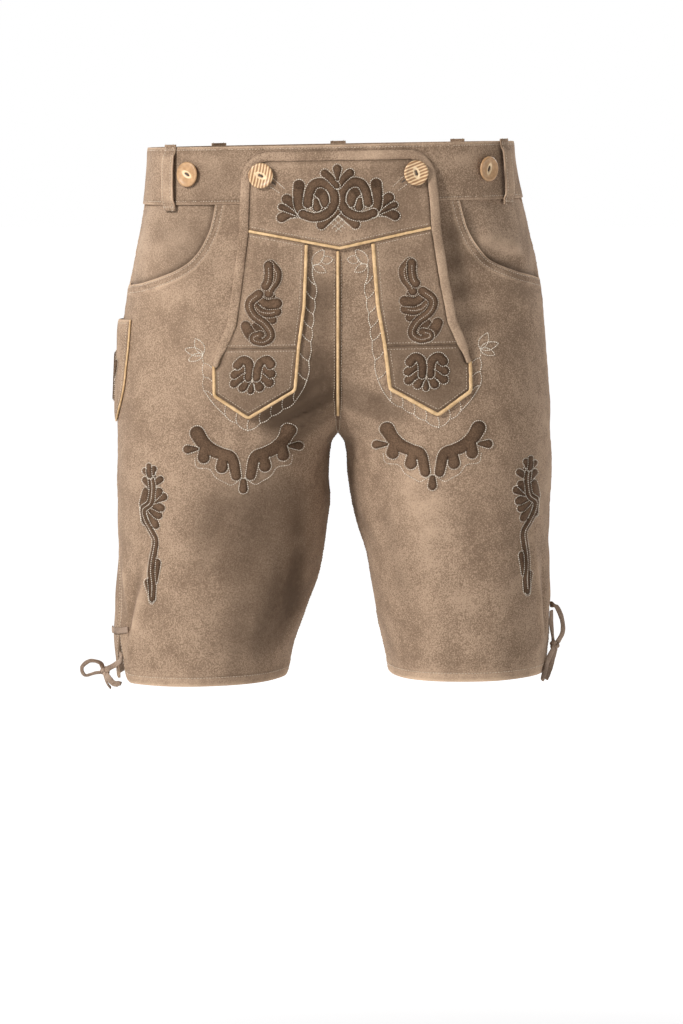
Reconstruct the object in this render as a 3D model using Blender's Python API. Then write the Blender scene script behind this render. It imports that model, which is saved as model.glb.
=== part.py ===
"""Short suede lederhosen in their worn shape: hollow, standing open at the waist and at both hems.

Frame: metres, +Z up, the front faces -Y, the wearer's left is +X. The origin is the centre of the
waist opening, where the wearer holds the garment up. Sizes below are in millimetres.
"""

import math
from collections import namedtuple

import bmesh
import bpy
import numpy as np
from mathutils import Vector
from mathutils.geometry import delaunay_2d_cdt

MM = 0.001
RIGHT, LEFT = -1, 1
SIDE_NAMES = {RIGHT: "right", LEFT: "left"}

# ---- Driving sizes ---------------------------------------------------------------------------
HIDE = 1.6  # one layer of suede
SEAM_GAP = 0.3  # between neighbouring pieces
BAND_TOP, BAND_BOTTOM = 0.0, -50.0
BAND_OUT, BAND_IN = 1.2, -1.4  # the doubled waistband, proud of the panels on both faces
PANEL_TOP = BAND_BOTTOM - SEAM_GAP
CROTCH = -258.0
HEM = -474.0
SLIT_TOP = HEM + 58.0
SLIT_OPEN = 7.0  # how far each edge of the side slit has swung open at the hem
HEM_CORNER = 15.0  # radius of the rounded hem corners at the slit
HIP_TILT = 0.018  # the wearer's left hip stands a little higher
FORK_HEIGHT, FORK_POWER = 105.0, 2.2  # how the crotch seam curves up to the flat front and seat

# One row for each level: half width on each side, and depth before and behind the side seam.
Level = namedtuple("Level", "z right left front back")
BODY = [
    Level(-484, 197, 185, 95, 98),
    Level(-455, 202, 189, 96, 99),
    Level(-430, 202, 190, 97, 100),
    Level(-404, 201, 190, 98, 101),
    Level(-375, 198, 189, 99, 103),
    Level(-345, 197, 189, 101, 105),
    Level(-316, 199, 191, 103, 108),
    Level(-285, 198, 192, 104, 112),
    Level(-258, 198, 191, 105, 116),
    Level(-230, 197.5, 190, 106, 122),
    Level(-200, 197, 187, 107, 129),
    Level(-170, 195, 185, 108, 134),
    Level(-140, 190, 183, 110, 135),
    Level(-110, 185, 178, 112, 133),
    Level(-80, 179, 171, 114, 128),
    Level(-54, 173, 165, 115, 122),
    Level(-28, 171, 159, 114, 116),
    Level(0, 169, 156, 113, 111),
    Level(8, 168.5, 155, 113, 110),
]
# Distance of each inseam from the middle plane, from the crotch down to the hem.
Inseam = namedtuple("Inseam", "z right left")
INSEAMS = [
    Inseam(-484, 48, 48),
    Inseam(-470, 44.5, 45.5),
    Inseam(-448, 40, 41.5),
    Inseam(-426, 32, 36.5),
    Inseam(-404, 24, 32),
    Inseam(-382, 17.5, 28),
    Inseam(-360, 13, 23),
    Inseam(-338, 10, 17),
    Inseam(-316, 8, 12.5),
    Inseam(-295, 9, 9),
    Inseam(-273, 7, 7),
    Inseam(-264, 4.5, 4.5),
    Inseam(-258, 0, 0),
]
# The side seam is turned forward near the hem: how far, along the cloth.
SeamTurn = namedtuple("SeamTurn", "z right left")
SEAM_TURNS = [
    SeamTurn(-484, 43, 5),
    SeamTurn(-440, 43, 4),
    SeamTurn(-405, 42, 3),
    SeamTurn(-375, 30, 1.5),
    SeamTurn(-340, 11, 0),
    SeamTurn(-310, 1, 0),
    SeamTurn(-280, 0, 0),
    SeamTurn(8, 0, 0),
]
# Large soft folds: each runs from one point of the cloth to another and dies out over its width.
# A positive depth stands out from the cloth, a negative one sinks into it.
Fold = namedtuple("Fold", "name start end width depth")
FOLDS = [
    Fold("right groin", (-14, -100, -216), (-72, -108, -247), 11, -4.5),
    Fold("right groin lip", (-20, -100, -234), (-80, -106, -262), 12, 2.0),
    Fold("left groin", (20, -100, -222), (66, -106, -243), 9, -2.0),
    Fold("left pocket roll", (118, -92, -84), (168, -52, -98), 9, 2.5),
    Fold("left pocket dip", (122, -90, -101), (170, -50, -110), 7, -2.5),
    Fold("right pocket roll", (-122, -92, -78), (-172, -54, -90), 11, 1.8),
    Fold("left slit pull", (180, -52, -366), (188, -34, -440), 8, -3.0),
    Fold("left slit ridge", (190, -26, -356), (192, -18, -420), 7, 2.0),
    Fold("right slit ridge", (-166, -78, -378), (-192, -44, -432), 8, 2.8),
    Fold("right slit dip", (-184, -54, -372), (-198, -26, -414), 8, -2.0),
    Fold("right inner thigh", (-34, -70, -290), (-44, -80, -420), 13, -2.5),
    Fold("left inner thigh", (34, -66, -300), (58, -80, -400), 12, -1.8),
    Fold("right seat", (-26, 116, -236), (-110, 112, -268), 13, -4.0),
    Fold("left seat", (26, 116, -232), (104, 112, -262), 12, -3.5),
    Fold("right seat lip", (-40, 112, -258), (-120, 104, -290), 14, 2.2),
    Fold("left seat lip", (40, 112, -254), (116, 104, -284), 13, 2.0),
    Fold("right back thigh", (-70, 106, -300), (-120, 100, -390), 13, -2.2),
    Fold("left back thigh", (80, 106, -310), (112, 100, -400), 12, -1.8),
]

# Scooped front pockets: how far the cut edge runs in front of the side line, along the cloth.
ScoopPoint = namedtuple("ScoopPoint", "z right left")
SCOOP = [
    ScoopPoint(-122.5, 0, 0),
    ScoopPoint(-122.0, 14, 11),
    ScoopPoint(-121.2, 28, 21),
    ScoopPoint(-120.4, 40, 30),
    ScoopPoint(-119.3, 52, 39),
    ScoopPoint(-117.0, 64, 53),
    ScoopPoint(-114.0, 76, 67),
    ScoopPoint(-108.0, 94, 86),
    ScoopPoint(-100.0, 108, 100),
    ScoopPoint(-88.0, 118, 110.5),
    ScoopPoint(-74.0, 123.5, 116),
    ScoopPoint(-62.0, 125, 117.5),
    ScoopPoint(-50.0, 125.5, 118),
]
FACING_UNDERLAP = 9.0
FACING_SINK = 2.3  # how far the facing lies under the front panel

# ---- Flap ------------------------------------------------------------------------------------
FLAP_TOP = -5.0
FLAP_CORNER = 25.0
BINDING_WIDTH, BINDING_HEIGHT = 8.5, 3.4
YOKE_SIDE, YOKE_APEX = -73.5, -89.5  # the V seam at the flap's edge and at its middle
STRIP_SEAM = -176.0  # cross seam between the flap's strip and its pointed end
POINT_TIP = (83.0, -237.0)
POINT_OUTER, POINT_INNER = (112.0, -217.0), (42.0, -213.5)
FLAP_SWAY = 4.5  # the tips lie this much nearer the wearer's left than the flap's top
FlapEdge = namedtuple("FlapEdge", "z half_width")
FLAP_EDGES = [
    FlapEdge(-192, 111.5),
    FlapEdge(-183, 109),
    FlapEdge(-173, 105),
    FlapEdge(-155, 99),
    FlapEdge(-124, 93.5),
    FlapEdge(-75, 86.5),
    FlapEdge(-46, 85),
    FlapEdge(-30, 84),
    FlapEdge(-5, 83),
]
StripEdge = namedtuple("StripEdge", "z across")
STRIP_EDGES = [StripEdge(-214, 42), StripEdge(-174, 37.5), StripEdge(-140, 32), StripEdge(-84, 28.5)]
BINDING_END = -187.0
FLAP_LIFT_HIGH, FLAP_LIFT_LOW = 2.3, 0.7  # clearance of the flap over the panels, top and bottom
SIDE_LIFT = {RIGHT: 1.5, LEFT: 4.5}  # how far each free edge of the flap stands off
PIPING_RADIUS = 1.1

# ---- Small pieces ----------------------------------------------------------------------------
FLAP_BUTTON = (66.0, -25.5)
BRACE_BUTTON = (129.5, -23.5)
BACK_BUTTON_ACROSS, BACK_BUTTON_Z = 62.0, -25.0
LOOP_WIDTH, LOOP_STAND = 14.0, 3.4
LOOP_FRONT_ACROSS, LOOP_BACK_ACROSS = 146.0, 108.0
THONG = 3.6  # thickness of the lacing thong

# ---- Finishes --------------------------------------------------------------------------------
Finish = namedtuple("Finish", "name colour roughness")
SUEDE = Finish("suede", (0.40, 0.28, 0.19), 0.95)
FACING_SUEDE = Finish("facing_suede", (0.36, 0.25, 0.17), 0.95)
PIPING_LEATHER = Finish("piping_leather", (0.72, 0.44, 0.17), 0.6)
DARK_SUEDE = Finish("motif_suede", (0.12, 0.07, 0.045), 0.95)
HORN = Finish("horn", (0.62, 0.38, 0.18), 0.45)
THONG_LEATHER = Finish("thong_leather", (0.30, 0.20, 0.13), 0.8)


def clear_scene():
    """Remove whatever the scene holds."""
    for obj in list(bpy.data.objects):
        bpy.data.objects.remove(obj, do_unlink=True)


def material(finish):
    """The Principled material for a finish, made once."""
    found = bpy.data.materials.get(finish.name)
    if found:
        return found
    made = bpy.data.materials.new(finish.name)
    made.use_nodes = True
    shader = made.node_tree.nodes["Principled BSDF"]
    shader.inputs["Base Color"].default_value = (*finish.colour, 1.0)
    shader.inputs["Roughness"].default_value = finish.roughness
    shader.inputs["Metallic"].default_value = 0.0
    return made


def tilted(point):
    """A point in millimetres as metres, with the hip tilt put in."""
    x, y, z = point
    return Vector((x * MM, y * MM, (z + HIP_TILT * x) * MM))


# ---- The worn surface ------------------------------------------------------------------------
def smooth_value(rows, column, z):
    """A table's column at height z, on a smooth curve through its rows."""
    heights = np.array([row.z for row in rows], float)
    values = np.array([getattr(row, column) for row in rows], float)
    slopes = np.gradient(values, heights)
    z = min(max(z, heights[0]), heights[-1])
    i = int(np.clip(np.searchsorted(heights, z) - 1, 0, len(heights) - 2))
    step = heights[i + 1] - heights[i]
    u = (z - heights[i]) / step
    start = (2 * u**3 - 3 * u**2 + 1) * values[i] + (u**3 - 2 * u**2 + u) * step * slopes[i]
    end = (-2 * u**3 + 3 * u**2) * values[i + 1] + (u**3 - u**2) * step * slopes[i + 1]
    return float(start + end)


def ease(u):
    """0 to 1, starting and ending gently."""
    u = min(1.0, max(0.0, u))
    return u * u * (3 - 2 * u)


Ring = namedtuple("Ring", "centre radius front back power")


def ring(side, z):
    """The rounded section of one leg; above the crotch it runs on past the middle plane."""
    half_width = smooth_value(BODY, SIDE_NAMES[side], z)
    power = 2.35 - 0.2 * min(1.0, max(0.0, (-100 - z) / 160))
    if z >= CROTCH:
        rise = min(1.0, (z - CROTCH) / FORK_HEIGHT)
        reach = (1 - (1 - rise) ** FORK_POWER) ** (1 / FORK_POWER)
        apart = max(0.0, 1 - reach**power) ** (1 / power)
        radius = half_width / (1 + apart)
        centre = apart * radius
    else:
        inner = smooth_value(INSEAMS, SIDE_NAMES[side], z)
        radius = (half_width - inner) / 2
        centre = (half_width + inner) / 2
    front = smooth_value(BODY, "front", z)
    back = smooth_value(BODY, "back", z)
    return Ring(centre, radius, front, back, power)


CURVE_STEPS = 64
LEVEL_STEP = 3.0  # between the levels at which the sections are worked out
EVENING = 13.0  # the cloth evens itself out over about this height, except at its inner edge


def table_value(rows, column, z):
    """A table's column at height z, on straight lines between its rows."""
    return float(np.interp(z, [row.z for row in rows], [getattr(row, column) for row in rows]))


def inner_turn(side, z):
    """Turn round the leg's ring at which a section ends: the inseam, or the middle seam above it."""
    r = ring(side, z)
    if z <= CROTCH:
        return -math.pi / 2
    across = min(1.0, (r.centre - SEAM_GAP / 2) / r.radius)
    if across <= -1:
        return -math.pi / 2
    depth = max(0.0, 1 - abs(across) ** r.power) ** (1 / r.power)
    return math.atan2(-across, depth)


def plain_section(side, face, z, reach, usual_reach):
    """Points of a section from its inner edge to the side line, before the cloth is evened out.

    The section reaches round the ring by the turn reach. Where that shortens quickly, at the crotch,
    the points crowd together near the inner edge, and the rest stay above one another.
    """
    r = ring(side, z)
    left = np.linspace(1, 0, CURVE_STEPS)
    turn = math.pi / 2 - usual_reach * left - (reach - usual_reach) * left**3
    s, c = np.sin(turn), np.cos(turn)
    scale = (np.abs(s) ** r.power + np.abs(c) ** r.power) ** (-1 / r.power)
    x = r.centre + r.radius * s * scale
    depth = r.front if face == "front" else r.back
    y = depth * c * scale * (-1 if face == "front" else 1)
    return np.stack([np.maximum(x, SEAM_GAP / 2) * side, y])


def evened(values, height):
    """Values at every level, averaged with their neighbours over about this height."""
    values = np.array(values, float)
    reach = int(2.5 * height / LEVEL_STEP)
    steps = np.arange(-reach, reach + 1)
    weights = np.exp(-0.5 * (steps * LEVEL_STEP / height) ** 2)
    padded = np.concatenate([values[:1].repeat(reach, 0), values, values[-1:].repeat(reach, 0)])
    parts = [w * padded[reach + k : reach + k + len(values)] for w, k in zip(weights, steps)]
    return sum(parts) / weights.sum()


LEVELS = np.arange(BODY[0].z, BODY[-1].z + LEVEL_STEP, LEVEL_STEP)


def even_sections(side, face):
    """The sections of one side of a leg at every level."""
    reaches = np.array([math.pi / 2 - inner_turn(side, z) for z in LEVELS])
    usual = evened(reaches, 2 * EVENING)
    plain = np.array([plain_section(side, face, *row) for row in zip(LEVELS, reaches, usual)])
    share = np.clip(np.linspace(0, 1, CURVE_STEPS) / 0.34, 0, 1)
    return plain + (evened(plain, EVENING) - plain) * share**2 * (3 - 2 * share)


def section_length(points):
    """Length along points given as rows of x and of y."""
    return np.concatenate([[0.0], np.cumsum(np.hypot(np.diff(points[0]), np.diff(points[1])))])


KINDS = [(side, face) for side in (RIGHT, LEFT) for face in ("front", "back")]
EVEN_SECTIONS = {kind: even_sections(*kind) for kind in KINDS}
USUAL_LENGTHS = {
    kind: evened([section_length(points)[-1] for points in EVEN_SECTIONS[kind]], 2 * EVENING)
    for kind in KINDS
}


def half_section(side, face, z):
    """Points of a section from its inner edge to the side line, and their arc lengths."""
    sections = EVEN_SECTIONS[side, face]
    z = min(max(z, LEVELS[0]), LEVELS[-1])
    i = int(np.clip(np.searchsorted(LEVELS, z) - 1, 0, len(LEVELS) - 2))
    u = (z - LEVELS[i]) / LEVEL_STEP
    x, y = sections[i] * (1 - u) + sections[i + 1] * u
    return x, y, section_length((x, y))


def fold_depth(point):
    """How far the folds move a point of the cloth outwards, in millimetres."""
    total = 0.0
    p = np.array(point, float)
    for fold in FOLDS:
        start, end = np.array(fold.start, float), np.array(fold.end, float)
        run = end - start
        along = float(np.clip((p - start) @ run / (run @ run), 0, 1))
        miss = float(np.linalg.norm(p - start - along * run))
        fade = ease(2.6 * along + 0.35) * ease(2.6 * (1 - along) + 0.35)
        total += fold.depth * fade * math.exp(-((miss / fold.width) ** 2))
    return total * ease((BAND_BOTTOM - 4 - point[2]) / 18)


def skin(side, face, z, arc, lift=0.0):
    """A point of the cloth's outer face: arc is millimetres from the inner edge of the section.

    An arc longer than the half section runs on past the side line on to the other half.
    """
    x, y, length = half_section(side, face, z)
    if arc > length[-1]:
        other = "back" if face == "front" else "front"
        rest = arc - length[-1]
        return skin(side, other, z, arc_length(side, other, z) - rest, lift)
    arc = float(max(arc, 0))
    at = np.array([np.interp(arc, length, x), np.interp(arc, length, y)])
    before = np.array([np.interp(max(arc - 2, 0), length, v) for v in (x, y)])
    after = np.array([np.interp(min(arc + 2, length[-1]), length, v) for v in (x, y)])
    tangent = (after - before) / np.linalg.norm(after - before)
    out = np.array([tangent[1], -tangent[0]]) * side
    if face == "back":
        out = -out
    move = lift + fold_depth((at[0], at[1], z))
    return np.array([at[0] + out[0] * move, at[1] + out[1] * move, z])


def arc_length(side, face, z):
    """Length of a half section."""
    return half_section(side, face, z)[2][-1]


def arc_across(side, face, z, across):
    """Arc at which a half section is the given distance from the middle plane."""
    x, _, length = half_section(side, face, z)
    return float(np.interp(across, np.abs(x), length))


def front_point(x, z, lift=0.0):
    """The point of the front's outer face straight behind (x, z)."""
    side = LEFT if x >= 0 else RIGHT
    return skin(side, "front", z, arc_across(side, "front", z, abs(x)), lift)


# ---- Solids from grids of points -------------------------------------------------------------
def add_object(name, vertices, faces, finish, smooth=True):
    """One closed, named solid from points in millimetres."""
    mesh = bpy.data.meshes.new(name)
    mesh.from_pydata([tilted(v) for v in vertices], [], faces)
    work = bmesh.new()
    work.from_mesh(mesh)
    bmesh.ops.recalc_face_normals(work, faces=work.faces)
    work.to_mesh(mesh)
    work.free()
    mesh.materials.append(material(finish))
    if smooth:
        mesh.shade_smooth()
        mesh.set_sharp_from_angle(angle=math.radians(40))
    obj = bpy.data.objects.new(name, mesh)
    bpy.context.scene.collection.objects.link(obj)
    return obj


def wall(name, outer, inner, finish):
    """A sheet with thickness: two grids of points, joined all round their rims."""
    outer, inner = np.array(outer, float), np.array(inner, float)
    rows, columns = outer.shape[:2]
    vertices = [*outer.reshape(-1, 3), *inner.reshape(-1, 3)]
    back = rows * columns
    faces = []
    for i in range(rows - 1):
        for j in range(columns - 1):
            a, b = i * columns + j, i * columns + j + 1
            c, d = a + columns, b + columns
            faces += [(a, b, d), (a, d, c)]
            faces += [(back + a, back + d, back + b), (back + a, back + c, back + d)]
    rim = [j for j in range(columns)]
    rim += [i * columns + columns - 1 for i in range(1, rows)]
    rim += [(rows - 1) * columns + j for j in range(columns - 2, -1, -1)]
    rim += [i * columns for i in range(rows - 2, 0, -1)]
    for a, b in zip(rim, rim[1:] + rim[:1]):
        faces += [(a, back + b, b), (a, back + a, back + b)]
    return add_object(name, vertices, faces, finish)


def tube(name, path, outward, half_width, half_height, sides, finish):
    """A closed bar of oval section along a path; outward gives the height direction at each point."""
    path, outward = np.array(path, float), np.array(outward, float)
    half_width = np.broadcast_to(np.asarray(half_width, float), len(path))
    vertices, faces = [], []
    for i, centre in enumerate(path):
        along = path[min(i + 1, len(path) - 1)] - path[max(i - 1, 0)]
        along /= np.linalg.norm(along)
        across = np.cross(along, outward[i])
        across /= np.linalg.norm(across)
        up = np.cross(across, along)
        for k in range(sides):
            turn = 2 * math.pi * (k + 0.5) / sides
            offset = across * math.cos(turn) * half_width[i] + up * math.sin(turn) * half_height
            vertices.append(centre + offset)
    for i in range(len(path) - 1):
        for k in range(sides):
            a, b = i * sides + k, i * sides + (k + 1) % sides
            faces += [(a, b, b + sides), (a, b + sides, a + sides)]
    faces.append(tuple(range(sides))[::-1])
    faces.append(tuple(range((len(path) - 1) * sides, len(path) * sides)))
    return add_object(name, vertices, faces, finish)


def rounded(points, radius, steps=4):
    """A flat path with its inner corners rounded by short arcs."""
    made = [np.array(points[0], float)]
    for before, corner, after in zip(points, points[1:], points[2:]):
        before, corner, after = (np.array(p, float) for p in (before, corner, after))
        back = (before - corner) / np.linalg.norm(before - corner)
        on = (after - corner) / np.linalg.norm(after - corner)
        for k in range(steps + 1):
            u = k / steps
            bend = (1 - u) ** 2 * back + u**2 * on
            made.append(corner + radius * bend)
    made.append(np.array(points[-1], float))
    return made


def subdivided(path, step):
    """The same path with points added where two lie further apart than step."""
    made = [np.array(path[0], float)]
    for point in path[1:]:
        start, point = made[-1], np.array(point, float)
        count = max(1, math.ceil(np.linalg.norm(point - start) / step))
        made += [start + (point - start) * k / count for k in range(1, count + 1)]
    return made


def resampled(path, step):
    """The same flat path with a point about every step millimetres."""
    path = np.array(path, float)
    length = np.concatenate([[0], np.cumsum(np.linalg.norm(np.diff(path, axis=0), axis=1))])
    count = max(2, int(round(length[-1] / step)) + 1)
    at = np.linspace(0, length[-1], count)
    return np.stack([np.interp(at, length, path[:, k]) for k in range(path.shape[1])], axis=1)


# ---- Panels ----------------------------------------------------------------------------------
LOWER_ROWS = [-474, -458, -442, -424, -404, -382, -360, -338, -316, -296, -278]
FORK_STEPS = (0, 0.24, 0.36, 0.48, 0.6, 0.72, 0.83, 0.92)  # depth shares along the crotch seam
FORK_RISES = [1 - (1 - step**FORK_POWER) ** (1 / FORK_POWER) for step in FORK_STEPS]
FORK_ROWS = [-265, *[CROTCH + FORK_HEIGHT * rise for rise in FORK_RISES], -182, -164, -147]
FRONT_TOP_ROWS = [-131, *[point.z for point in SCOOP[:-1]], PANEL_TOP]
BACK_TOP_ROWS = [-122.5, -104, -86, -68, PANEL_TOP]
COLUMNS = [0, 0.08, 0.19, 0.31, 0.43, 0.55, 0.67, 0.78, 0.88, 0.955, 1]


def scoop_ahead(side, z):
    """How far the pocket's cut edge lies in front of the side line at height z."""
    return table_value(SCOOP, SIDE_NAMES[side], z)


def scoop_height(side, ahead):
    """Height of the pocket's cut edge at a distance in front of the side line."""
    return float(np.interp(ahead, [getattr(p, SIDE_NAMES[side]) for p in SCOOP], [p.z for p in SCOOP]))


def panel_edge(side, face, z):
    """Arc at which a panel ends: at the side seam, the pocket scoop, or the open slit."""
    full = arc_length(side, face, z)
    if face == "front" and z > SCOOP[0].z:
        return full - SEAM_GAP / 2 - scoop_ahead(side, z)
    turn = table_value(SEAM_TURNS, SIDE_NAMES[side], z)
    seam = full - turn if face == "front" else full + turn
    return seam - SEAM_GAP / 2 - SLIT_OPEN * ease((SLIT_TOP - z) / (SLIT_TOP - HEM))


def hem_rise(z, from_edge):
    """How far the rounded corner at the slit lifts the cloth near the hem."""
    if from_edge >= HEM_CORNER or z > HEM + 40:
        return 0.0
    t = 1 - from_edge / HEM_CORNER
    full = HEM_CORNER * (1 - math.sqrt(max(0.0, 1 - t * t)))
    return full * (1 - (z - HEM) / 40)


def panel_arcs(side, face, z, shares):
    """Arcs of a panel's columns, at shares from its inner edge to its outer one.

    Below and above the crotch the columns stay over one another, as measured from the side line.
    """
    full = arc_length(side, face, z)
    start = SEAM_GAP / 2 if z <= CROTCH else 0.0
    usual = float(np.interp(z, LEVELS, USUAL_LENGTHS[side, face]))
    ahead = full - panel_edge(side, face, z)
    left = 1 - np.array(shares, float)
    return full - (ahead + (usual - ahead) * left + (full - start - usual) * left**3)


def panel(name, side, face, heights):
    """One leg panel, from the hem to the waistband."""
    outer, inner = [], []
    for z in heights:
        edge = panel_edge(side, face, z)
        row_out, row_in = [], []
        for arc in panel_arcs(side, face, z, COLUMNS):
            height = z + hem_rise(z, edge - arc)
            row_out.append(skin(side, face, height, arc))
            row_in.append(skin(side, face, height, arc, -HIDE))
        outer.append(row_out)
        inner.append(row_in)
    return wall(name, outer, inner, SUEDE)


def pocket_facing(side):
    """The piece that shows inside the scoop; it tucks under the front and rises to the side seam."""
    heights = [-130, -122.5, -116, -108, -99, -89, -77, -64, PANEL_TOP]
    outer, inner = [], []
    for z in heights:
        full = arc_length(side, "front", z) - SEAM_GAP
        reach = scoop_ahead(side, z + FACING_UNDERLAP) + FACING_UNDERLAP
        row_out, row_in = [], []
        for share in (1, 0.82, 0.64, 0.47, 0.31, 0.15, 0):
            ahead = reach * share
            arc = full - ahead
            clear = min(scoop_ahead(side, z) - ahead, z - scoop_height(side, ahead))
            depth = -(HIDE + FACING_SINK) + (HIDE + 1.6) * ease((clear - 3) / 26)
            row_out.append(skin(side, "front", z, arc, depth))
            row_in.append(skin(side, "front", z, arc, depth - HIDE))
        outer.append(row_out)
        inner.append(row_in)
    return wall(f"pocket_facing_{SIDE_NAMES[side]}", outer, inner, FACING_SUEDE)


def around(side, z, share, lift):
    """A point on half the waist: share runs from centre front (0) over the side seam to centre back (1)."""
    front = arc_length(side, "front", z)
    total = front + arc_length(side, "back", z)
    arc = share * total
    if arc <= front:
        return skin(side, "front", z, arc, lift)
    return skin(side, "back", z, total - arc, lift)


def waistband(side):
    """Half of the doubled waistband, from centre front to centre back."""
    shares = np.linspace(0, 1, 25)
    heights = [BAND_BOTTOM, (BAND_BOTTOM + BAND_TOP) / 2, BAND_TOP]
    outer = [[around(side, z, share, BAND_OUT) for share in shares] for z in heights]
    inner = [[around(side, z, share, BAND_IN) for share in shares] for z in heights]
    return wall(f"waistband_{SIDE_NAMES[side]}", outer, inner, SUEDE)


# ---- Flap ------------------------------------------------------------------------------------
def flap_half_width(z):
    """Half the bound flap's width at height z."""
    return table_value(FLAP_EDGES, "half_width", z)


def strip_inner_edge(z):
    """Distance of a strip's inner edge from the middle."""
    return table_value(STRIP_EDGES, "across", z)


def flap_point(x, z, lift):
    """A point over the front, with the flap's sway put in."""
    sway = FLAP_SWAY * (FLAP_TOP - z) / (FLAP_TOP - POINT_TIP[1])
    return front_point(x + sway, z, lift)


def yoke_seam(x):
    """Height of the V seam under the yoke."""
    return YOKE_APEX + (YOKE_SIDE - YOKE_APEX) * abs(x) / (flap_half_width(YOKE_SIDE) - BINDING_WIDTH)


def flap_lift(x, z):
    """Clearance between the flap's inner face and the panels at a point of the flap."""
    high = ease((z + 192) / 80)
    lift = FLAP_LIFT_LOW + (FLAP_LIFT_HIGH - FLAP_LIFT_LOW) * high
    side = LEFT if x >= 0 else RIGHT
    free = ease((z + 196) / 40) * ease((-16 - z) / 36)
    return lift + SIDE_LIFT[side] * free * ease((abs(x) - 48) / 46)


def flap_grid(points):
    """Outer and inner grids of a flap piece from a grid of (x, z) places."""
    outer = [[flap_point(x, z, flap_lift(x, z) + HIDE) for x, z in row] for row in points]
    inner = [[flap_point(x, z, flap_lift(x, z)) for x, z in row] for row in points]
    return outer, inner


def flap_yoke():
    """The top of the flap, above the V seam, with rounded upper corners."""
    clear = BINDING_WIDTH + SEAM_GAP
    corner = FLAP_CORNER - clear
    top = FLAP_TOP - clear
    places = []
    for v in np.linspace(0, 1, 8):
        row = []
        for u in [-1, -0.965, -0.87, -0.72, -0.5, -0.25, 0, 0.25, 0.5, 0.72, 0.87, 0.965, 1]:
            wide = flap_half_width(FLAP_TOP) - clear
            reach = max(0.0, abs(u) * wide - (wide - corner)) / corner
            upper = top - corner * (1 - math.sqrt(max(0.0, 1 - reach**2)))
            z = YOKE_SIDE
            for _ in range(4):
                x = u * (flap_half_width(z) - clear)
                low = yoke_seam(x) + PIPING_RADIUS + SEAM_GAP + 0.1
                z = upper + (low - upper) * v
            row.append((x, z))
        places.append(row)
    return wall("flap_yoke", *flap_grid(places), SUEDE)


def flap_strip(side):
    """The long embroidered strip under the yoke, down to its cross seam."""
    places = []
    for v in np.linspace(0, 1, 9):
        row = []
        for u in np.linspace(0, 1, 6):
            x, z = 60.0, -120.0
            for _ in range(6):
                inner = strip_inner_edge(z) + PIPING_RADIUS + SEAM_GAP
                outer = flap_half_width(z) - BINDING_WIDTH - SEAM_GAP
                x = inner + (outer - inner) * u
                upper = yoke_seam(x) - PIPING_RADIUS - SEAM_GAP
                z = upper + (STRIP_SEAM + SEAM_GAP / 2 - upper) * v
            row.append((side * x, z))
        places.append(row)
    return wall(f"flap_strip_{SIDE_NAMES[side]}", *flap_grid(places), SUEDE)


def strip_point(side):
    """The pointed lower end of a strip, sewn down on the leg."""
    clear = PIPING_RADIUS + SEAM_GAP
    tip_x, tip_z = POINT_TIP
    places = []
    for v in (0, 0.17, 0.345, 0.46, 0.62, 0.8, 1):
        row = []
        for u in (0, 0.2, 0.4, 0.585, 0.72, 0.86, 1):
            inner_z, outer_z = POINT_INNER[1], POINT_OUTER[1]
            slant = u / 0.585 if u < 0.585 else (1 - u) / 0.415
            low = (inner_z if u < 0.585 else outer_z) * (1 - slant) + tip_z * slant + clear * 1.35
            z = STRIP_SEAM - SEAM_GAP / 2 + (low - STRIP_SEAM) * v
            inner = strip_inner_edge(z) + clear
            bound = flap_half_width(z) - BINDING_WIDTH - SEAM_GAP
            outer = bound + (POINT_OUTER[0] - clear - bound) * ease((BINDING_END - 2.5 - z) / 5)
            row.append((side * (inner + (outer - inner) * u), z))
        places.append(row)
    return wall(f"strip_point_{SIDE_NAMES[side]}", *flap_grid(places), SUEDE)


def out_direction(x, z):
    """Which way the cloth faces at a point of the front."""
    way = flap_point(x, z, 5.0) - flap_point(x, z, 0.0)
    return way / np.linalg.norm(way)


def flap_binding():
    """The rolled binding round the flap's free edge, tapering where it is sewn down."""
    inset = BINDING_WIDTH / 2
    heights = (BINDING_END, -181, -170, -155, -140, -124, -100, -75, -46)
    half = [(flap_half_width(z) - inset, z) for z in heights]
    corner = FLAP_CORNER - inset
    middle = (flap_half_width(-30) - FLAP_CORNER, FLAP_TOP - FLAP_CORNER)
    for k in range(7):
        turn = math.pi / 2 * k / 6
        half.append((middle[0] + corner * math.cos(turn), middle[1] + corner * math.sin(turn)))
    top = [(x, FLAP_TOP - inset) for x in (40, 20, 0, -20, -40)]
    flat = [*half, *top, *[(-x, z) for x, z in half[::-1]]]
    path = [flap_point(x, z, flap_lift(x, z) + HIDE / 2 + 0.5) for x, z in flat]
    out = [out_direction(x, z) for x, z in flat]
    width = [inset * (0.62 + 0.38 * ease((z - BINDING_END) / 14)) for _, z in flat]
    return tube("flap_binding", path, out, width, BINDING_HEIGHT / 2, 8, SUEDE)


def piping(name, flat, lift):
    """A thin leather cord let into a seam, along a flat path of the front."""
    path = [flap_point(x, z, lift(x, z)) for x, z in flat]
    out = [out_direction(x, z) for x, z in flat]
    return tube(name, path, out, PIPING_RADIUS, PIPING_RADIUS, 6, PIPING_LEATHER)


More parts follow.
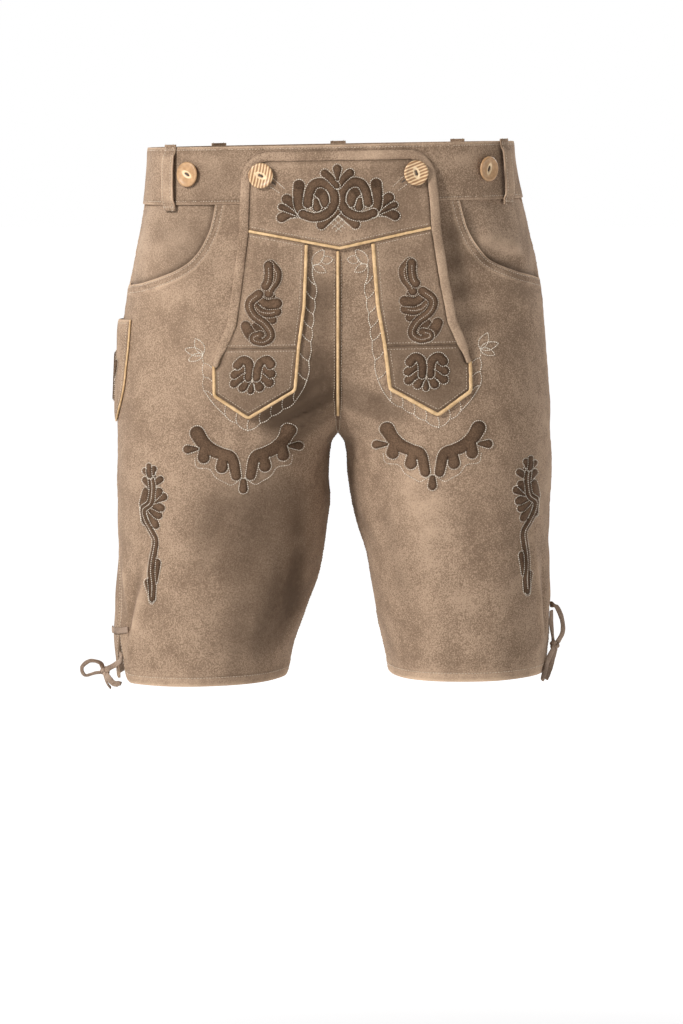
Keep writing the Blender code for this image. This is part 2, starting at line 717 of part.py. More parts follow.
def pipings():
    """Piping in the V seam, round both strips and down the middle seam."""
    side_x = flap_half_width(YOKE_SIDE) - BINDING_WIDTH - SEAM_GAP

    def on_flap(x, z):
        return flap_lift(x, z) + HIDE - 0.5

    vee = [(x, yoke_seam(x)) for x in np.linspace(-side_x, side_x, 21)]
    piping("piping_yoke", vee, on_flap)
    for side in (RIGHT, LEFT):
        inner = [(side * strip_inner_edge(z), z) for z in (-90, -105, -122, -140, -157, -174, -190, -204)]
        inner[0] = (inner[0][0], yoke_seam(strip_inner_edge(-88)) - 2 * PIPING_RADIUS - SEAM_GAP)
        corners = [inner[-1], (side * POINT_INNER[0], POINT_INNER[1]), (side * POINT_TIP[0], POINT_TIP[1])]
        corners += [(side * POINT_OUTER[0], POINT_OUTER[1]), (side * POINT_OUTER[0], -195.0)]
        lower = subdivided(rounded(corners, 2.2, 2), 12.0)
        piping(f"piping_strip_{SIDE_NAMES[side]}", [*inner[:-1], *[tuple(p) for p in lower]], on_flap)
    top = YOKE_APEX - 2 * PIPING_RADIUS - SEAM_GAP
    heights = [top, -110, -130, -150, -170, -188, -202, -214, -224, -232, -238]
    path = []
    for z in heights:
        clear = PIPING_RADIUS + SEAM_GAP + 1.4 * ease((-200 - z) / 20)
        path.append(front_point(SEAM_GAP, z, clear) * np.array([0, 1, 1]))
    out = [np.array([0, -1, 0])] * len(path)
    tube("piping_middle", path, out, PIPING_RADIUS, PIPING_RADIUS, 6, PIPING_LEATHER)


# ---- Buttons and belt loops ------------------------------------------------------------------
ButtonRing = namedtuple("ButtonRing", "radius height")
BUTTON_PROFILE = [  # foot, rim and dished face
    ButtonRing(2.6, 0.0),
    ButtonRing(2.6, 1.2),
    ButtonRing(8.8, 1.5),
    ButtonRing(11.0, 2.8),
    ButtonRing(9.4, 4.2),
    ButtonRing(5.0, 3.3),
]


def button(name, seat, out):
    """A turned horn button with its thread shank, seated on the leather."""
    spin_steps = 16
    seat, out = np.array(seat, float), np.array(out, float)
    across = np.cross(out, (0, 0, 1))
    across /= np.linalg.norm(across)
    up = np.cross(across, out)
    vertices, faces = [], []
    for radius, height in BUTTON_PROFILE:
        for k in range(spin_steps):
            turn = 2 * math.pi * k / spin_steps
            arm = across * math.cos(turn) + up * math.sin(turn)
            vertices.append(seat + arm * radius + out * height)
    for i in range(len(BUTTON_PROFILE) - 1):
        for k in range(spin_steps):
            a, b = i * spin_steps + k, i * spin_steps + (k + 1) % spin_steps
            faces.append((a, b, b + spin_steps, a + spin_steps))
    faces.append(tuple(range(spin_steps))[::-1])
    last = (len(BUTTON_PROFILE) - 1) * spin_steps
    faces.append(tuple(range(last, last + spin_steps)))
    return add_object(name, vertices, faces, HORN)


def buttons():
    """Two buttons hold the flap, two more and a pair behind take the braces."""
    for side in (RIGHT, LEFT):
        x, z = side * FLAP_BUTTON[0], FLAP_BUTTON[1]
        seat = flap_point(x, z, flap_lift(x, z) + HIDE + SEAM_GAP + 0.4)
        button(f"flap_button_{SIDE_NAMES[side]}", seat, out_direction(x, z))
        x, z = side * BRACE_BUTTON[0], BRACE_BUTTON[1]
        seat = front_point(x, z, BAND_OUT + SEAM_GAP + 0.1)
        button(f"brace_button_{SIDE_NAMES[side]}", seat, out_direction(x, z))
        arc = arc_across(side, "back", BACK_BUTTON_Z, BACK_BUTTON_ACROSS)
        seat = skin(side, "back", BACK_BUTTON_Z, arc, BAND_OUT + SEAM_GAP + 0.4)
        out = skin(side, "back", BACK_BUTTON_Z, arc, 5.0) - skin(side, "back", BACK_BUTTON_Z, arc)
        button(f"back_button_{SIDE_NAMES[side]}", seat, out / np.linalg.norm(out))


LoopRow = namedtuple("LoopRow", "z share")
LOOP_PROFILE = [  # flat ends, then bowed over the belt's way by a share of the full stand-off
    LoopRow(BAND_TOP + 2.5, 0.0),
    LoopRow(BAND_TOP - 4, 0.06),
    LoopRow(BAND_TOP - 8, 0.8),
    LoopRow(BAND_TOP - 16, 1.0),
    LoopRow(BAND_BOTTOM + 12, 1.0),
    LoopRow(BAND_BOTTOM + 4, 0.8),
    LoopRow(BAND_BOTTOM, 0.1),
    LoopRow(BAND_BOTTOM - 5, 0.0),
]


def belt_loop(name, place):
    """A belt loop; place(z, along, lift) gives a point beside its centre line."""
    base = BAND_OUT + SEAM_GAP + 0.1
    outer, inner = [], []
    for z, share in LOOP_PROFILE:
        lift = base + LOOP_STAND * share
        steps = [LOOP_WIDTH * w for w in (-0.5, 0, 0.5)]
        outer.append([place(z, along, lift + HIDE) for along in steps])
        inner.append([place(z, along, lift) for along in steps])
    return wall(name, outer, inner, SUEDE)


def belt_loops():
    """Five loops: two in front, two behind the sides and one at centre back."""
    for side in (RIGHT, LEFT):

        def in_front(z, along, lift, side=side):
            arc = arc_across(side, "front", -25, LOOP_FRONT_ACROSS) + along
            return skin(side, "front", z, arc, lift)

        def behind(z, along, lift, side=side):
            arc = arc_across(side, "back", -25, LOOP_BACK_ACROSS) + along
            return skin(side, "back", z, arc, lift)

        belt_loop(f"belt_loop_front_{SIDE_NAMES[side]}", in_front)
        belt_loop(f"belt_loop_back_{SIDE_NAMES[side]}", behind)

    def centre_back(z, along, lift):
        point = skin(LEFT, "back", z, abs(along), lift)
        point[0] = along
        return point

    belt_loop("belt_loop_centre_back", centre_back)


# ---- Appliqué --------------------------------------------------------------------------------
# Every motif is drawn flat: u is measured outwards from the middle of the motif or garment, z is up.
# Its strokes overlap, and together they make one padded piece. Widths are at the start and the end.
Stroke = namedtuple("Stroke", "name route width_start width_end")
MOTIF_PAD = 1.3  # thickness of the padding
MOTIF_GAP = 0.5

YOKE_MOTIF = [  # one half; the other mirrors it
    Stroke("bud", [(0, -39), (0.4, -30), (0, -17)], 7, 6),
    Stroke("bud side", [(1, -36), (5, -28), (12.5, -22.5)], 6, 6),
    Stroke("ring", [(26, -36), (19, -33), (10, -34.5), (2.7, -43), (4.5, -53), (14, -58)], 7, 7),
    Stroke("ring foot", [(4.5, -53), (14, -58), (28, -56), (50, -59)], 7, 7.5),
    Stroke("ring lobe", [(25, -56), (26.5, -46), (23, -37)], 6, 7),
    Stroke("heart", [(12, -57), (10, -49), (17, -41)], 5, 8),
    Stroke("tall leaf", [(31, -56), (35, -44), (33, -33)], 6, 8),
    Stroke("middle leaf", [(34, -57), (40, -49), (46, -44)], 5, 7),
    Stroke("low leaf", [(36, -58), (43, -54), (50, -52)], 5, 5),
    Stroke("roof", [(0, -58), (6, -62), (16.5, -68)], 6, 7),
]
STRIP_MOTIF = [  # wearer's right; mirrored on the left
    Stroke("hook", [(61, -101), (54.5, -106), (55, -116), (60, -124)], 7, 8),
    Stroke("upper bow", [(57, -122), (66, -125), (74, -134), (72.5, -145), (64, -154)], 7, 8),
    Stroke("lower bow", [(66, -150), (59, -158), (59, -168), (66, -173), (75, -170), (76, -161), (68, -160)], 8, 5),
    Stroke("tongue", [(73, -137), (63, -139), (53, -134)], 6, 8),
    Stroke("under tongue", [(72, -142), (62, -146), (55, -141)], 5, 5),
    Stroke("bud", [(75, -163), (81, -158), (83, -155)], 6, 5),
]
POINT_MOTIF = [  # one half, measured from its own middle
    Stroke("curl", [(0, -206), (2, -192), (8, -186.5), (16, -192)], 6, 7),
    Stroke("middle", [(0, -198), (0.3, -205), (0, -212)], 7, 7),
    Stroke("low lobe", [(1, -199), (6, -204), (11, -209)], 6, 7),
    Stroke("side lobe", [(2, -197), (10, -199), (18, -203)], 6, 7.5),
]
POINT_MOTIF_MIDDLE = 73.5
GARLAND = [  # one half, measured from its own middle
    Stroke("arm", [(42, -248), (37, -258), (26, -265), (14, -269), (8.5, -279), (6.5, -291)], 10, 6.5),
    Stroke("outer lobe", [(38, -258), (39, -267), (36, -274)], 6, 8),
    Stroke("middle lobe", [(25, -264), (22, -274), (19.5, -283)], 7, 8),
    Stroke("drop", [(0, -285), (0.3, -293), (0, -302)], 8, 7.5),
    Stroke("tie", [(8, -287), (4, -290), (0, -290)], 5, 5),
    Stroke("end leaf", [(38, -263), (46, -265), (53, -263)], 3.5, 5),
]
GARLAND_MIDDLE = 83.0
SIDE_MOTIF = [  # measured across from its own middle, outwards
    Stroke("stem", [(4, -318), (1, -334), (-4, -348), (-2, -364), (-1, -380), (2, -400)], 9, 5),
    Stroke("back", [(6, -296), (9, -308), (6, -322), (0, -332)], 6, 7),
    Stroke("top bud", [(4, -300), (4, -290), (5, -281)], 7, 6),
    Stroke("bud side", [(3, -298), (-3, -292), (-7, -287)], 6, 6),
    Stroke("upper feather", [(5, -312), (-3, -306), (-11, -300)], 6, 6.5),
    Stroke("middle feather", [(4, -320), (-5, -315), (-13, -310)], 6, 6.5),
    Stroke("lower feather", [(2, -328), (-5, -325), (-11, -321)], 5.5, 5.5),
    Stroke("low bud", [(-2, -366), (-7, -372), (-7, -379)], 4.5, 5),
]
SIDE_MOTIF_MIDDLE = {RIGHT: 162.0, LEFT: 165.5}
KNIFE_MOTIF = [  # u is measured from the side seam
    Stroke("stem", [(15, -222), (14, -208), (17, -196), (15, -184)], 5, 7),
    Stroke("leaf", [(15, -204), (22, -198), (27, -191)], 5, 6.5),
    Stroke("back leaf", [(15, -208), (9, -201), (7, -193)], 5, 6),
]


def spline(route, step):
    """Points about every step millimetres along a smooth curve through a route."""
    route = np.array(route, float)
    ends = np.vstack([2 * route[0] - route[1], route, 2 * route[-1] - route[-2]])
    made = []
    for i in range(1, len(ends) - 2):
        a, b, c, d = ends[i - 1 : i + 3]
        for t in np.linspace(0, 1, 12, endpoint=False):
            bend = 2 * b + (c - a) * t + (2 * a - 5 * b + 4 * c - d) * t**2
            made.append((bend + (3 * b - a - 3 * c + d) * t**3) / 2)
    return resampled([*made, route[-1]], step)


def stroke_quads(stroke, mirror):
    """A stroke as a flat strip of quads with pointed caps."""
    line = spline(stroke.route, 5.4) * np.array([mirror, 1])
    along = np.gradient(line, axis=0)
    along /= np.linalg.norm(along, axis=1)[:, None]
    across = np.stack([-along[:, 1], along[:, 0]], axis=1)
    wide = np.linspace(stroke.width_start, stroke.width_end, len(line)) / 2
    wide[0] *= 0.62
    wide[-1] *= 0.62
    left = line + across * wide[:, None]
    right = line - across * wide[:, None]
    quads = [[left[i], right[i], right[i + 1], left[i + 1]] for i in range(len(line) - 1)]
    return quads


def part_pinches(points, triangles):
    """Where two parts of a flat mesh meet in one point only, part them by a little."""
    points, triangles = list(points), [list(t) for t in triangles]
    for spot in range(len(points)):
        left = [t for t in triangles if spot in t]
        fans = []
        while left:
            fan, grown = [left.pop()], True
            while grown:
                near = [t for t in left if any(len(set(t) & set(other)) == 2 for other in fan)]
                near = [t for t in near if any(len(set(t) & set(o) - {spot}) == 1 for o in fan)]
                grown = bool(near)
                fan += near
                left = [t for t in left if t not in near]
            fans.append(fan)
        if len(fans) == 1:
            continue
        home = np.array(points[spot])
        for number, fan in enumerate(fans):
            middle = np.mean([np.mean([points[i] for i in t], axis=0) for t in fan], axis=0)
            way = (middle - home) / np.linalg.norm(middle - home)
            moved = tuple(home + way * 0.3)
            if number == 0:
                points[spot] = moved
                continue
            points.append(moved)
            for t in fan:
                t[t.index(spot)] = len(points) - 1
    return points, [tuple(t) for t in triangles]


def turn_between(points, before, corner, after):
    """Angle on the outside of a rim corner, from the edge ahead round to the edge behind."""
    back = np.subtract(points[before], points[corner])
    on = np.subtract(points[after], points[corner])
    return (math.atan2(on[1], on[0]) - math.atan2(back[1], back[0])) % (2 * math.pi)


def fill_notches(points, triangles, narrow=math.radians(38)):
    """Close cracks in the rim that are too narrow to cut or sew round."""
    triangles = list(triangles)
    while True:
        edges = {(a, b) for t in triangles for a, b in zip(t, [*t[1:], t[0]])}
        rim = {a: b for a, b in edges if (b, a) not in edges}
        cracks = []
        for before, corner in rim.items():
            gap = turn_between(points, before, corner, rim[corner])
            if min(gap, 2 * math.pi - gap) < narrow and interior_turn(points, triangles, corner) > math.pi:
                cracks.append((gap, before, corner, rim[corner]))
        if not cracks:
            return triangles
        _, before, corner, after = min(cracks)
        triangles.append((corner, before, after))


def interior_turn(points, triangles, corner):
    """Sum of the angles of the triangles that meet in a point."""
    total = 0.0
    for t in triangles:
        if corner in t:
            a, b = (np.subtract(points[i], points[corner]) for i in t if i != corner)
            cosine = a @ b / (np.linalg.norm(a) * np.linalg.norm(b))
            total += math.acos(max(-1.0, min(1.0, cosine)))
    return total


def flat_union(strokes, mirrors):
    """The strokes melted into one flat triangle mesh: its points, triangles and rim edges."""
    points, faces = [], []
    for stroke in strokes:
        for mirror in mirrors:
            for quad in stroke_quads(stroke, mirror):
                quad = quad if mirror > 0 else quad[::-1]
                faces.append(list(range(len(points), len(points) + 4)))
                points += [Vector(p) for p in quad]
    found = delaunay_2d_cdt(points, [], faces, 1, 0.45)
    corners, triangles, sources = found[0], found[2], found[5]
    kept = [t for t, source in zip(triangles, sources) if source]
    used = sorted({i for t in kept for i in t})
    number = {old: new for new, old in enumerate(used)}
    triangles = [tuple(number[i] for i in t) for t in kept]
    flat, triangles = part_pinches([tuple(corners[i]) for i in used], triangles)
    triangles = fill_notches(flat, triangles)
    edges = {(a, b) for t in triangles for a, b in zip(t, [*t[1:], t[0]])}
    return flat, triangles, [(a, b) for a, b in edges if (b, a) not in edges]


def applique(name, strokes, mirrors, place):
    """A padded motif; place(u, z, lift) gives the point over the cloth for a flat place."""
    flat, triangles, rim_edges = flat_union(strokes, mirrors)
    top = [place(u, z, MOTIF_GAP + MOTIF_PAD) for u, z in flat]
    bottom = [place(u, z, MOTIF_GAP) for u, z in flat]
    back = len(flat)
    faces = [*triangles, *[tuple(back + i for i in t[::-1]) for t in triangles]]
    for a, b in rim_edges:
        faces += [(b, a, back + a), (b, back + a, back + b)]
    return add_object(name, [*top, *bottom], faces, DARK_SUEDE)


def motifs():
    """All appliqué: on the flap's yoke and strips, their points, the legs and the outer thighs."""
    both = (1, -1)

    def over_flap(side, middle):
        def place(u, z, lift):
            x = side * (middle + u)
            return flap_point(x, z, flap_lift(x, z) + HIDE + lift)

        return place

    def over_leg(side, middle):
        return lambda u, z, lift: front_point(side * (middle + u), z, lift)

    applique("motif_yoke", YOKE_MOTIF, both, over_flap(RIGHT, 0))
    for side in (RIGHT, LEFT):
        name = SIDE_NAMES[side]
        applique(f"motif_strip_{name}", STRIP_MOTIF, (1,), over_flap(side, 0))
        applique(f"motif_point_{name}", POINT_MOTIF, both, over_flap(side, POINT_MOTIF_MIDDLE))
        applique(f"motif_garland_{name}", GARLAND, both, over_leg(side, GARLAND_MIDDLE))
        applique(f"motif_outer_leg_{name}", SIDE_MOTIF, (1,), over_leg(side, SIDE_MOTIF_MIDDLE[side]))


# ---- Knife pocket on the wearer's right ------------------------------------------------------
PouchEdge = namedtuple("PouchEdge", "z reach")  # how far the pouch reaches in front of the side seam
POUCH = [
    PouchEdge(-243, 13),
    PouchEdge(-239, 22),
    PouchEdge(-231, 32),
    PouchEdge(-219, 41),
    PouchEdge(-205, 45.5),
    PouchEdge(-185, 47.5),
    PouchEdge(-168, 46),
    PouchEdge(-152, 43),
]
POUCH_LIFT = 0.6  # clearance round the sewn edge; the mouth gapes more
POUCH_BACK = 1.5  # where the pouch meets the side seam


def pouch_point(u, z, lift):
    """A point over the knife pocket's place; u is measured forwards from the side seam."""
    reach = table_value(POUCH, "reach", z)
    inside = max(0.0, min(u - POUCH_BACK, reach - u)) / 18
    mouth = ease((z + 200) / 48)
    rise = POUCH_LIFT + (0.9 + 2.4 * mouth) * ease(inside)
    return skin(RIGHT, "front", z, arc_length(RIGHT, "front", z) - u, rise + lift)


def knife_pocket():
    """The narrow pouch let into the side seam, its piping and its small motif."""
    rows_out, rows_in = [], []
    clear = PIPING_RADIUS + SEAM_GAP
    for row in POUCH:
        z = row.z + clear if row.z == POUCH[0].z else row.z
        slope = table_value(POUCH, "reach", z + 1) - table_value(POUCH, "reach", z - 1)
        inset = clear * math.hypot(1, slope / 2) * 1.1
        places = np.linspace(POUCH_BACK, table_value(POUCH, "reach", z) - inset, 6)
        rows_out.append([pouch_point(u, z, HIDE) for u in places])
        rows_in.append([pouch_point(u, z, 0) for u in places])
    wall("knife_pocket", rows_out, rows_in, SUEDE)
    route = [(POUCH_BACK, POUCH[0].z), (POUCH[0].reach, POUCH[0].z), *[(p.reach, p.z) for p in POUCH[1:]]]
    flat = subdivided(route[1:], 14.0)
    path = [pouch_point(u, z, PIPING_RADIUS * 0.8) for u, z in flat]
    out = [pouch_point(u, z, 5) - pouch_point(u, z, 0) for u, z in flat]
    out = [way / np.linalg.norm(way) for way in out]
    tube("knife_pocket_piping", path, out, PIPING_RADIUS, PIPING_RADIUS, 6, PIPING_LEATHER)

    def place(u, z, lift):
        return pouch_point(u, z, HIDE + lift)

    applique("motif_knife_pocket", KNIFE_MOTIF, (1,), place)


# ---- Lacing at the hems ----------------------------------------------------------------------
def slit_point(side, ahead, z, lift):
    """A point over the cloth near the slit; ahead is measured forwards from the side line."""
    return skin(side, "front", z, arc_length(side, "front", z) - ahead, lift)


def thong(name, route):
    """A length of lacing thong along a smooth route."""
    path = spline(route, THONG * 2.2)
    curve = bpy.data.curves.new(name, "CURVE")
    curve.dimensions = "3D"
    curve.bevel_depth = THONG / 2 * MM
    curve.bevel_resolution = 2
    curve.use_fill_caps = True
    line = curve.splines.new("POLY")
    line.points.add(len(path) - 1)
    for spot, point in zip(line.points, path):
        spot.co = (*tilted(point), 1.0)
    curve.materials.append(material(THONG_LEATHER))
    obj = bpy.data.objects.new(name, curve)
    bpy.context.scene.collection.objects.link(obj)
    return obj


KnotSize = namedtuple("KnotSize", "across deep tall")
KNOT = KnotSize(4.6, 4.0, 4.2)


def knot(name, centre):
    """The pulled knot as one rounded lump."""
    work = bmesh.new()
    bmesh.ops.create_icosphere(work, subdivisions=2, radius=1.0)
    for vertex in work.verts:
        offset = Vector((vertex.co.x * KNOT.across, vertex.co.y * KNOT.deep, vertex.co.z * KNOT.tall))
        vertex.co = tilted(Vector(centre) + offset)
    mesh = bpy.data.meshes.new(name)
    work.to_mesh(mesh)
    work.free()
    mesh.materials.append(material(THONG_LEATHER))
    mesh.shade_smooth()
    obj = bpy.data.objects.new(name, mesh)
    bpy.context.scene.collection.objects.link(obj)
    return obj


def from_knot(centre, way):
    """A point just outside a knot, in the given direction."""
    way = np.array(way, float)
    way /= np.linalg.norm(way)
    reach = 1 / np.linalg.norm(way / np.array(KNOT))
    return np.array(centre, float) + way * (reach + 0.75)


def laces():
    """A cross tie and a bow on the right leg, a knotted loop on the left."""
    lift = THONG / 2 + 0.4
    over = ((57, -427), (42, -429), (20, -431), (-4, -432))
    cross = [slit_point(RIGHT, ahead, z, lift + 0.3) for ahead, z in over]
    thong("lace_right_cross", cross)
    bow = np.array([-209.0, -24.0, -467.5])
    start = [slit_point(RIGHT, ahead, z, lift - 0.6) for ahead, z in ((50, -449), (43, -457))]
    thong("lace_right_tie", [*start, from_knot(bow, (0.55, -0.7, 0.45))])
    loop = [(-215, -24, -458.5), (-225, -26, -457), (-232, -27, -463), (-230.5, -26, -472), (-220, -25, -471.5)]
    thong("lace_right_bow", [from_knot(bow, (-0.5, 0, 0.85)), *loop, from_knot(bow, (-1, 0, -0.25))])
    thong("lace_right_end", [from_knot(bow, (0.35, -0.5, -0.8)), (-201, -36, -477), (-194, -44, -475.5)])
    thong("lace_right_short_end", [from_knot(bow, (-0.1, 0.5, -0.85)), (-208, -16, -479), (-205, -12, -484)])
    knot("lace_right_knot", bow)
    tied = np.array([194.5, -19.0, -451.5])
    out_loop = [slit_point(LEFT, 8, -416, lift), (196.5, -14, -417), (202, -14, -428), (203.5, -14, -440)]
    thong("lace_left_loop", [*out_loop, from_knot(tied, (0.75, 0.3, 0.6))])
    inner = [slit_point(LEFT, 13, -421, lift), slit_point(LEFT, 12, -434, lift)]
    thong("lace_left_tie", [*inner, from_knot(tied, (-0.3, 0.4, 0.9))])
    end = [slit_point(LEFT, ahead, z, lift) for ahead, z in ((27, -464), (35, -471), (43, -480))]
    thong("lace_left_end", [from_knot(tied, (-0.3, -0.7, -0.65)), *end])
    thong("lace_left_back_end", [from_knot(tied, (0.2, 0.5, -0.85)), (192, -14, -468), (186.5, -20, -482)])
    knot("lace_left_knot", tied)


def main():
    """Build every piece."""
    clear_scene()
    for side in (RIGHT, LEFT):
        name = SIDE_NAMES[side]
        panel(f"front_{name}", side, "front", LOWER_ROWS + FORK_ROWS + FRONT_TOP_ROWS)
        panel(f"back_{name}", side, "back", LOWER_ROWS + FORK_ROWS + BACK_TOP_ROWS)
        pocket_facing(side)
        waistband(side)
        flap_strip(side)
        strip_point(side)
    flap_yoke()
    flap_binding()
    pipings()
    buttons()
    belt_loops()
    motifs()
    knife_pocket()
    laces()


main()
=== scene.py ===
# %% [markdown]
# # Suede lederhosen, dressed
# The garment stands in its worn shape, hollow, with nobody in it. The CAD model already fixes where
# every cut piece goes. This script gives each piece its real surface: thin suede that creases, padded
# motifs, stitches, piping, horn buttons and leather thongs. Sizes are written in millimetres and
# turned into metres at the last moment, because a maker thinks of leather in millimetres.

import math
from collections import namedtuple

import bpy
import numpy as np
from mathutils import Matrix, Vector


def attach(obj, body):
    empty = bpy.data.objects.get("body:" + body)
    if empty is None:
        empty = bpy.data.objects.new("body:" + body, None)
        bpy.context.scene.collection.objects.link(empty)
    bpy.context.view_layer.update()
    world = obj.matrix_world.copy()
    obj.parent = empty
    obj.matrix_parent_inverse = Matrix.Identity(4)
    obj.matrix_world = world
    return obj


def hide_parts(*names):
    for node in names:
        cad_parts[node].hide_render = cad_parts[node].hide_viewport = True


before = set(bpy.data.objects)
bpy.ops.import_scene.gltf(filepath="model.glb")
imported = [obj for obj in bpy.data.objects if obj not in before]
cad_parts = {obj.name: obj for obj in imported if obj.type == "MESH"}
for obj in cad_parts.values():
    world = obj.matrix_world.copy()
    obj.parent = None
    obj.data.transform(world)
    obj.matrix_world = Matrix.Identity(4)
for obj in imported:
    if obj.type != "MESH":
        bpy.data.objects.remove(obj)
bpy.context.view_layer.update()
MM = 0.001
RIGHT, LEFT = -1, 1  # the wearer's right is -X
SIDE_NAMES = {RIGHT: "right", LEFT: "left"}

# %% [markdown]
# ## Camera, floor and light
# The camera stands 4 m in front of the waist and looks slightly down, with a long lens, which keeps
# both legs the same size. The floor lies where a standing wearer's feet would be. Large soft lights
# give suede its dull, even look; small hard lights would make it shine.

# %% Camera
CAMERA_PLACE = Vector((0.00315, -4.0, 0.02))
CAMERA_AIM = Vector((0.00315, 0.0, -0.33))
camera_data = bpy.data.cameras.new("camera")
camera_data.sensor_fit = "VERTICAL"
camera_data.sensor_height = 36.0
camera_data.lens = 156.8


def scene_object(name, data):
    """An object with this mesh, camera or lamp, linked into the scene."""
    made = bpy.data.objects.new(name, data)
    bpy.context.scene.collection.objects.link(made)
    return made


camera = scene_object("camera", camera_data)
camera.location = CAMERA_PLACE
camera.rotation_euler = (CAMERA_AIM - CAMERA_PLACE).to_track_quat("-Z", "Y").to_euler()
bpy.context.scene.camera = camera
print("camera:", round((CAMERA_AIM - CAMERA_PLACE).length, 2), "m away")

# %% [markdown]
# ## A small language for materials
# Blender's shader nodes are a picture of arithmetic. Writing them as arithmetic is shorter and easier
# to read: a Wire is one value in the tree, and adding or multiplying two wires adds a Math node.

# %% Wires
def arithmetic(operation, turned=False):
    """An operator of a Wire that adds a Math node; turned puts the wire second."""

    def method(self, other):
        return self.maths(operation, *((other, self) if turned else (self, other)))

    return method


class Wire:
    """One value in a material's node tree; arithmetic on it adds Math nodes."""

    def __init__(self, finish, socket):
        self.finish, self.socket = finish, socket

    def maths(self, operation, *values):
        return self.finish.wire("ShaderNodeMath", {"operation": operation}, dict(enumerate(values)))

    __add__, __radd__ = arithmetic("ADD"), arithmetic("ADD", True)
    __sub__, __rsub__ = arithmetic("SUBTRACT"), arithmetic("SUBTRACT", True)
    __mul__, __rmul__ = arithmetic("MULTIPLY"), arithmetic("MULTIPLY", True)
    __truediv__, __rtruediv__ = arithmetic("DIVIDE"), arithmetic("DIVIDE", True)

    def sine(self):
        return self.maths("SINE", self)

    def between(self, low, high):
        """0 below low, 1 above high, and a smooth rise from one to the other."""
        settings = {"interpolation_type": "SMOOTHSTEP"}
        values = {"Value": self, "From Min": low, "From Max": high}
        return self.finish.wire("ShaderNodeMapRange", settings, values)


print("methods of a wire:", [name for name in vars(Wire) if not name.startswith("_")])


# %% [markdown]
# A Finish is one material under construction. Its methods give wires to read, such as a noise or a
# number kept on the mesh, and feed wires to the shader. The floor, below, gets the first one.

# %% Finishes
class Finish:
    """A Principled material under construction."""

    def __init__(self, name, **constants):
        self.material = bpy.data.materials.new(name)
        self.material.use_nodes = True
        self.tree = self.material.node_tree
        self.shader = self.tree.nodes["Principled BSDF"]
        for socket, value in constants.items():
            self.shader.inputs[socket.replace("_", " ").title()].default_value = value

    def plug(self, socket, value):
        """Set a socket, or link a wire to it."""
        if isinstance(value, Wire):
            self.tree.links.new(value.socket, socket)
        elif isinstance(value, tuple) and len(value) == 3 and socket.type == "RGBA":
            socket.default_value = (*value, 1.0)
        else:
            socket.default_value = value

    def wire(self, kind, settings, values, output=0):
        """The output of any node, with its settings made first and then its sockets."""
        node = self.tree.nodes.new(kind)
        for name, value in settings.items():
            setattr(node, name, value)
        for name, value in values.items():
            self.plug(node.inputs[name], value)
        return Wire(self, node.outputs[output])

    def place(self):
        """Object coordinates, in metres."""
        return self.wire("ShaderNodeTexCoord", {}, {}, "Object")

    def distance(self):
        """Distance from the object's own middle, in metres."""
        return self.wire("ShaderNodeVectorMath", {"operation": "LENGTH"}, {0: self.place()}, "Value")

    def attribute(self, name):
        """A number kept on the mesh's points."""
        return self.wire("ShaderNodeAttribute", {"attribute_name": name}, {}, "Fac")

    def noise(self, size, detail=2.0, roughness=0.5, stretch=(1.0, 1.0, 1.0)):
        """Cloudy noise whose patches are about size millimetres across."""
        place = self.wire("ShaderNodeVectorMath", {"operation": "MULTIPLY"}, {0: self.place(), 1: stretch})
        values = {"Vector": place, "Scale": 1 / (size * MM), "Detail": detail, "Roughness": roughness}
        return self.wire("ShaderNodeTexNoise", {}, values)

    def mix(self, share, first, second):
        """A colour between two colours."""
        return self.wire("ShaderNodeMix", {"data_type": "RGBA"}, {0: share, 6: first, 7: second}, 2)

    def feed(self, socket, value):
        """Link a wire to a socket of the shader."""
        self.plug(self.shader.inputs[socket], value)

    def bump(self, height, depth, strength):
        """Relief of the given depth in millimetres."""
        values = {"Height": height, "Distance": depth * MM, "Strength": strength}
        self.feed("Normal", self.wire("ShaderNodeBump", {}, values))


print("methods of a finish:", [name for name in vars(Finish) if not name.startswith("_")])

# %% [markdown]
# The floor is plain and pale. Far from the garment it glows a little, so that it runs into the white
# background without an edge.

# %% Floor
FLOOR_HEIGHT, FLOOR_REACH = -1.02, 40
GLOW_START, GLOW_RUN = 0.85, 1.9  # how far out the floor begins to glow, and over what distance
floor_finish = Finish("studio_floor", roughness=0.85, emission_strength=1.0)
floor_shade = floor_finish.mix(floor_finish.noise(900.0), (0.84, 0.84, 0.845), (0.87, 0.87, 0.87))
floor_finish.feed("Base Color", floor_shade)
far_out = ((floor_finish.distance() - GLOW_START) / GLOW_RUN).between(0.0, 1.0)
floor_finish.feed("Emission Color", floor_finish.mix(far_out, (0.0, 0.0, 0.0), (0.86, 0.86, 0.86)))
floor_mesh = bpy.data.meshes.new("studio_floor")
floor_corners = [(x * FLOOR_REACH, y * FLOOR_REACH, 0) for x, y in ((-1, -1), (1, -1), (1, 1), (-1, 1))]
floor_mesh.from_pydata(floor_corners, [], [(0, 1, 2, 3)])
floor_mesh.materials.append(floor_finish.material)
floor = scene_object("studio_floor", floor_mesh)
floor.location.z = FLOOR_HEIGHT
print("floor at", FLOOR_HEIGHT, "m")

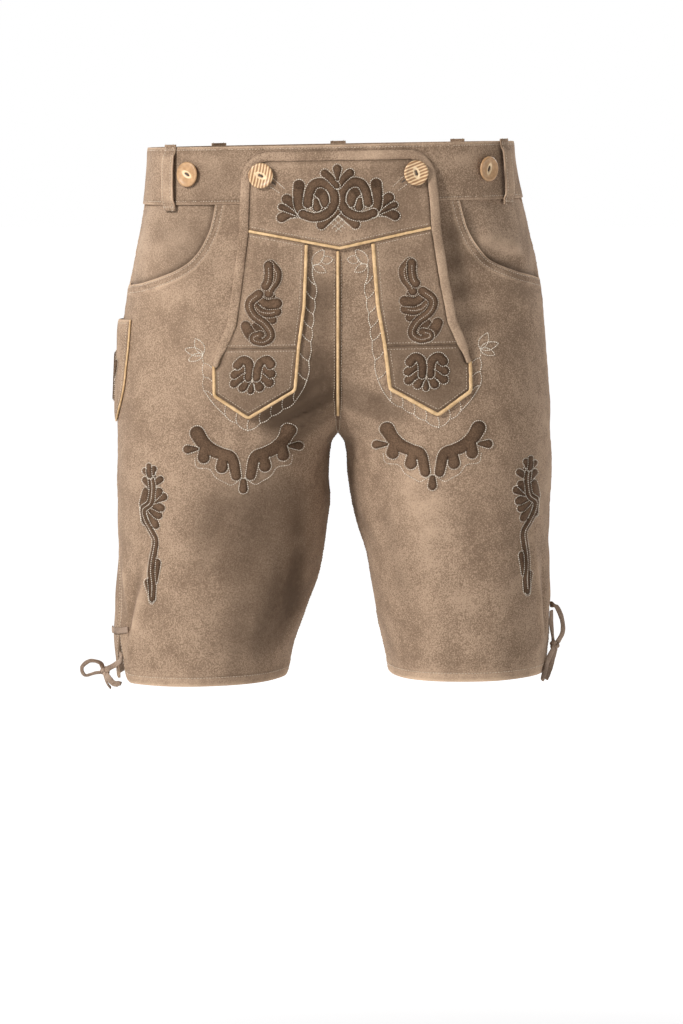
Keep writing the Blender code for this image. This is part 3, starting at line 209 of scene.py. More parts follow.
# %% Background
ROOM_LIGHT = 0.2  # soft light from every side
world = bpy.data.worlds.new("studio")
world.use_nodes = True
sky, link = world.node_tree.nodes, world.node_tree.links.new
room, backdrop = sky["Background"], sky.new("ShaderNodeBackground")
room.inputs["Color"].default_value = (1.0, 0.985, 0.97, 1.0)
room.inputs["Strength"].default_value = ROOM_LIGHT
backdrop.inputs["Color"].default_value = (1.0, 1.0, 1.0, 1.0)
seen, either = sky.new("ShaderNodeLightPath"), sky.new("ShaderNodeMixShader")
link(seen.outputs["Is Camera Ray"], either.inputs["Fac"])
link(room.outputs[0], either.inputs[1])
link(backdrop.outputs[0], either.inputs[2])
link(either.outputs[0], sky["World Output"].inputs["Surface"])
bpy.context.scene.world = world
bpy.context.scene.view_settings.view_transform = "Standard"  # white stays white
print("background light:", ROOM_LIGHT)

# %% Lights
Light = namedtuple("Light", "name place aim size watts")
LIGHTS = [
    Light("key", (-2.8, -2.7, 1.9), (0.0, 0.0, -0.25), 0.9, 195.0),
    Light("fill", (2.6, -2.2, 0.6), (0.0, 0.0, -0.25), 2.0, 11.0),
    Light("back left", (-2.0, 2.6, 0.9), (0.0, 0.0, -0.2), 1.6, 60.0),
    Light("back right", (2.4, 2.2, 0.9), (0.0, 0.0, -0.2), 1.6, 50.0),
]
for light in LIGHTS:
    lamp = bpy.data.lights.new(light.name, "AREA")
    lamp.shape = "DISK"
    lamp.size = light.size
    lamp.energy = light.watts
    lamp_object = scene_object(light.name, lamp)
    lamp_object.location = light.place
    way = Vector(light.aim) - Vector(light.place)
    lamp_object.rotation_euler = way.to_track_quat("-Z", "Y").to_euler()
print("lights:", [light.name for light in LIGHTS])

# %% [markdown]
# ## The worn surface
# Every piece lies on one surface: the outside of a pair of legs and hips in suede. It is described as
# a stack of rounded sections, one every few millimetres of height, each measured along the cloth from
# its inner edge to the side line. A place on the garment is then a height and a distance along the
# cloth, as a tailor would say it. The same tables shape the CAD solids, so the pieces stay on them.

# %% Sizes of the garment
HIDE = 1.6  # one layer of suede
SEAM_GAP = 0.3
SEWN_GAP = 0.06  # what is left open where two panels are sewn edge to edge
BAND_TOP, BAND_BOTTOM = 0.0, -50.0
BAND_OUT, BAND_IN = 1.2, -1.4
PANEL_TOP = BAND_BOTTOM - SEAM_GAP
CROTCH, HEM = -258.0, -474.0
SLIT_TOP = HEM + 58.0
SLIT_OPEN = 7.0
HEM_CORNER = 15.0
HIP_TILT = 0.018
FORK_HEIGHT, FORK_POWER = 105.0, 2.2
print("waistband to hem:", BAND_TOP - HEM, "mm")


# %% Tables of the body and the seams
def table(kind, columns, *rows):
    """Rows with named columns."""
    row = namedtuple(kind, columns)
    return [row(*values) for values in rows]


BODY = table(
    "Level",
    "z right left front back",
    (-484, 197, 185, 95, 98),
    (-455, 202, 189, 96, 99),
    (-430, 202, 190, 97, 100),
    (-404, 201, 190, 98, 101),
    (-375, 198, 189, 99, 103),
    (-345, 197, 189, 101, 105),
    (-316, 199, 191, 103, 108),
    (-285, 198, 192, 104, 112),
    (-258, 198, 191, 105, 116),
    (-230, 197.5, 190, 106, 122),
    (-200, 197, 187, 107, 129),
    (-170, 195, 185, 108, 134),
    (-140, 190, 183, 110, 135),
    (-110, 185, 178, 112, 133),
    (-80, 179, 171, 114, 128),
    (-54, 173, 165, 115, 122),
    (-28, 171, 159, 114, 116),
    (0, 169, 156, 113, 111),
    (8, 168.5, 155, 113, 110),
)
INSEAMS = table(
    "Inseam",
    "z right left",
    (-484, 48, 48),
    (-470, 44.5, 45.5),
    (-448, 40, 41.5),
    (-426, 32, 36.5),
    (-404, 24, 32),
    (-382, 17.5, 28),
    (-360, 13, 23),
    (-338, 10, 17),
    (-316, 8, 12.5),
    (-295, 9, 9),
    (-273, 7, 7),
    (-264, 4.5, 4.5),
    (-258, 0, 0),
)
SEAM_TURNS = table(
    "SeamTurn",
    "z right left",
    (-484, 43, 5),
    (-440, 43, 4),
    (-405, 42, 3),
    (-375, 30, 1.5),
    (-340, 11, 0),
    (-310, 1, 0),
    (-280, 0, 0),
    (8, 0, 0),
)
SCOOP = table(
    "ScoopPoint",
    "z right left",
    (-122.5, 0, 0),
    (-122.0, 14, 11),
    (-121.2, 28, 21),
    (-120.4, 40, 30),
    (-119.3, 52, 39),
    (-117.0, 64, 53),
    (-114.0, 76, 67),
    (-108.0, 94, 86),
    (-100.0, 108, 100),
    (-88.0, 118, 110.5),
    (-74.0, 123.5, 116),
    (-62.0, 125, 117.5),
    (-50.0, 125.5, 118),
)
FACING_UNDERLAP = 9.0
FACING_SINK = 2.3
print("widest level:", max(row.right + row.left for row in BODY), "mm")

# %% Reading the tables
def hump(distance, width):
    """1 at no distance, fading to nothing over about twice the width."""
    return np.exp(-((distance / width) ** 2))


def column(rows, name):
    """One column of a table."""
    return np.array([getattr(row, name) for row in rows], float)


def table_value(rows, name, z):
    """A table's column at heights z, on straight lines between its rows."""
    return np.interp(z, column(rows, "z"), column(rows, name))


def smooth_value(rows, name, z):
    """A table's column at heights z, on a smooth curve through its rows."""
    heights, values = column(rows, "z"), column(rows, name)
    slopes = np.gradient(values, heights)
    z = np.clip(z, heights[0], heights[-1])
    i = np.clip(np.searchsorted(heights, z) - 1, 0, len(heights) - 2)
    step = heights[i + 1] - heights[i]
    u = (z - heights[i]) / step
    start = (2 * u**3 - 3 * u**2 + 1) * values[i] + (u**3 - 2 * u**2 + u) * step * slopes[i]
    return start + (-2 * u**3 + 3 * u**2) * values[i + 1] + (u**3 - u**2) * step * slopes[i + 1]


def ease(u):
    """0 to 1, starting and ending gently."""
    u = np.clip(u, 0.0, 1.0)
    return u * u * (3 - 2 * u)


print("half width at the crotch:", float(smooth_value(BODY, "right", CROTCH)), "mm")


# %% [markdown]
# ### Sections of the legs
# Each section is a rounded oval. Below the crotch there is one for each leg. Above it the two ovals
# run into each other and are cut off at the middle seam, which curves up from the crotch to the flat
# front. The sections are then evened out up and down the leg, as cloth does by itself, everywhere
# but at the crotch seam.

# %% Sections
TURN_STEPS = 96
LEVEL_STEP = 1.5
EVENING = 13.0
LEVELS = np.arange(BODY[0].z, BODY[-1].z + LEVEL_STEP, LEVEL_STEP)
ARC_STEPS = 240
ACROSS_STEP = 0.5
ACROSS = np.arange(0.0, 206.0, ACROSS_STEP)
KINDS = [(side, face) for side in (RIGHT, LEFT) for face in ("front", "back")]
Ring = namedtuple("Ring", "centre radius front back power")


def ring(side, z):
    """The rounded section of one leg at one height."""
    half_width = float(smooth_value(BODY, SIDE_NAMES[side], z))
    power = 2.35 - 0.2 * min(1.0, max(0.0, (-100 - z) / 160))
    if z >= CROTCH:
        rise = min(1.0, (z - CROTCH) / FORK_HEIGHT)
        reach = (1 - (1 - rise) ** FORK_POWER) ** (1 / FORK_POWER)
        apart = max(0.0, 1 - reach**power) ** (1 / power)
        radius = half_width / (1 + apart)
        centre = apart * radius
    else:
        inner = float(smooth_value(INSEAMS, SIDE_NAMES[side], z))
        radius, centre = (half_width - inner) / 2, (half_width + inner) / 2
    front, back = (float(smooth_value(BODY, face, z)) for face in ("front", "back"))
    return Ring(centre, radius, front, back, power)


def inner_turn(side, z):
    """Turn round the leg's ring at which a section ends."""
    r = ring(side, z)
    across = min(1.0, (r.centre - SEWN_GAP / 2) / r.radius)
    if z <= CROTCH or across <= -1:
        return -math.pi / 2
    depth = max(0.0, 1 - abs(across) ** r.power) ** (1 / r.power)
    return math.atan2(-across, depth)


print("one leg at the hem:", [round(value, 1) for value in ring(RIGHT, HEM)])


# %% Points of a section
def plain_section(side, face, z, reach, usual_reach):
    """Points of a section from its inner edge to the side line."""
    r = ring(side, z)
    left = np.linspace(1, 0, TURN_STEPS)
    turn = math.pi / 2 - usual_reach * left - (reach - usual_reach) * left**3
    s, c = np.sin(turn), np.cos(turn)
    scale = (np.abs(s) ** r.power + np.abs(c) ** r.power) ** (-1 / r.power)
    x = r.centre + r.radius * s * scale
    y = getattr(r, face) * c * scale * (-1 if face == "front" else 1)
    return np.stack([np.maximum(x, SEWN_GAP / 2) * side, y])


def evened(values, height):
    """Values at every level, averaged with their neighbours over about this height."""
    values = np.array(values, float)
    reach = int(2.5 * height / LEVEL_STEP)
    steps = np.arange(-reach, reach + 1)
    weights = np.exp(-0.5 * (steps * LEVEL_STEP / height) ** 2)
    padded = np.concatenate([values[:1].repeat(reach, 0), values, values[-1:].repeat(reach, 0)])
    parts = [w * padded[reach + k : reach + k + len(values)] for w, k in zip(weights, steps)]
    return sum(parts) / weights.sum()


print("points on a section:", TURN_STEPS)

# %% The surface grids
SURFACE, LENGTHS, ARCS_ACROSS, USUAL_LENGTHS = {}, {}, {}, {}
for side, face in KINDS:
    reaches = np.array([math.pi / 2 - inner_turn(side, z) for z in LEVELS])
    usual = evened(reaches, 2 * EVENING)
    plain = np.array([plain_section(side, face, *row) for row in zip(LEVELS, reaches, usual)])
    share = ease(np.linspace(0, 1, TURN_STEPS) / 0.34)
    even = plain + (evened(plain, EVENING) - plain) * share
    length = np.cumsum(np.hypot(*np.diff(even, axis=2).transpose(1, 0, 2)), axis=1)
    length = np.concatenate([np.zeros((len(LEVELS), 1)), length], axis=1)
    shares = np.linspace(0, 1, ARC_STEPS)
    grid = np.empty((len(LEVELS), ARC_STEPS, 4))
    for i, arcs in enumerate(length):
        for k in range(2):
            grid[i, :, k] = np.interp(shares * arcs[-1], arcs, even[i, k])
    along = np.gradient(grid[:, :, :2], axis=1)
    along /= np.linalg.norm(along, axis=2)[:, :, None]
    flip = side * (-1 if face == "back" else 1)
    grid[:, :, 2], grid[:, :, 3] = along[:, :, 1] * flip, -along[:, :, 0] * flip
    SURFACE[side, face], LENGTHS[side, face] = grid, length[:, -1]
    inverse = [np.interp(ACROSS, np.abs(even[i, 0]), length[i]) for i in range(len(LEVELS))]
    ARCS_ACROSS[side, face] = np.array(inverse)
    USUAL_LENGTHS[side, face] = evened(length[:, -1], 2 * EVENING)
print("front section at the seat:", round(float(LENGTHS[RIGHT, "front"][200]), 1), "mm")

# %% [markdown]
# ### Folds and creases
# Worn suede keeps soft, uneven creases: deep ones where the thigh bends and shallow ones round the
# pockets, knees and seams. Each is a line on the cloth with a width and a depth. The large ones are
# in the CAD too; the fine ones below are this model's own. A slow, seeded unevenness lies under both,
# because no hide is perfectly smooth.

# %% Folds
FOLDS = table(
    "Fold",
    "start end width depth",
    # deep folds at the groins
    ((-14, -100, -216), (-72, -108, -247), 11, -4.5),
    ((-20, -100, -234), (-80, -106, -262), 12, 2.0),
    ((20, -100, -222), (66, -106, -243), 9, -2.0),
    # rolls over the pockets
    ((118, -92, -84), (168, -52, -98), 9, 3.3),
    ((122, -90, -101), (170, -50, -110), 7, -3.2),
    ((-122, -92, -78), (-172, -54, -90), 11, 1.8),
    # pulled by the laces of the slits
    ((183, -46, -366), (189, -32, -440), 5, -2.4),
    ((190, -26, -356), (192, -18, -420), 7, 2.0),
    ((-164, -80, -362), (-187, -60, -452), 5, 3.0),
    ((-178, -66, -366), (-185, -60, -436), 5, -2.4),
    # inner thighs
    ((-34, -70, -290), (-44, -80, -420), 13, -2.5),
    ((34, -66, -300), (58, -80, -400), 12, -1.8),
    # seat and backs of the thighs
    ((-26, 116, -236), (-110, 112, -268), 11, -2.6),
    ((26, 116, -232), (104, 112, -262), 10, -2.4),
    ((-40, 112, -258), (-120, 104, -290), 14, 2.2),
    ((40, 112, -254), (116, 104, -284), 13, 2.0),
    ((-70, 106, -300), (-120, 100, -390), 13, -1.6),
    ((80, 106, -310), (112, 100, -400), 12, -1.8),
    # finer creases at the groins
    ((-3, -100, -220), (-58, -104, -251), 5, -5.0),
    ((-6, -100, -211), (-50, -106, -235), 5, 2.2),
    ((-4, -90, -238), (-40, -104, -266), 4.5, -1.8),
    ((4, -100, -226), (44, -106, -244), 4, -1.6),
    ((4, -90, -242), (34, -104, -266), 4.5, -1.2),
    ((-10, -102, -206), (-52, -108, -226), 4, -1.5),
    ((-16, -96, -246), (-60, -104, -266), 5, -1.2),
    ((12, -102, -210), (46, -108, -230), 4, -1.0),
    ((14, -94, -250), (50, -102, -262), 5, -0.9),
    # beside the middle seam
    ((-8, -112, -150), (-22, -112, -196), 6, -0.8),
    ((12, -112, -158), (24, -112, -200), 6, -0.7),
    # hips, under the pockets
    ((-128, -86, -132), (-178, -50, -140), 8, 1.0),
    ((-118, -90, -150), (-176, -52, -162), 8, -1.0),
    ((126, -86, -134), (174, -48, -146), 8, 1.2),
    ((120, -90, -152), (172, -48, -166), 8, -1.0),
    ((132, -80, -182), (176, -44, -198), 9, -0.9),
    # front of the right thigh, down to the hem
    ((-120, -94, -262), (-172, -62, -300), 10, -0.9),
    ((-58, -104, -330), (-70, -104, -430), 12, 0.9),
    ((-100, -102, -300), (-126, -96, -372), 12, -0.8),
    ((-84, -98, -410), (-92, -96, -470), 10, -1.0),
    ((-122, -92, -420), (-128, -90, -474), 10, 0.9),
    ((-30, -50, -400), (-80, -96, -440), 11, -0.9),
    # front of the left thigh, down to the hem
    ((116, -94, -270), (168, -62, -304), 10, -0.9),
    ((74, -104, -322), (84, -102, -424), 12, 0.9),
    ((110, -98, -300), (132, -90, -380), 11, -0.9),
    ((96, -96, -412), (104, -94, -470), 10, -1.0),
    ((136, -86, -414), (142, -82, -470), 9, 0.8),
    # beside the slits
    ((173, -60, -358), (181, -46, -448), 4.5, 2.6),
    ((186, -40, -396), (188, -30, -446), 4, -1.4),
    ((-192, -42, -370), (-184, -62, -416), 4, 1.8),
    # side seams
    ((-190, -30, -300), (-196, -20, -352), 9, 1.0),
    ((184, -30, -300), (190, -16, -350), 9, 1.0),
    # inner knees and crotch
    ((-16, -20, -330), (-40, -62, -372), 8, -1.1),
    ((18, -20, -330), (44, -62, -368), 8, -1.1),
    ((-5, -40, -262), (-22, -70, -296), 5, -1.2),
    ((6, -40, -262), (24, -70, -296), 5, -1.2),
    # seat
    ((-14, 132, -150), (-60, 134, -182), 9, -1.0),
    ((14, 132, -146), (56, 134, -176), 9, -1.0),
    ((-22, 118, -218), (-84, 120, -240), 6, -1.3),
    ((22, 118, -214), (78, 120, -236), 6, -1.3),
    # backs of the knees
    ((-50, 104, -284), (-130, 96, -312), 8, -1.4),
    ((50, 104, -280), (124, 96, -306), 8, -1.3),
    ((-62, 100, -396), (-136, 90, -420), 9, -1.2),
    ((62, 100, -392), (130, 90, -416), 9, -1.2),
    # back hems and back hips
    ((-110, 98, -428), (-118, 96, -472), 9, 1.0),
    ((104, 98, -428), (112, 96, -472), 9, 1.0),
    ((-110, 112, -96), (-160, 70, -116), 9, -1.0),
    ((106, 112, -94), (154, 70, -112), 9, -1.0),
)
print("folds:", len(FOLDS))

# %% Depth of the folds
UNEVEN_SEED = 7
UNEVEN_WAVES, UNEVEN_DEPTH = 18, 0.13
uneven_random = np.random.default_rng(UNEVEN_SEED)
uneven_ways = uneven_random.normal(size=(UNEVEN_WAVES, 3))
uneven_ways /= np.linalg.norm(uneven_ways, axis=1)[:, None]
uneven_pitch = 2 * math.pi / uneven_random.uniform(26, 80, UNEVEN_WAVES)
uneven_start = uneven_random.uniform(0, 2 * math.pi, UNEVEN_WAVES)


def on_body(point):
    """A fold's end moved straight on to the body, unless it is too near the side line."""
    x, y, z = point
    side, face = (LEFT if x >= 0 else RIGHT), ("front" if y < 0 else "back")
    grid = SURFACE[side, face][int(np.clip((z - LEVELS[0]) / LEVEL_STEP, 0, len(LEVELS) - 1))]
    if abs(x) > 0.85 * abs(grid[-1, 0]):
        return point
    return (x, float(np.interp(abs(x), np.abs(grid[:, 0]), grid[:, 1])), z)


BODY_FOLDS = [f._replace(start=on_body(f.start), end=on_body(f.end)) for f in FOLDS]


def fold_depth(points):
    """How far the folds move points of the cloth outwards, in millimetres."""
    total = np.zeros(len(points))
    for fold in BODY_FOLDS:
        start, run = np.array(fold.start, float), np.subtract(fold.end, fold.start)
        along = np.clip((points - start) @ run / (run @ run), 0, 1)
        miss = np.linalg.norm(points - start - along[:, None] * run, axis=1)
        fade = ease(2.6 * along + 0.35) * ease(2.6 * (1 - along) + 0.35)
        total += fold.depth * fade * hump(miss, fold.width)
    for way, pitch, start in zip(uneven_ways, uneven_pitch, uneven_start):
        total += UNEVEN_DEPTH * np.sin(points @ way * pitch + start)
    return total * ease((BAND_BOTTOM - 4 - points[:, 2]) / 18)


print("deepest fold:", min(fold.depth for fold in FOLDS), "mm")

# %% [markdown]
# ### Places on the cloth
# Everything below asks one question: where is the point at this height, this far along the cloth and
# this far above it? The sections and the folds together give the answer.

# %% Places on the cloth
def between(grid, i, j, u, v):
    """A value between the four neighbours of a grid."""
    low = grid[i, j] * (1 - v) + grid[i, j + 1] * v
    return low * (1 - u) + (grid[i + 1, j] * (1 - v) + grid[i + 1, j + 1] * v) * u


def cloth(side, face, z, arc, lift=0.0):
    """Points lift millimetres outside the cloth, at heights z and distances arc along it.

    An arc longer than the section runs on past the side line on to the other face.
    """
    z, arc, lift = np.broadcast_arrays(*(np.asarray(v, float) for v in (z, arc, lift)))
    shape = z.shape
    z, arc, lift = z.ravel(), arc.ravel(), lift.ravel()
    level = np.clip((z - LEVELS[0]) / LEVEL_STEP, 0, len(LEVELS) - 1.001)
    i = level.astype(int)
    u = (level - i)[:, None]
    full = np.interp(z, LEVELS, LENGTHS[side, face])
    other = "back" if face == "front" else "front"
    other_full = np.interp(z, LEVELS, LENGTHS[side, other])
    found = np.empty((len(z), 4))
    for this, kind, way in ((arc <= full, face, arc), (arc > full, other, full + other_full - arc)):
        length = full if kind == face else other_full
        across = np.clip(way[this] / length[this], 0, 1) * (ARC_STEPS - 1)
        j = np.minimum(across.astype(int), ARC_STEPS - 2)
        found[this] = between(SURFACE[side, kind], i[this], j, u[this], (across - j)[:, None])
    points = np.column_stack([found[:, 0], found[:, 1], z])
    out = found[:, 2:] / np.linalg.norm(found[:, 2:], axis=1)[:, None]
    points[:, :2] += out * (lift + fold_depth(points))[:, None]
    return points.reshape(*shape, 3)


print("inner edge of the right hem:", cloth(RIGHT, "front", HEM, 0.0).round(1))


# %% Distances and directions on the cloth
def full_arc(side, face, z):
    """Length of the sections at heights z."""
    return np.interp(z, LEVELS, LENGTHS[side, face])


def arc_across(side, face, z, across):
    """Distance along the cloth at which it is the given distance from the middle plane."""
    z, across = np.broadcast_arrays(np.asarray(z, float), np.asarray(across, float))
    level = np.clip((z - LEVELS[0]) / LEVEL_STEP, 0, len(LEVELS) - 1.001)
    step = np.clip(across / ACROSS_STEP, 0, len(ACROSS) - 1.001)
    i, j = level.astype(int), step.astype(int)
    return between(ARCS_ACROSS[side, face], i, j, level - i, step - j)


def front_place(x, z, lift=0.0):
    """Points of the front's outer face straight behind (x, z)."""
    x, z, lift = np.broadcast_arrays(*(np.asarray(v, float) for v in (x, z, lift)))
    found = np.empty((*x.shape, 3))
    for side, here in ((LEFT, x >= 0), (RIGHT, x < 0)):
        arc = arc_across(side, "front", z[here], np.abs(x[here]))
        found[here] = cloth(side, "front", z[here], arc, lift[here])
    return found


def unit(vectors):
    """The same directions, one long."""
    return vectors / np.linalg.norm(vectors, axis=-1, keepdims=True)


def outward(place, *where):
    """Which way a surface faces, where place(*where, lift) gives its points."""
    return unit(place(*where, 5.0) - place(*where, 0.0))


print("centre front at the waist:", front_place(0.0, 0.0).round(1))

# %% [markdown]
# ### Making meshes
# A piece of suede is two grids of points, its outer and its inner face, joined round the rim into one
# closed skin. The rim gets a middle line that stands out a little, because a cut edge of suede is
# worn round. Each mesh may carry two numbers on its points: one makes the finish paler, for rubbed
# wear and as painted highlight, and the other makes it darker, for dirt and as painted shade.

# %% Making and settling a piece
SHARP_FROM = 48  # degrees between two faces from which their edge shows
RIM_WORN = 0.4  # how much paler a cut edge is


def tilted(points):
    """Millimetres to metres, with one hip a little higher."""
    points = np.array(points, float).reshape(-1, 3) * MM
    points[:, 2] += HIP_TILT * points[:, 0]
    return points


def add_piece(name, points, faces, finish, numbers):
    """One mesh object in the frame; its faces are turned outwards."""
    mesh = bpy.data.meshes.new(name)
    placed = tilted(points)
    mesh.from_pydata(placed.tolist(), [], [list(map(int, face)) for face in faces])
    mesh.calc_loop_triangles()
    corners = np.array([t.vertices[:] for t in mesh.loop_triangles])
    a, b, c = (placed[corners[:, k]] for k in range(3))
    if float((a * np.cross(b, c)).sum()) < 0:  # a closed shape's volume, taken from its faces
        mesh.flip_normals()
    for number, values in numbers.items():
        attribute = mesh.attributes.new(number, "FLOAT", "POINT")
        attribute.data.foreach_set("value", np.asarray(values, np.float32).ravel())
    mesh.shade_smooth()
    mesh.set_sharp_from_angle(angle=math.radians(SHARP_FROM))
    mesh.materials.append(finish.material)
    return scene_object(name, mesh)


def settle(piece, slot, *nodes):
    """A finished piece rides on the garment and hides the CAD nodes it stands for; slot is not used."""
    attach(piece, "root")
    if nodes:
        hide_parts(*nodes)
    return piece


print("up by", HIP_TILT, "mm for each mm to the left")


# %% Closed skins of suede
def grid_faces(rows, columns, first=0, close=False):
    """Quads of a grid of points; close joins the last column to the first."""
    i, j = np.meshgrid(np.arange(rows - 1), np.arange(columns - (not close)), indexing="ij")
    a = first + i * columns + j
    b = first + i * columns + (j + 1) % columns
    return np.stack([a, b, b + columns, a + columns], axis=-1).reshape(-1, 4)


def suede_shell(name, outer, inner, finish, numbers, edge_round=0.22):
    """A closed piece of suede from the grids of its two faces."""
    rows, columns = outer.shape[:2]
    count = rows * columns
    index = np.arange(count).reshape(rows, columns)
    rim = np.concatenate([index[0], index[1:, -1], index[-1, -2::-1], index[-2:0:-1, 0]])
    inside = np.pad(index[1:-1, 1:-1], 1, mode="edge").ravel()[rim]
    flat_outer, flat_inner = outer.reshape(-1, 3), inner.reshape(-1, 3)
    way = flat_outer[rim] - flat_outer[inside]
    way /= np.maximum(np.linalg.norm(way, axis=1), 1e-6)[:, None]
    middle = (flat_outer[rim] + flat_inner[rim]) / 2 + way * edge_round
    points = np.concatenate([flat_outer, flat_inner, middle])
    after = np.roll(np.arange(len(rim)), -1)
    step = 2 * count + np.arange(len(rim))
    faces = [
        grid_faces(rows, columns),
        grid_faces(rows, columns, count)[:, ::-1],
        np.stack([rim, step, step[after], rim[after]], axis=1),
        np.stack([step, rim + count, rim[after] + count, step[after]], axis=1),
    ]
    filled = {}
    for number, values in numbers.items():
        values = np.broadcast_to(values, (rows, columns)).ravel()
        on_rim = values[rim] * 0.5 + RIM_WORN * (number == "worn")
        filled[number] = np.concatenate([values, values * 0.5, on_rim])
    return add_piece(name, points, np.concatenate(faces), finish, filled)


print("faces of a grid of 3 by 3 points:", len(grid_faces(3, 3)))


# %% Bars along a path
def tube(name, path, outward, half_width, half_height, sides, finish, numbers=None, squareness=2.0):
    """A closed bar along a path; outward is the height direction at each point."""
    path, outward = np.array(path, float), np.array(outward, float)
    half_width = np.broadcast_to(np.asarray(half_width, float), len(path))
    half_height = np.broadcast_to(np.asarray(half_height, float), len(path))
    along = unit(np.gradient(path, axis=0))
    across = unit(np.cross(along, outward))
    up = np.cross(across, along)
    turn = 2 * math.pi * (np.arange(sides) + 0.5) / sides
    c, s = np.cos(turn), np.sin(turn)
    scale = (np.abs(c) ** squareness + np.abs(s) ** squareness) ** (-1 / squareness)
    c, s = c * scale, s * scale
    points = path[:, None] + across[:, None] * (half_width[:, None] * c)[:, :, None]
    points += up[:, None] * (half_height[:, None] * s)[:, :, None]
    faces = [*grid_faces(len(path), sides, close=True)]
    ends = []
    for row, way in ((0, -1), (len(path) - 1, 1)):
        ends.append(path[row] + along[row] * way * half_height[row] * 0.5)
        tip = len(path) * sides + len(ends) - 1
        corners = row * sides + np.arange(sides)
        pairs = zip(corners, np.roll(corners, -1))
        faces += [(b, a, tip) if way < 0 else (a, b, tip) for a, b in pairs]
    points = np.concatenate([points.reshape(-1, 3), ends])
    filled = {}
    for number, values in (numbers or {}).items():
        values = np.broadcast_to(np.asarray(values, float).reshape(len(path), -1), (len(path), sides))
        filled[number] = np.append(values.ravel(), [values[0, 0], values[-1, 0]])
    return add_piece(name, points, faces, finish, filled)


print("faces round a bar of 3 points and 8 sides:", len(grid_faces(3, 8, close=True)))


# %% Smooth paths
def spline(route, step):
    """Points about every step millimetres along a smooth curve through a route."""
    route = np.array(route, float)
    ends = np.vstack([2 * route[0] - route[1], route, 2 * route[-1] - route[-2]])
    made = []
    for a, b, c, d in zip(ends, ends[1:], ends[2:], ends[3:]):
        t = np.linspace(0, 1, 14, endpoint=False)[:, None]
        bend = 2 * b + (c - a) * t + (2 * a - 5 * b + 4 * c - d) * t**2
        made.append((bend + (3 * b - a - 3 * c + d) * t**3) / 2)
    return resampled(np.vstack([*made, route[-1:]]), step)


def resampled(path, step):
    """The same path with a point about every step millimetres."""
    path = np.array(path, float)
    length = np.concatenate([[0], np.cumsum(np.linalg.norm(np.diff(path, axis=0), axis=1))])
    count = max(2, int(round(length[-1] / step)) + 1)
    at = np.linspace(0, length[-1], count)
    return np.stack([np.interp(at, length, path[:, k]) for k in range(path.shape[1])], axis=1)


def path_length(path):
    """Length of a path in metres."""
    return float(np.linalg.norm(np.diff(path, axis=0), axis=1).sum()) * MM


print("a path of 30 mm has", len(resampled([(0, 0), (30, 0)], 1.1)), "points")


# %% [markdown]
# ## Suede
# Suede is leather with its flesh side brushed up into a short nap. It never shines, it is cloudy at
# every scale, and it goes pale where it rubs. Four sizes of noise make the clouds, two numbers from
# the mesh pale and darken it, and a fine bump is the nap. The pale one is rubbed wear and painted
# highlight on ridges and padding; the dark one is dirt and painted shade in folds, hollows and beside
# the flap. A constant sheen gives the soft light that the nap catches at glancing angles.

# %% Suede finishes
def suede(name, dark, mid, light, nap=0.5, cloud=0.5):
    """Brushed leather in three related colours."""
    finish = Finish(name, roughness=0.92, sheen_weight=0.1, sheen_roughness=0.55)
    finish.shader.inputs["Sheen Tint"].default_value = (*light, 1.0)
    finish.shader.inputs["Specular IOR Level"].default_value = 0.18
    patches = finish.noise(85.0, 2.0)
    clouds = finish.noise(23.0, 2.0, 0.5)
    mottle = finish.noise(5.2, 3.0, 0.6)
    grain = finish.noise(1.15, 2.0, 0.7)
    tone = patches * (1.5 * cloud) + clouds * 0.95 + mottle * 0.6 + grain * 2.9 - 2.15
    shade = finish.mix(tone.between(0.0, 1.0), dark, light)
    shade = finish.mix(0.3, shade, mid)
    # paler for rubbed wear, and as painted highlight on fold ridges and padded tops
    rubbed_and_lit = finish.attribute("worn") * (0.45 + clouds * 0.9)
    shade = finish.mix(rubbed_and_lit.between(0.0, 1.15), shade, tuple(1.3 * v for v in light))
    # darker for dirt, and as painted shade in folds, hollows and beside the flap
    soiled_and_shaded = finish.attribute("grimy") * (0.55 + mottle * 0.8)
    shade = finish.mix(soiled_and_shaded.between(0.0, 1.25), shade, tuple(0.62 * v for v in dark))
    finish.feed("Base Color", shade)
    finish.feed("Roughness", 0.86 + mottle * 0.12)
    hairs = finish.noise(0.55, 2.0, 0.8, (1.0, 1.0, 0.45))
    finish.bump(mottle * 0.5 + grain * 0.8 + hairs * 0.55, nap, 0.75)
    return finish


BODY_SUEDE = suede("body_suede", (0.15, 0.096, 0.061), (0.27, 0.182, 0.121), (0.44, 0.312, 0.215))
FACING_SUEDE = suede("facing_suede", (0.17, 0.111, 0.072), (0.29, 0.2, 0.135), (0.45, 0.322, 0.225))
MOTIF_SUEDE = suede("motif_suede", (0.044, 0.025, 0.014), (0.082, 0.047, 0.028), (0.158, 0.096, 0.058), 0.4)
THONG_SUEDE = suede("thong_suede", (0.15, 0.1, 0.07), (0.24, 0.168, 0.12), (0.35, 0.255, 0.19), 0.4)
print("nodes in a suede:", len(BODY_SUEDE.tree.nodes))

# %% [markdown]
# ### Leather piping, horn and thread
# Piping is a thin strip of smooth tanned leather folded over a cord, so it has a faint gloss and fine
# cross wrinkles. The buttons are cut from horn: the flap's pair shows the straight bands of a plate
# cut along the horn, the others are plain. Sewing thread is twisted, so its bump runs round it.

# %% Piping leather
piping_finish = Finish("piping_leather", roughness=0.52)
piping_tone = piping_finish.noise(9.0, 3.0) * 0.6 + piping_finish.noise(1.6, 2.0) * 0.4
piping_shade = piping_finish.mix(piping_tone.between(0.3, 0.7), (0.46, 0.285, 0.13), (0.72, 0.49, 0.262))
piping_finish.feed("Base Color", piping_shade)
piping_finish.feed("Roughness", 0.42 + piping_tone * 0.25)
piping_finish.bump(piping_finish.noise(0.9, 3.0), 0.12, 0.6)
print("piping nodes:", len(piping_finish.tree.nodes))

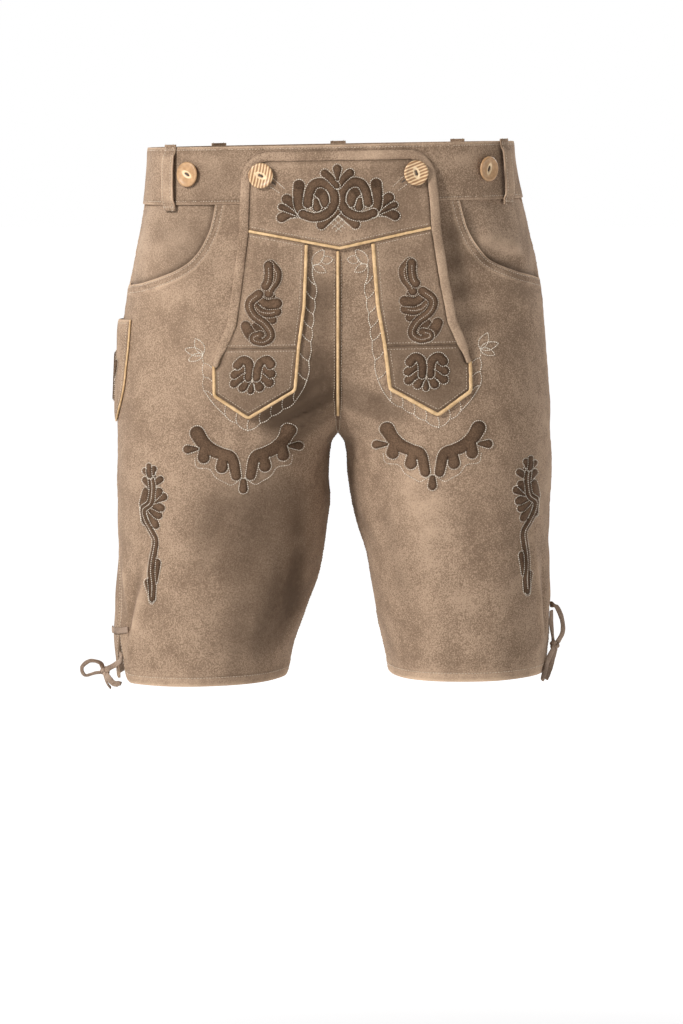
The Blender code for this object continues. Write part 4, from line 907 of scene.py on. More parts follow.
# %% Horn
BAND_PITCH, FINE_PITCH = 2.7, 1.1  # the horn's dark bands and its fine lines
horn_finish = Finish("horn", roughness=0.4)
grain_run = horn_finish.attribute("grain") + horn_finish.noise(7.0, 2.0) * 0.8
bands = grain_run * (2 * math.pi / BAND_PITCH)
fine_lines = (grain_run * (2 * math.pi / FINE_PITCH)).sine() * 0.14
striped = bands.sine().between(-0.25, 0.55)
cloudy = (horn_finish.noise(3.2, 3.0) + fine_lines).between(0.3, 0.75)
horn_plain = horn_finish.mix(cloudy, (0.36, 0.2, 0.09), (0.51, 0.305, 0.155))
horn_banded = horn_finish.mix(striped, (0.3, 0.155, 0.07), (0.7, 0.49, 0.28))
horn_shade = horn_finish.mix(horn_finish.attribute("banded"), horn_plain, horn_banded)
horn_shade = horn_finish.mix(horn_finish.attribute("worn"), horn_shade, (0.8, 0.6, 0.37))
horn_shade = horn_finish.mix(horn_finish.attribute("grimy"), horn_shade, (0.045, 0.026, 0.015))
horn_finish.feed("Base Color", horn_shade)
horn_finish.feed("Roughness", 0.3 + horn_finish.noise(2.5, 2.0) * 0.25)
horn_finish.bump(horn_finish.noise(1.3, 3.0), 0.06, 0.5)
print("horn nodes:", len(horn_finish.tree.nodes))

# %% Threads
def thread(name, dark, light):
    """Twisted sewing thread."""
    finish = Finish(name, roughness=0.7, sheen_weight=0.15)
    finish.feed("Base Color", finish.mix(finish.noise(2.4, 2.0).between(0.3, 0.7), dark, light))
    finish.bump(finish.noise(0.35, 1.0), 0.08, 0.6)
    return finish


SEAM_THREAD = thread("seam_thread", (0.42, 0.33, 0.24), (0.64, 0.52, 0.4))
LIGHT_THREAD = thread("embroidery_thread", (0.5, 0.42, 0.33), (0.82, 0.73, 0.61))
DARK_OUTLINE = thread("dark_outline_thread", (0.38, 0.3, 0.225), (0.58, 0.48, 0.38))
DARK_THREAD = thread("dark_thread", (0.05, 0.034, 0.024), (0.1, 0.07, 0.05))
print("materials:", len(bpy.data.materials))

# %% [markdown]
# ## The leg panels
# Four panels make the body: a front and a back for each leg. Each is a fine grid on the cloth, so that
# every crease can show. Its columns stay above one another past the crotch, where the middle seam
# swings out. The sewn edges are worked as a leather worker leaves them: turned up at the hem, pressed
# into a narrow valley at a seam, with a slight pucker beside each row of stitches.

# %% The pocket's cut edge
SCOOP_LINES = {}
for side in SIDE_NAMES:
    ahead_column = column(SCOOP, SIDE_NAMES[side])
    SCOOP_LINES[side] = spline(np.column_stack([ahead_column, column(SCOOP, "z")]), 1.7)


def scoop_ahead(side, z):
    """How far the pocket's cut edge lies in front of the side line at heights z."""
    line = SCOOP_LINES[side]
    return np.interp(z, np.maximum.accumulate(line[:, 1]), line[:, 0])


def scoop_height(side, ahead):
    """Height of the pocket's cut edge at distances in front of the side line."""
    line = SCOOP_LINES[side]
    return np.interp(ahead, line[:, 0], line[:, 1])


def scoop_distance(side, ahead, z):
    """Distance from the pocket's cut edge of places in front of the side line."""
    line = SCOOP_LINES[side]
    flat = np.stack(np.broadcast_arrays(ahead, z), axis=-1)
    return np.linalg.norm(flat[..., None, :] - line, axis=-1).min(axis=-1)


print("lowest point of the right pocket:", scoop_height(RIGHT, 0.0), "mm")


# %% Panel edges
def panel_edge(side, face, z):
    """Where a panel ends: at the side seam, the pocket scoop, or the open slit."""
    z = np.asarray(z, float)
    full = full_arc(side, face, z)
    turn = table_value(SEAM_TURNS, SIDE_NAMES[side], z)
    seam = full - turn if face == "front" else full + turn
    edge = seam - SEWN_GAP / 2 - SLIT_OPEN * ease((SLIT_TOP - z) / (SLIT_TOP - HEM))
    if face == "front":
        scooped = full - SEWN_GAP / 2 - scoop_ahead(side, z)
        edge = np.where(z > SCOOP[0].z, scooped, edge)
    return edge


def panel_arcs(side, face, z, shares):
    """Distances along the cloth of a panel's columns; z and shares are broadcast together."""
    full = full_arc(side, face, z)
    start = np.where(z <= CROTCH, SEWN_GAP / 2, 0.0)
    usual = np.interp(z, LEVELS, USUAL_LENGTHS[side, face])
    ahead = full - panel_edge(side, face, z)
    left = 1 - shares
    return full - (ahead + (usual - ahead) * left + (full - start - usual) * left**3)


def corner_rise(from_edge):
    """How far the rounded lower corner lifts a panel's hem near its outer edge."""
    corner = 1 - np.clip(from_edge / HEM_CORNER, 0, 1)
    return HEM_CORNER * (1 - np.sqrt(1 - corner**2))


print("right front at the hem:", round(float(panel_edge(RIGHT, "front", HEM)), 1), "mm wide")


# %% Stitched leather
HEM_TURN = 9.5  # height of the turned-up hem
HEM_STITCH = 7.4
SIDE_STITCH = 2.6
SCOOP_STITCHES = (2.0, 7.2)


def pucker(along, across, reach, depth):
    """Small uneven waves that die out away from a row of stitches."""
    wave = np.sin(along * 0.74 + 1.3 * np.sin(along * 0.11)) + 0.6 * np.sin(along * 1.21 + 2.0)
    return depth * wave * hump(across, reach)


def groove(distance, place, depth=0.3, width=0.8):
    """The narrow furrow that a row of stitches pulls into the leather."""
    return -depth * hump(distance - place, width)


print("deepest furrow of a row of stitches:", -groove(0.0, 0.0, 0.4), "mm")


# %% Relief of a panel
def panel_relief(side, face, z, arc, edge):
    """Lift of the worked edges, and how rubbed and dirty the suede is there."""
    from_side = edge - arc
    above_hem = z - HEM
    lift = 0.5 * (1 - ease((above_hem - HEM_TURN) / 2.0)) + groove(above_hem, HEM_STITCH, 0.4)
    lift += pucker(arc, above_hem - HEM_STITCH, 8.0, 0.16)
    seam_lift = -0.55 * hump(from_side, 1.3) + groove(from_side, SIDE_STITCH, 0.28)
    seam_lift = seam_lift + 0.3 * hump(from_side - 5.0, 2.6)
    seam_lift = seam_lift + pucker(z, from_side, 9.0, 0.17)
    worn = 0.75 * hump(above_hem, 2.2) + 0.4 * hump(above_hem - 6, 5.0)
    seam_worn = 0.5 * hump(from_side, 2.6)
    if face == "front":
        scooped = z > SCOOP[0].z
        seam_lift, seam_worn = np.where(scooped, 0.0, seam_lift), np.where(scooped, 0.0, seam_worn)
        from_scoop = scoop_distance(side, full_arc(side, face, z) - arc, z)
        lift = lift + 0.4 * (1 - ease((from_scoop - 8.5) / 1.4))
        lift = lift + pucker(z + arc, from_scoop - 4, 9.0, 0.14)
        for place in SCOOP_STITCHES:
            lift = lift + groove(from_scoop, place, 0.3)
        worn = worn + 0.85 * hump(from_scoop, 1.9) + 0.5 * hump(from_scoop - 8.4, 1.5)
    lift, worn = lift + seam_lift, worn + seam_worn
    lift += -0.5 * hump(arc, 1.5) + groove(arc, 3.0, 0.22) + pucker(z, arc, 8.0, 0.15)
    grimy = 0.55 * hump(arc, 1.8) + 0.35 * hump(above_hem - 8.6, 1.0)
    grimy += 0.3 * hump(from_side - SIDE_STITCH, 1.0)
    return lift, worn, grimy


def on_panel(side, face, z, arc, lift):
    """Points over the worked face of a panel."""
    relief, _, _ = panel_relief(side, face, z, arc, panel_edge(side, face, z))
    return cloth(side, face, z, arc, relief + lift)


print("on the right hem:", on_panel(RIGHT, "front", HEM, 60.0, 0.0).round(1))

# %% Patches of wear and painted shade
PATCHES = table(
    "Patch",
    "place size worn grimy",
    # dark clouds low on the legs
    ((-82, -104, -330), 50, 0.0, 0.8),
    ((-50, -104, -300), 26, 0.0, 0.3),
    ((-62, -98, -438), 24, 0.0, 0.4),
    ((60, -98, -400), 30, 0.0, 0.25),
    # darker right side
    ((-108, -98, -25), 46, 0.0, 0.5),
    ((-140, -88, -88), 38, 0.0, 0.52),
    ((-70, -98, -430), 60, 0.0, 0.42),
    # painted shade on the inner right thigh, which faces away from the key
    ((-34, -70, -400), 42, 0.0, 0.7),
    # painted shade at the groins, and darker on the front between the strips
    ((-34, -104, -238), 30, 0.0, 1.3),
    ((0, -108, -236), 22, 0.0, 1.2),
    ((30, -104, -236), 22, 0.0, 0.3),
    ((-17, -110, -135), 27, 0.0, 0.9),
    ((-14, -108, -192), 28, 0.0, 0.9),
    # rubbed pale over hips, thighs and knee
    ((-150, -76, -120), 40, 0.22, 0.0),
    ((-135, -92, -190), 46, 0.2, 0.0),
    ((66, -106, -310), 44, 0.32, 0.0),
    ((70, -104, -440), 34, 0.15, 0.0),
    # painted shadow on the leather beside the flap
    ((101, -98, -80), 13, 0.0, 0.8),
    ((104, -97, -104), 13, 0.0, 0.8),
    ((109, -95, -130), 12, 0.0, 0.8),
    ((118, -92, -158), 11, 0.0, 0.6),
    # rubbed pale along the outer legs; rubbed wear and painted highlight on the ridges beside the slits
    ((165, -60, -420), 50, 0.1, 0.0),
    ((-167, -78, -374), 9, 0.4, 0.0),
    ((-173, -74, -397), 9, 0.45, 0.0),
    ((-180, -69, -420), 9, 0.4, 0.0),
    ((-190, -46, -384), 8, 0.4, 0.0),
    ((176, -56, -380), 11, 0.35, 0.0),
    ((180, -50, -420), 11, 0.35, 0.0),
    # the back
    ((90, 125, -160), 60, 0.25, 0.0),
    ((-90, 125, -165), 60, 0.25, 0.0),
    ((-20, 100, -300), 70, 0.0, 0.3),
    ((-110, 98, -420), 50, 0.0, 0.25),
)


def wear_and_shade_patches(points):
    """Pale and dark patches that years of wear leave, with painted shade and highlight among them, before the
    fine clouds of the suede.
    """
    worn, grimy = np.zeros(points.shape[:-1]), np.zeros(points.shape[:-1])
    for patch in PATCHES:
        near = hump(np.linalg.norm(points - patch.place, axis=-1), patch.size)
        worn, grimy = worn + patch.worn * near, grimy + patch.grimy * near
    return worn, grimy


def fold_shade_and_wear(points):
    """Painted highlight on the folds' ridges and painted shade in their hollows, with the patches of wear and
    shade.
    """
    depth = fold_depth(points.reshape(-1, 3)).reshape(points.shape[:-1])
    worn, grimy = wear_and_shade_patches(points)
    # painted shade in the fold hollows, darkest in the deepest creases; painted highlight on the ridges
    hollow = 0.5 * np.clip(-depth / 2.4, 0, 1) + 1.1 * np.clip((-depth - 3.6) / 2.4, 0, 1)
    return worn + 0.42 * np.clip(depth / 2.4, 0, 1), grimy + hollow


print("patches of wear:", len(PATCHES))


# %% A sewn piece
def suede_piece(node, outer, inner, numbers, finish=BODY_SUEDE, slot="suede", edge_round=0.22):
    """A closed skin of suede that stands for its CAD node."""
    made = suede_shell(f"{node}_suede", outer, inner, finish, numbers, edge_round)
    return settle(made, slot, node)


print("a sewn piece is", HIDE, "mm thick")

# %% The four panels
PANEL_COLUMNS, ROW_STEP = 102, 3.7
FORK_ROWS = CROTCH + np.array([-6, -4, -2.5, -1.2, 0, 0.4, 1, 2, 3.2, 4.6, 6.4, 8.5])  # close rows
CORNER_FADE = 40.0  # height over which a lower corner's rounding dies out
SEWN_IN = 0.02  # the middle seam's edges, from the middle plane


def panel(side, face):
    """One leg panel as a closed shell, from the hem to the waistband."""
    low = np.linspace(HEM, HEM + 12, 11)
    plain = np.arange(HEM + 15, PANEL_TOP - 2, ROW_STEP)
    plain = plain[np.abs(plain - CROTCH - 1.3) > 9.5]
    heights = [low, FORK_ROWS, plain, [PANEL_TOP - 1.5, PANEL_TOP]]
    if face == "front":
        line = SCOOP_LINES[side]
        curve = np.maximum.accumulate(line[line[:, 1] < PANEL_TOP - 1.5, 1])
        plain = plain[plain < SCOOP[0].z - 2]
        heights = [low, FORK_ROWS, plain, [SCOOP[0].z - 0.6], curve, [PANEL_TOP]]
    heights = np.unique(np.round(np.concatenate(heights), 2))
    spread = np.linspace(0, 1, PANEL_COLUMNS)
    shares = spread - 0.045 * np.sin(2 * math.pi * spread)
    z, share = np.meshgrid(heights, shares, indexing="ij")
    arc = panel_arcs(side, face, z, share)
    edge = panel_edge(side, face, z)
    height = z + corner_rise(edge - arc) * np.clip(1 - (z - HEM) / CORNER_FADE, 0, 1)
    lift, worn, grimy = panel_relief(side, face, z, arc, edge)
    outer = cloth(side, face, height, arc, lift)
    inner = cloth(side, face, height, arc, -HIDE)
    meeting = heights >= CROTCH - 0.5
    for skin in (outer, inner):
        skin[meeting, 0, 0] = side * SEWN_IN
    # painted highlight on the folds' ridges and painted shade in their hollows
    ridge, hollow = fold_shade_and_wear(outer)
    name = f"{face}_{SIDE_NAMES[side]}"
    numbers = {"worn": worn + ridge, "grimy": grimy + hollow}
    made = suede_piece(name, outer, inner, numbers)


for side, face in KINDS:
    panel(side, face)

# %% [markdown]
# ## Pocket facings
# The pocket opening is a scoop cut out of the front panel. Behind it lies a second piece of suede, the
# facing, which rises to meet the side seam. It is set back under the front, so the scoop's edge throws
# a thin shadow on it, and a painted shadow darkens the facing along that edge too.

# %% Pocket facings
FACING_TOP = BAND_BOTTOM + 2.0  # its top edge is sewn in behind the waistband
FACING_LOW = -130.0


def pocket_facing(side):
    """The piece that shows inside the scoop."""
    heights = np.linspace(FACING_LOW, FACING_TOP, 44)
    z, share = np.meshgrid(heights, np.linspace(1, 0, 52), indexing="ij")
    full = full_arc(side, "front", z) - SEAM_GAP
    reach = scoop_ahead(side, z + FACING_UNDERLAP) + FACING_UNDERLAP
    ahead = reach * share
    clear = np.minimum(scoop_ahead(side, z) - ahead, z - scoop_height(side, ahead))
    depth = -(HIDE + FACING_SINK) + (HIDE + 1.6) * ease((clear - 3) / 26)
    raised = -0.3 - (HIDE + FACING_SINK - 0.3) * (1 - ease((clear + 0.3) / 2.0))
    depth = depth + (raised - depth) * hump(ahead, 8)
    sewn_in = ease((z - BAND_BOTTOM + 8) / 9) * ease((clear - 0.5) / 3)
    depth = depth + (BAND_IN - 0.3 - depth) * sewn_in
    rumple = 0.45 * np.sin(z * 0.16 + ahead * 0.05) * np.sin(ahead * 0.11 + 1.0)
    rumple = rumple * ease((clear - 6) / 20)
    seam = -0.4 * hump(ahead, 1.4) + groove(ahead, SIDE_STITCH, 0.25)
    outer = cloth(side, "front", z, full - ahead, depth + rumple + seam)
    # painted highlight on the folds' ridges and painted shade in their hollows
    old_wear_and_highlight, old_grime_and_shade = fold_shade_and_wear(outer)
    inner = cloth(side, "front", z, full - ahead, depth - HIDE)
    name = f"pocket_facing_{SIDE_NAMES[side]}"
    # painted shadow along the scoop's edge, where the front overhangs the facing
    shade = 0.75 * (1 - ease(clear / 9))
    numbers = {"worn": 0.3 * hump(ahead, 2.6) + old_wear_and_highlight, "grimy": shade + old_grime_and_shade}
    made = suede_piece(name, outer, inner, numbers, FACING_SUEDE, "facing_suede")


for side in SIDE_NAMES:
    pocket_facing(side)

# %% [markdown]
# ## Waistband
# A doubled strip of suede runs round the top and grips the panels. It has a row of stitches along each
# edge and a little waviness from wear. It is built in two halves that meet at centre front, under the
# flap, and at centre back, under a belt loop.

# %% Waistband
BAND_STITCHES = (2.4, 2.8)  # from the top edge and from the bottom edge
HALF_BAND = 450  # about the length of one half, for the waves along it


def around(side, z, share, lift):
    """A point on half the waist, from centre front (0) over the side seam to centre back (1)."""
    total = full_arc(side, "front", z) + full_arc(side, "back", z)
    return cloth(side, "front", z, share * total, lift)


def waistband(side):
    """Half of the waistband."""
    heights = np.linspace(BAND_BOTTOM, BAND_TOP, 30)
    z, share = np.meshgrid(heights, np.linspace(0, 1, 230), indexing="ij")
    along = share * HALF_BAND
    from_top, from_bottom = BAND_TOP - z, z - BAND_BOTTOM
    lift = groove(from_top, BAND_STITCHES[0], 0.34) + groove(from_bottom, BAND_STITCHES[1], 0.34)
    lift += pucker(along, from_top - 2, 8.0, 0.16) + pucker(along + 9, from_bottom - 3, 8.0, 0.16)
    waves = np.sin(along * 0.085 + 0.6 * np.sin(z * 0.12)) * np.sin(z * 0.075 + along * 0.013)
    lift += 0.32 * waves
    lift -= 0.45 * hump(from_top, 0.9) + 0.35 * hump(from_bottom, 0.9)
    outer = around(side, z, share, BAND_OUT + lift)
    inner = around(side, z, share, BAND_IN)
    name = f"waistband_{SIDE_NAMES[side]}"
    worn = 0.7 * hump(from_top, 2.0) + 0.45 * hump(from_bottom, 2.0)
    worn += 0.18 * (1 + np.sin(along * 0.06 + 1)) * hump(from_top - 14, 10)
    grimy = 0.3 * hump(from_bottom - 3, 1.2) + 0.25 * hump(from_top - 3.4, 1.0)
    old_wear_and_highlight, old_grime_and_shade = wear_and_shade_patches(outer)
    numbers = {"worn": worn + old_wear_and_highlight, "grimy": grimy + old_grime_and_shade}
    made = suede_piece(name, outer, inner, numbers)
    middle = (BAND_TOP + BAND_BOTTOM) / 2
    long = float(full_arc(side, "front", middle) + full_arc(side, "back", middle)) * MM
    print(name, f"{long * 1000:.0f} mm long")


for side in SIDE_NAMES:
    waistband(side)

# %% [markdown]
# ## The drop-front flap
# The flap hangs from two buttons and covers the front opening. It is built up from a yoke, two long
# strips and their pointed ends, with a rolled binding round the free edge. Each piece follows the
# front of the panels at a small distance. The sides stand off further, because nothing holds them.

# %% Flap sizes
FLAP_TOP = -5.0
FLAP_CORNER = 25.0
FLAP_SWAY = 4.5  # how far the hanging tip has swung to one side
FLAP_LIFT_HIGH, FLAP_LIFT_LOW = 2.3, 0.7
SIDE_LIFT = {RIGHT: 1.5, LEFT: 4.5}
BINDING_WIDTH, BINDING_HEIGHT = 8.5, 3.4
BINDING_END = -188.0
PIPING_RADIUS = 1.3
PIPING_CLEAR = PIPING_RADIUS + SEAM_GAP
YOKE_SIDE, YOKE_APEX = -73.5, -89.5
STRIP_SEAM = -176.0
POINT_TIP = (83.0, -237.0)
POINT_OUTER, POINT_INNER = (112.0, -217.0), (42.0, -213.5)
FLAP_EDGES = table(
    "FlapEdge",
    "z half_width",
    (-192, 115),
    (-183, 112),
    (-173, 107),
    (-155, 99),
    (-124, 93.5),
    (-75, 86.5),
    (-46, 85),
    (-30, 84),
    (-5, 83),
)
STRIP_EDGES = table("StripEdge", "z across", (-214, 42), (-174, 37.5), (-140, 32), (-84, 28.5))
print("flap:", FLAP_TOP - POINT_TIP[1], "mm long")


# %% Edges of the flap
def flap_half_width(z):
    """Half the bound flap's width at heights z."""
    return table_value(FLAP_EDGES, "half_width", z)


def inside_binding(z):
    """How far out the suede inside the binding reaches."""
    return flap_half_width(z) - BINDING_WIDTH - SEAM_GAP


def strip_inner_edge(z):
    """Distance of a strip's inner edge from the middle."""
    return table_value(STRIP_EDGES, "across", z)


def yoke_seam(x):
    """Height of the V seam under the yoke."""
    reach = flap_half_width(YOKE_SIDE) - BINDING_WIDTH
    return YOKE_APEX + (YOKE_SIDE - YOKE_APEX) * np.abs(x) / reach


print("V seam:", YOKE_SIDE - YOKE_APEX, "mm deep over", 2 * inside_binding(YOKE_SIDE), "mm")


# %% Where the flap hangs
def flap_lift(x, z):
    """Clearance between the flap's inner face and the panels."""
    high = ease((z + 192) / 80)
    lift = FLAP_LIFT_LOW + (FLAP_LIFT_HIGH - FLAP_LIFT_LOW) * high
    side_lift = np.where(np.asarray(x) >= 0, SIDE_LIFT[LEFT], SIDE_LIFT[RIGHT])
    free = ease((z + 196) / 40) * ease((-16 - z) / 36)
    return lift + side_lift * free * ease((np.abs(x) - 48) / 46)


def flap_sway(z):
    """How far the hanging flap has swung to one side at heights z."""
    return FLAP_SWAY * (FLAP_TOP - np.asarray(z, float)) / (FLAP_TOP - POINT_TIP[1])


def on_flap(x, z, lift):
    """Points over the flap's outer face, with its sway put in."""
    return front_place(x + flap_sway(z), z, flap_lift(x, z) + HIDE + lift)


def flap_piece(name, x, z, from_edge):
    """A flap piece from grids of places and of distances to its nearest sewn edge."""
    relief = 0.25 * np.sin(x * 0.09 + 0.5) * np.sin(z * 0.07) - 0.32 * hump(from_edge, 1.1)
    relief += pucker(x + z, from_edge, 7.0, 0.11) + groove(from_edge, 2.6, 0.22)
    worn = 0.3 * hump(from_edge - 4, 3.5)
    grimy = 0.3 * hump(from_edge, 1.3) + 0.28 + 0.3 * ease((-120 - z) / 60)
    grimy = grimy + 0.16 * (x > 28)
    return suede_piece(name, on_flap(x, z, relief), on_flap(x, z, -HIDE), {"worn": worn, "grimy": grimy})


print("clearance at the left edge:", round(float(flap_lift(90.0, -120.0)), 1), "mm")


# %% Yoke
EDGE_PASSES = 5  # width and height of the grid depend on each other, so they are settled in turns


def flap_yoke():
    """The top of the flap, above the V seam, with rounded upper corners."""
    clear = BINDING_WIDTH + SEAM_GAP
    corner, top = FLAP_CORNER - clear, FLAP_TOP - clear
    spread = np.linspace(-1, 1, 121)
    u, v = np.meshgrid(spread - 0.06 * np.sin(math.pi * spread), np.linspace(0, 1, 62))
    wide = flap_half_width(FLAP_TOP) - clear
    reach = np.clip(np.abs(u) * wide - (wide - corner), 0, corner) / corner
    upper = top - corner * (1 - np.sqrt(np.clip(1 - reach**2, 0, 1)))
    z = np.full(u.shape, YOKE_SIDE)
    for _ in range(EDGE_PASSES):
        x = u * (flap_half_width(z) - clear)
        low = yoke_seam(x) + PIPING_CLEAR + 0.1
        z = upper + (low - upper) * v
    side_way = (1 - np.abs(u)) * wide
    edge = np.minimum(np.minimum(upper - z, z - low), side_way)
    made = flap_piece("flap_yoke", x, z, edge)


flap_yoke()

# %% Strips and points
STRIP_PASSES = 7
TIP_ALONG = 0.585  # where the tip lies, from the inner to the outer edge


def strip_part(kind, side, x, z, sides, from_ends):
    """A strip or a point over one leg, between its two side edges."""
    inner, outer = sides
    name, carrier = f"{kind}_{SIDE_NAMES[side]}", f"front_{SIDE_NAMES[side]}"
    edge = np.minimum(from_ends, np.minimum(x - inner, outer - x))
    made = flap_piece(name, side * x, z, edge)


def flap_strip(side):
    """The long strip under the yoke, down to its cross seam."""
    u, v = np.meshgrid(np.linspace(0, 1, 58), np.linspace(0, 1, 84))
    z = np.full(u.shape, -120.0)
    for _ in range(STRIP_PASSES):
        inner, outer = strip_inner_edge(z) + PIPING_CLEAR, inside_binding(z)
        x = inner + (outer - inner) * u
        upper = yoke_seam(x) - PIPING_CLEAR
        z = upper + (STRIP_SEAM + SEAM_GAP / 2 - upper) * v
    from_ends = np.minimum(upper - z, z - STRIP_SEAM)
    strip_part("flap_strip", side, x, z, (inner, outer), from_ends)


def strip_point(side):
    """The pointed lower end of a strip, sewn down on the leg."""
    u, v = np.meshgrid(np.linspace(0, 1, 70), np.linspace(0, 1, 56))
    slant = np.where(u < TIP_ALONG, u / TIP_ALONG, (1 - u) / (1 - TIP_ALONG))
    side_height = np.where(u < TIP_ALONG, POINT_INNER[1], POINT_OUTER[1])
    low = side_height * (1 - slant) + POINT_TIP[1] * slant + PIPING_CLEAR * 1.35
    z = STRIP_SEAM - SEAM_GAP / 2 + (low - STRIP_SEAM) * v
    inner, bound = strip_inner_edge(z) + PIPING_CLEAR, inside_binding(z)
    outer = bound + (POINT_OUTER[0] - PIPING_CLEAR - bound) * ease((BINDING_END - 2.5 - z) / 5)
    x = inner + (outer - inner) * u
    from_ends = np.minimum(STRIP_SEAM - z, (z - low) * 0.85)
    strip_part("strip_point", side, x, z, (inner, outer), from_ends)


for side in SIDE_NAMES:
    flap_strip(side)
    strip_point(side)

# %% [markdown]
# ### Binding and piping
# The binding is a strip of suede rolled over the flap's raw edge and stitched down, so it is a fat,
# soft bead. Piping is a thin leather-covered cord let into a seam. Both are closed bars that follow a
# path on the flap; the binding tapers where its ends are sewn down on the leg.

# %% Binding
BINDING_STEP = 1.5


def binding_line():
    """Flat path of the middle of the binding, from one end up, across and down."""
    inset = BINDING_WIDTH / 2
    heights = np.array([BINDING_END - 3.5, -181, -170, -155, -140, -124, -100, -75, -46])
    half = list(zip(flap_half_width(heights) - inset, heights))
    corner = FLAP_CORNER - inset
    middle = (float(flap_half_width(-30)) - FLAP_CORNER, FLAP_TOP - FLAP_CORNER)
    for turn in np.linspace(0, math.pi / 2, 9):
        half.append((middle[0] + corner * math.cos(turn), middle[1] + corner * math.sin(turn)))
    top = [(x, FLAP_TOP - inset) for x in (40, 20, 0, -20, -40)]
    return resampled([*half, *top, *[(-x, z) for x, z in half[::-1]]], BINDING_STEP)


def flap_binding():
    """The rolled edge, uneven as hand work is."""
    x, z = binding_line().T
    run = np.arange(len(x)) * BINDING_STEP
    taper = 0.55 + 0.45 * ease((z - BINDING_END) / 15)
    soft = 1 + 0.035 * np.sin(run * 0.21) + 0.025 * np.sin(run * 0.53 + 1)
    wide, high = BINDING_WIDTH / 2 * taper * (soft * 0.5 + 0.5), BINDING_HEIGHT / 2 * soft
    worn = 0.28 + 0.16 * np.sign(x) + 0.1 * np.sin(run * 0.09)
    path, out = on_flap(x, z, 0.5 - HIDE / 2), outward(on_flap, x, z)
    made = tube("flap_binding_suede", path, out, wide, high, 22, BODY_SUEDE, {"worn": worn}, 2.35)
    settle(made, "suede", "flap_binding")


flap_binding()

# %% Piping
PIPING_SINK = 0.5  # how deep its middle lies under the flap's face
PIPING_STEP = 1.4
POINT_ROUND, ROUND_STEPS = 2.2, 6  # how the piping bends at the corners of a point
STRIP_PIPING_WIDE = {RIGHT: 1.1, LEFT: 1.3}  # widths beside a round cord


def piping_bar(node, path, out, wide, high):
    """A bar of piping leather that stands for its CAD node."""
    bar = tube(f"{node}_leather", path, out, wide, high, 12, piping_finish)
    settle(bar, "piping_leather", node)


def flap_piping(node, flat, wide=1.0):
    """Piping along a flat path of the flap, a little uneven in thickness."""
    x, z = flat.T
    run = np.arange(len(x))
    plump = PIPING_RADIUS * (1 + 0.05 * np.sin(run * 0.9) + 0.03 * np.sin(run * 2.3))
    piping_bar(node, on_flap(x, z, -PIPING_SINK), outward(on_flap, x, z), plump * wide, plump)


print("piping is", 2 * PIPING_RADIUS, "mm thick")


# %% Piping of the flap's seams
def rounded(points):
    """A flat path with its inner corners rounded."""
    made = [np.array(points[0], float)]
    for before, corner, after in zip(points, points[1:], points[2:]):
        before, corner, after = (np.array(p, float) for p in (before, corner, after))
        back, on = unit(before - corner), unit(after - corner)
        for u in np.linspace(0, 1, ROUND_STEPS):
            made.append(corner + POINT_ROUND * ((1 - u) ** 2 * back + u**2 * on))
    return [*made, np.array(points[-1], float)]


def strip_piping_line(side):
    """Flat path of the piping down a strip's inner edge and round its point."""
    heights = np.array([-105, -122, -140, -157, -174, -190, -204])
    start_height = float(yoke_seam(strip_inner_edge(-88))) - 2 * PIPING_RADIUS - SEAM_GAP
    start = (float(strip_inner_edge(-90)), start_height)
    inner = [start, *zip(strip_inner_edge(heights), heights)]
    lower = [inner[-1], POINT_INNER, POINT_TIP, POINT_OUTER, (POINT_OUTER[0] - 0.4, -191.0)]
    return resampled([*inner[:-1], *rounded(lower)], PIPING_STEP) * np.array([side, 1])


YOKE_REACH = float(inside_binding(YOKE_SIDE))
vee = np.linspace(-YOKE_REACH, YOKE_REACH, 121)
flap_piping("piping_yoke", np.column_stack([vee, yoke_seam(vee)]))
for side in SIDE_NAMES:
    flap_piping(f"piping_strip_{SIDE_NAMES[side]}", strip_piping_line(side), STRIP_PIPING_WIDE[side])
print("piping round a point:", round(path_length(strip_piping_line(RIGHT)), 3), "m")

# %% Piping of the middle seam
MIDDLE_POINTS, MIDDLE_LOW = 110, -238.0
middle_heights = np.linspace(YOKE_APEX - 2 * PIPING_RADIUS - SEAM_GAP, MIDDLE_LOW, MIDDLE_POINTS)
middle_lift = PIPING_CLEAR + 1.4 * ease((-200 - middle_heights) / 20)
middle_path = front_place(SEAM_GAP, middle_heights, middle_lift) * np.array([0, 1, 1])
middle_out = np.tile([0.0, -1.0, 0.0], (MIDDLE_POINTS, 1))
piping_bar("piping_middle", middle_path, middle_out, PIPING_RADIUS, PIPING_RADIUS)
print("piping of the middle seam:", round(path_length(middle_path), 3), "m")

# %% [markdown]
# ## Buttons
# A turned button is a profile spun round its axis, but these have an oblong recess for the thread, so
# each is a round grid whose height falls inside an oval. The number "grain" runs across the button, and
# the finish draws the horn's bands along it.

# %% Button sizes
BUTTON_PROFILE = table(
    "ButtonRing",
    "radius height",
    (2.6, 0.0),
    (2.6, 1.2),
    (7.6, 1.35),
    (9.6, 1.75),
    (10.7, 2.4),
    (11.0, 2.95),
    (10.85, 3.55),
    (10.3, 4.0),
    (9.5, 4.2),
    (8.7, 4.1),
    (7.9, 3.75),
    (6.8, 3.55),
    (5.4, 3.45),
    (4.6, 3.42),
    *[(radius, 3.4) for radius in (3.9, 3.3, 2.7, 2.1, 1.4, 0.7)],
)
FACE_RING = 9  # the first ring of the profile that belongs to the button's face
BUTTON_SPOKES = 56
RECESS = (3.5, 1.75, 0.75)  # half length, half width and depth of the oblong recess
FACE_HEIGHT, THREAD_REACH = 3.4, 2.2
FLAP_BUTTON = (66.0, -25.5)
BRACE_BUTTON = (129.5, -23.5)
BACK_BUTTON_ACROSS, BACK_BUTTON_Z = 62.0, -25.0
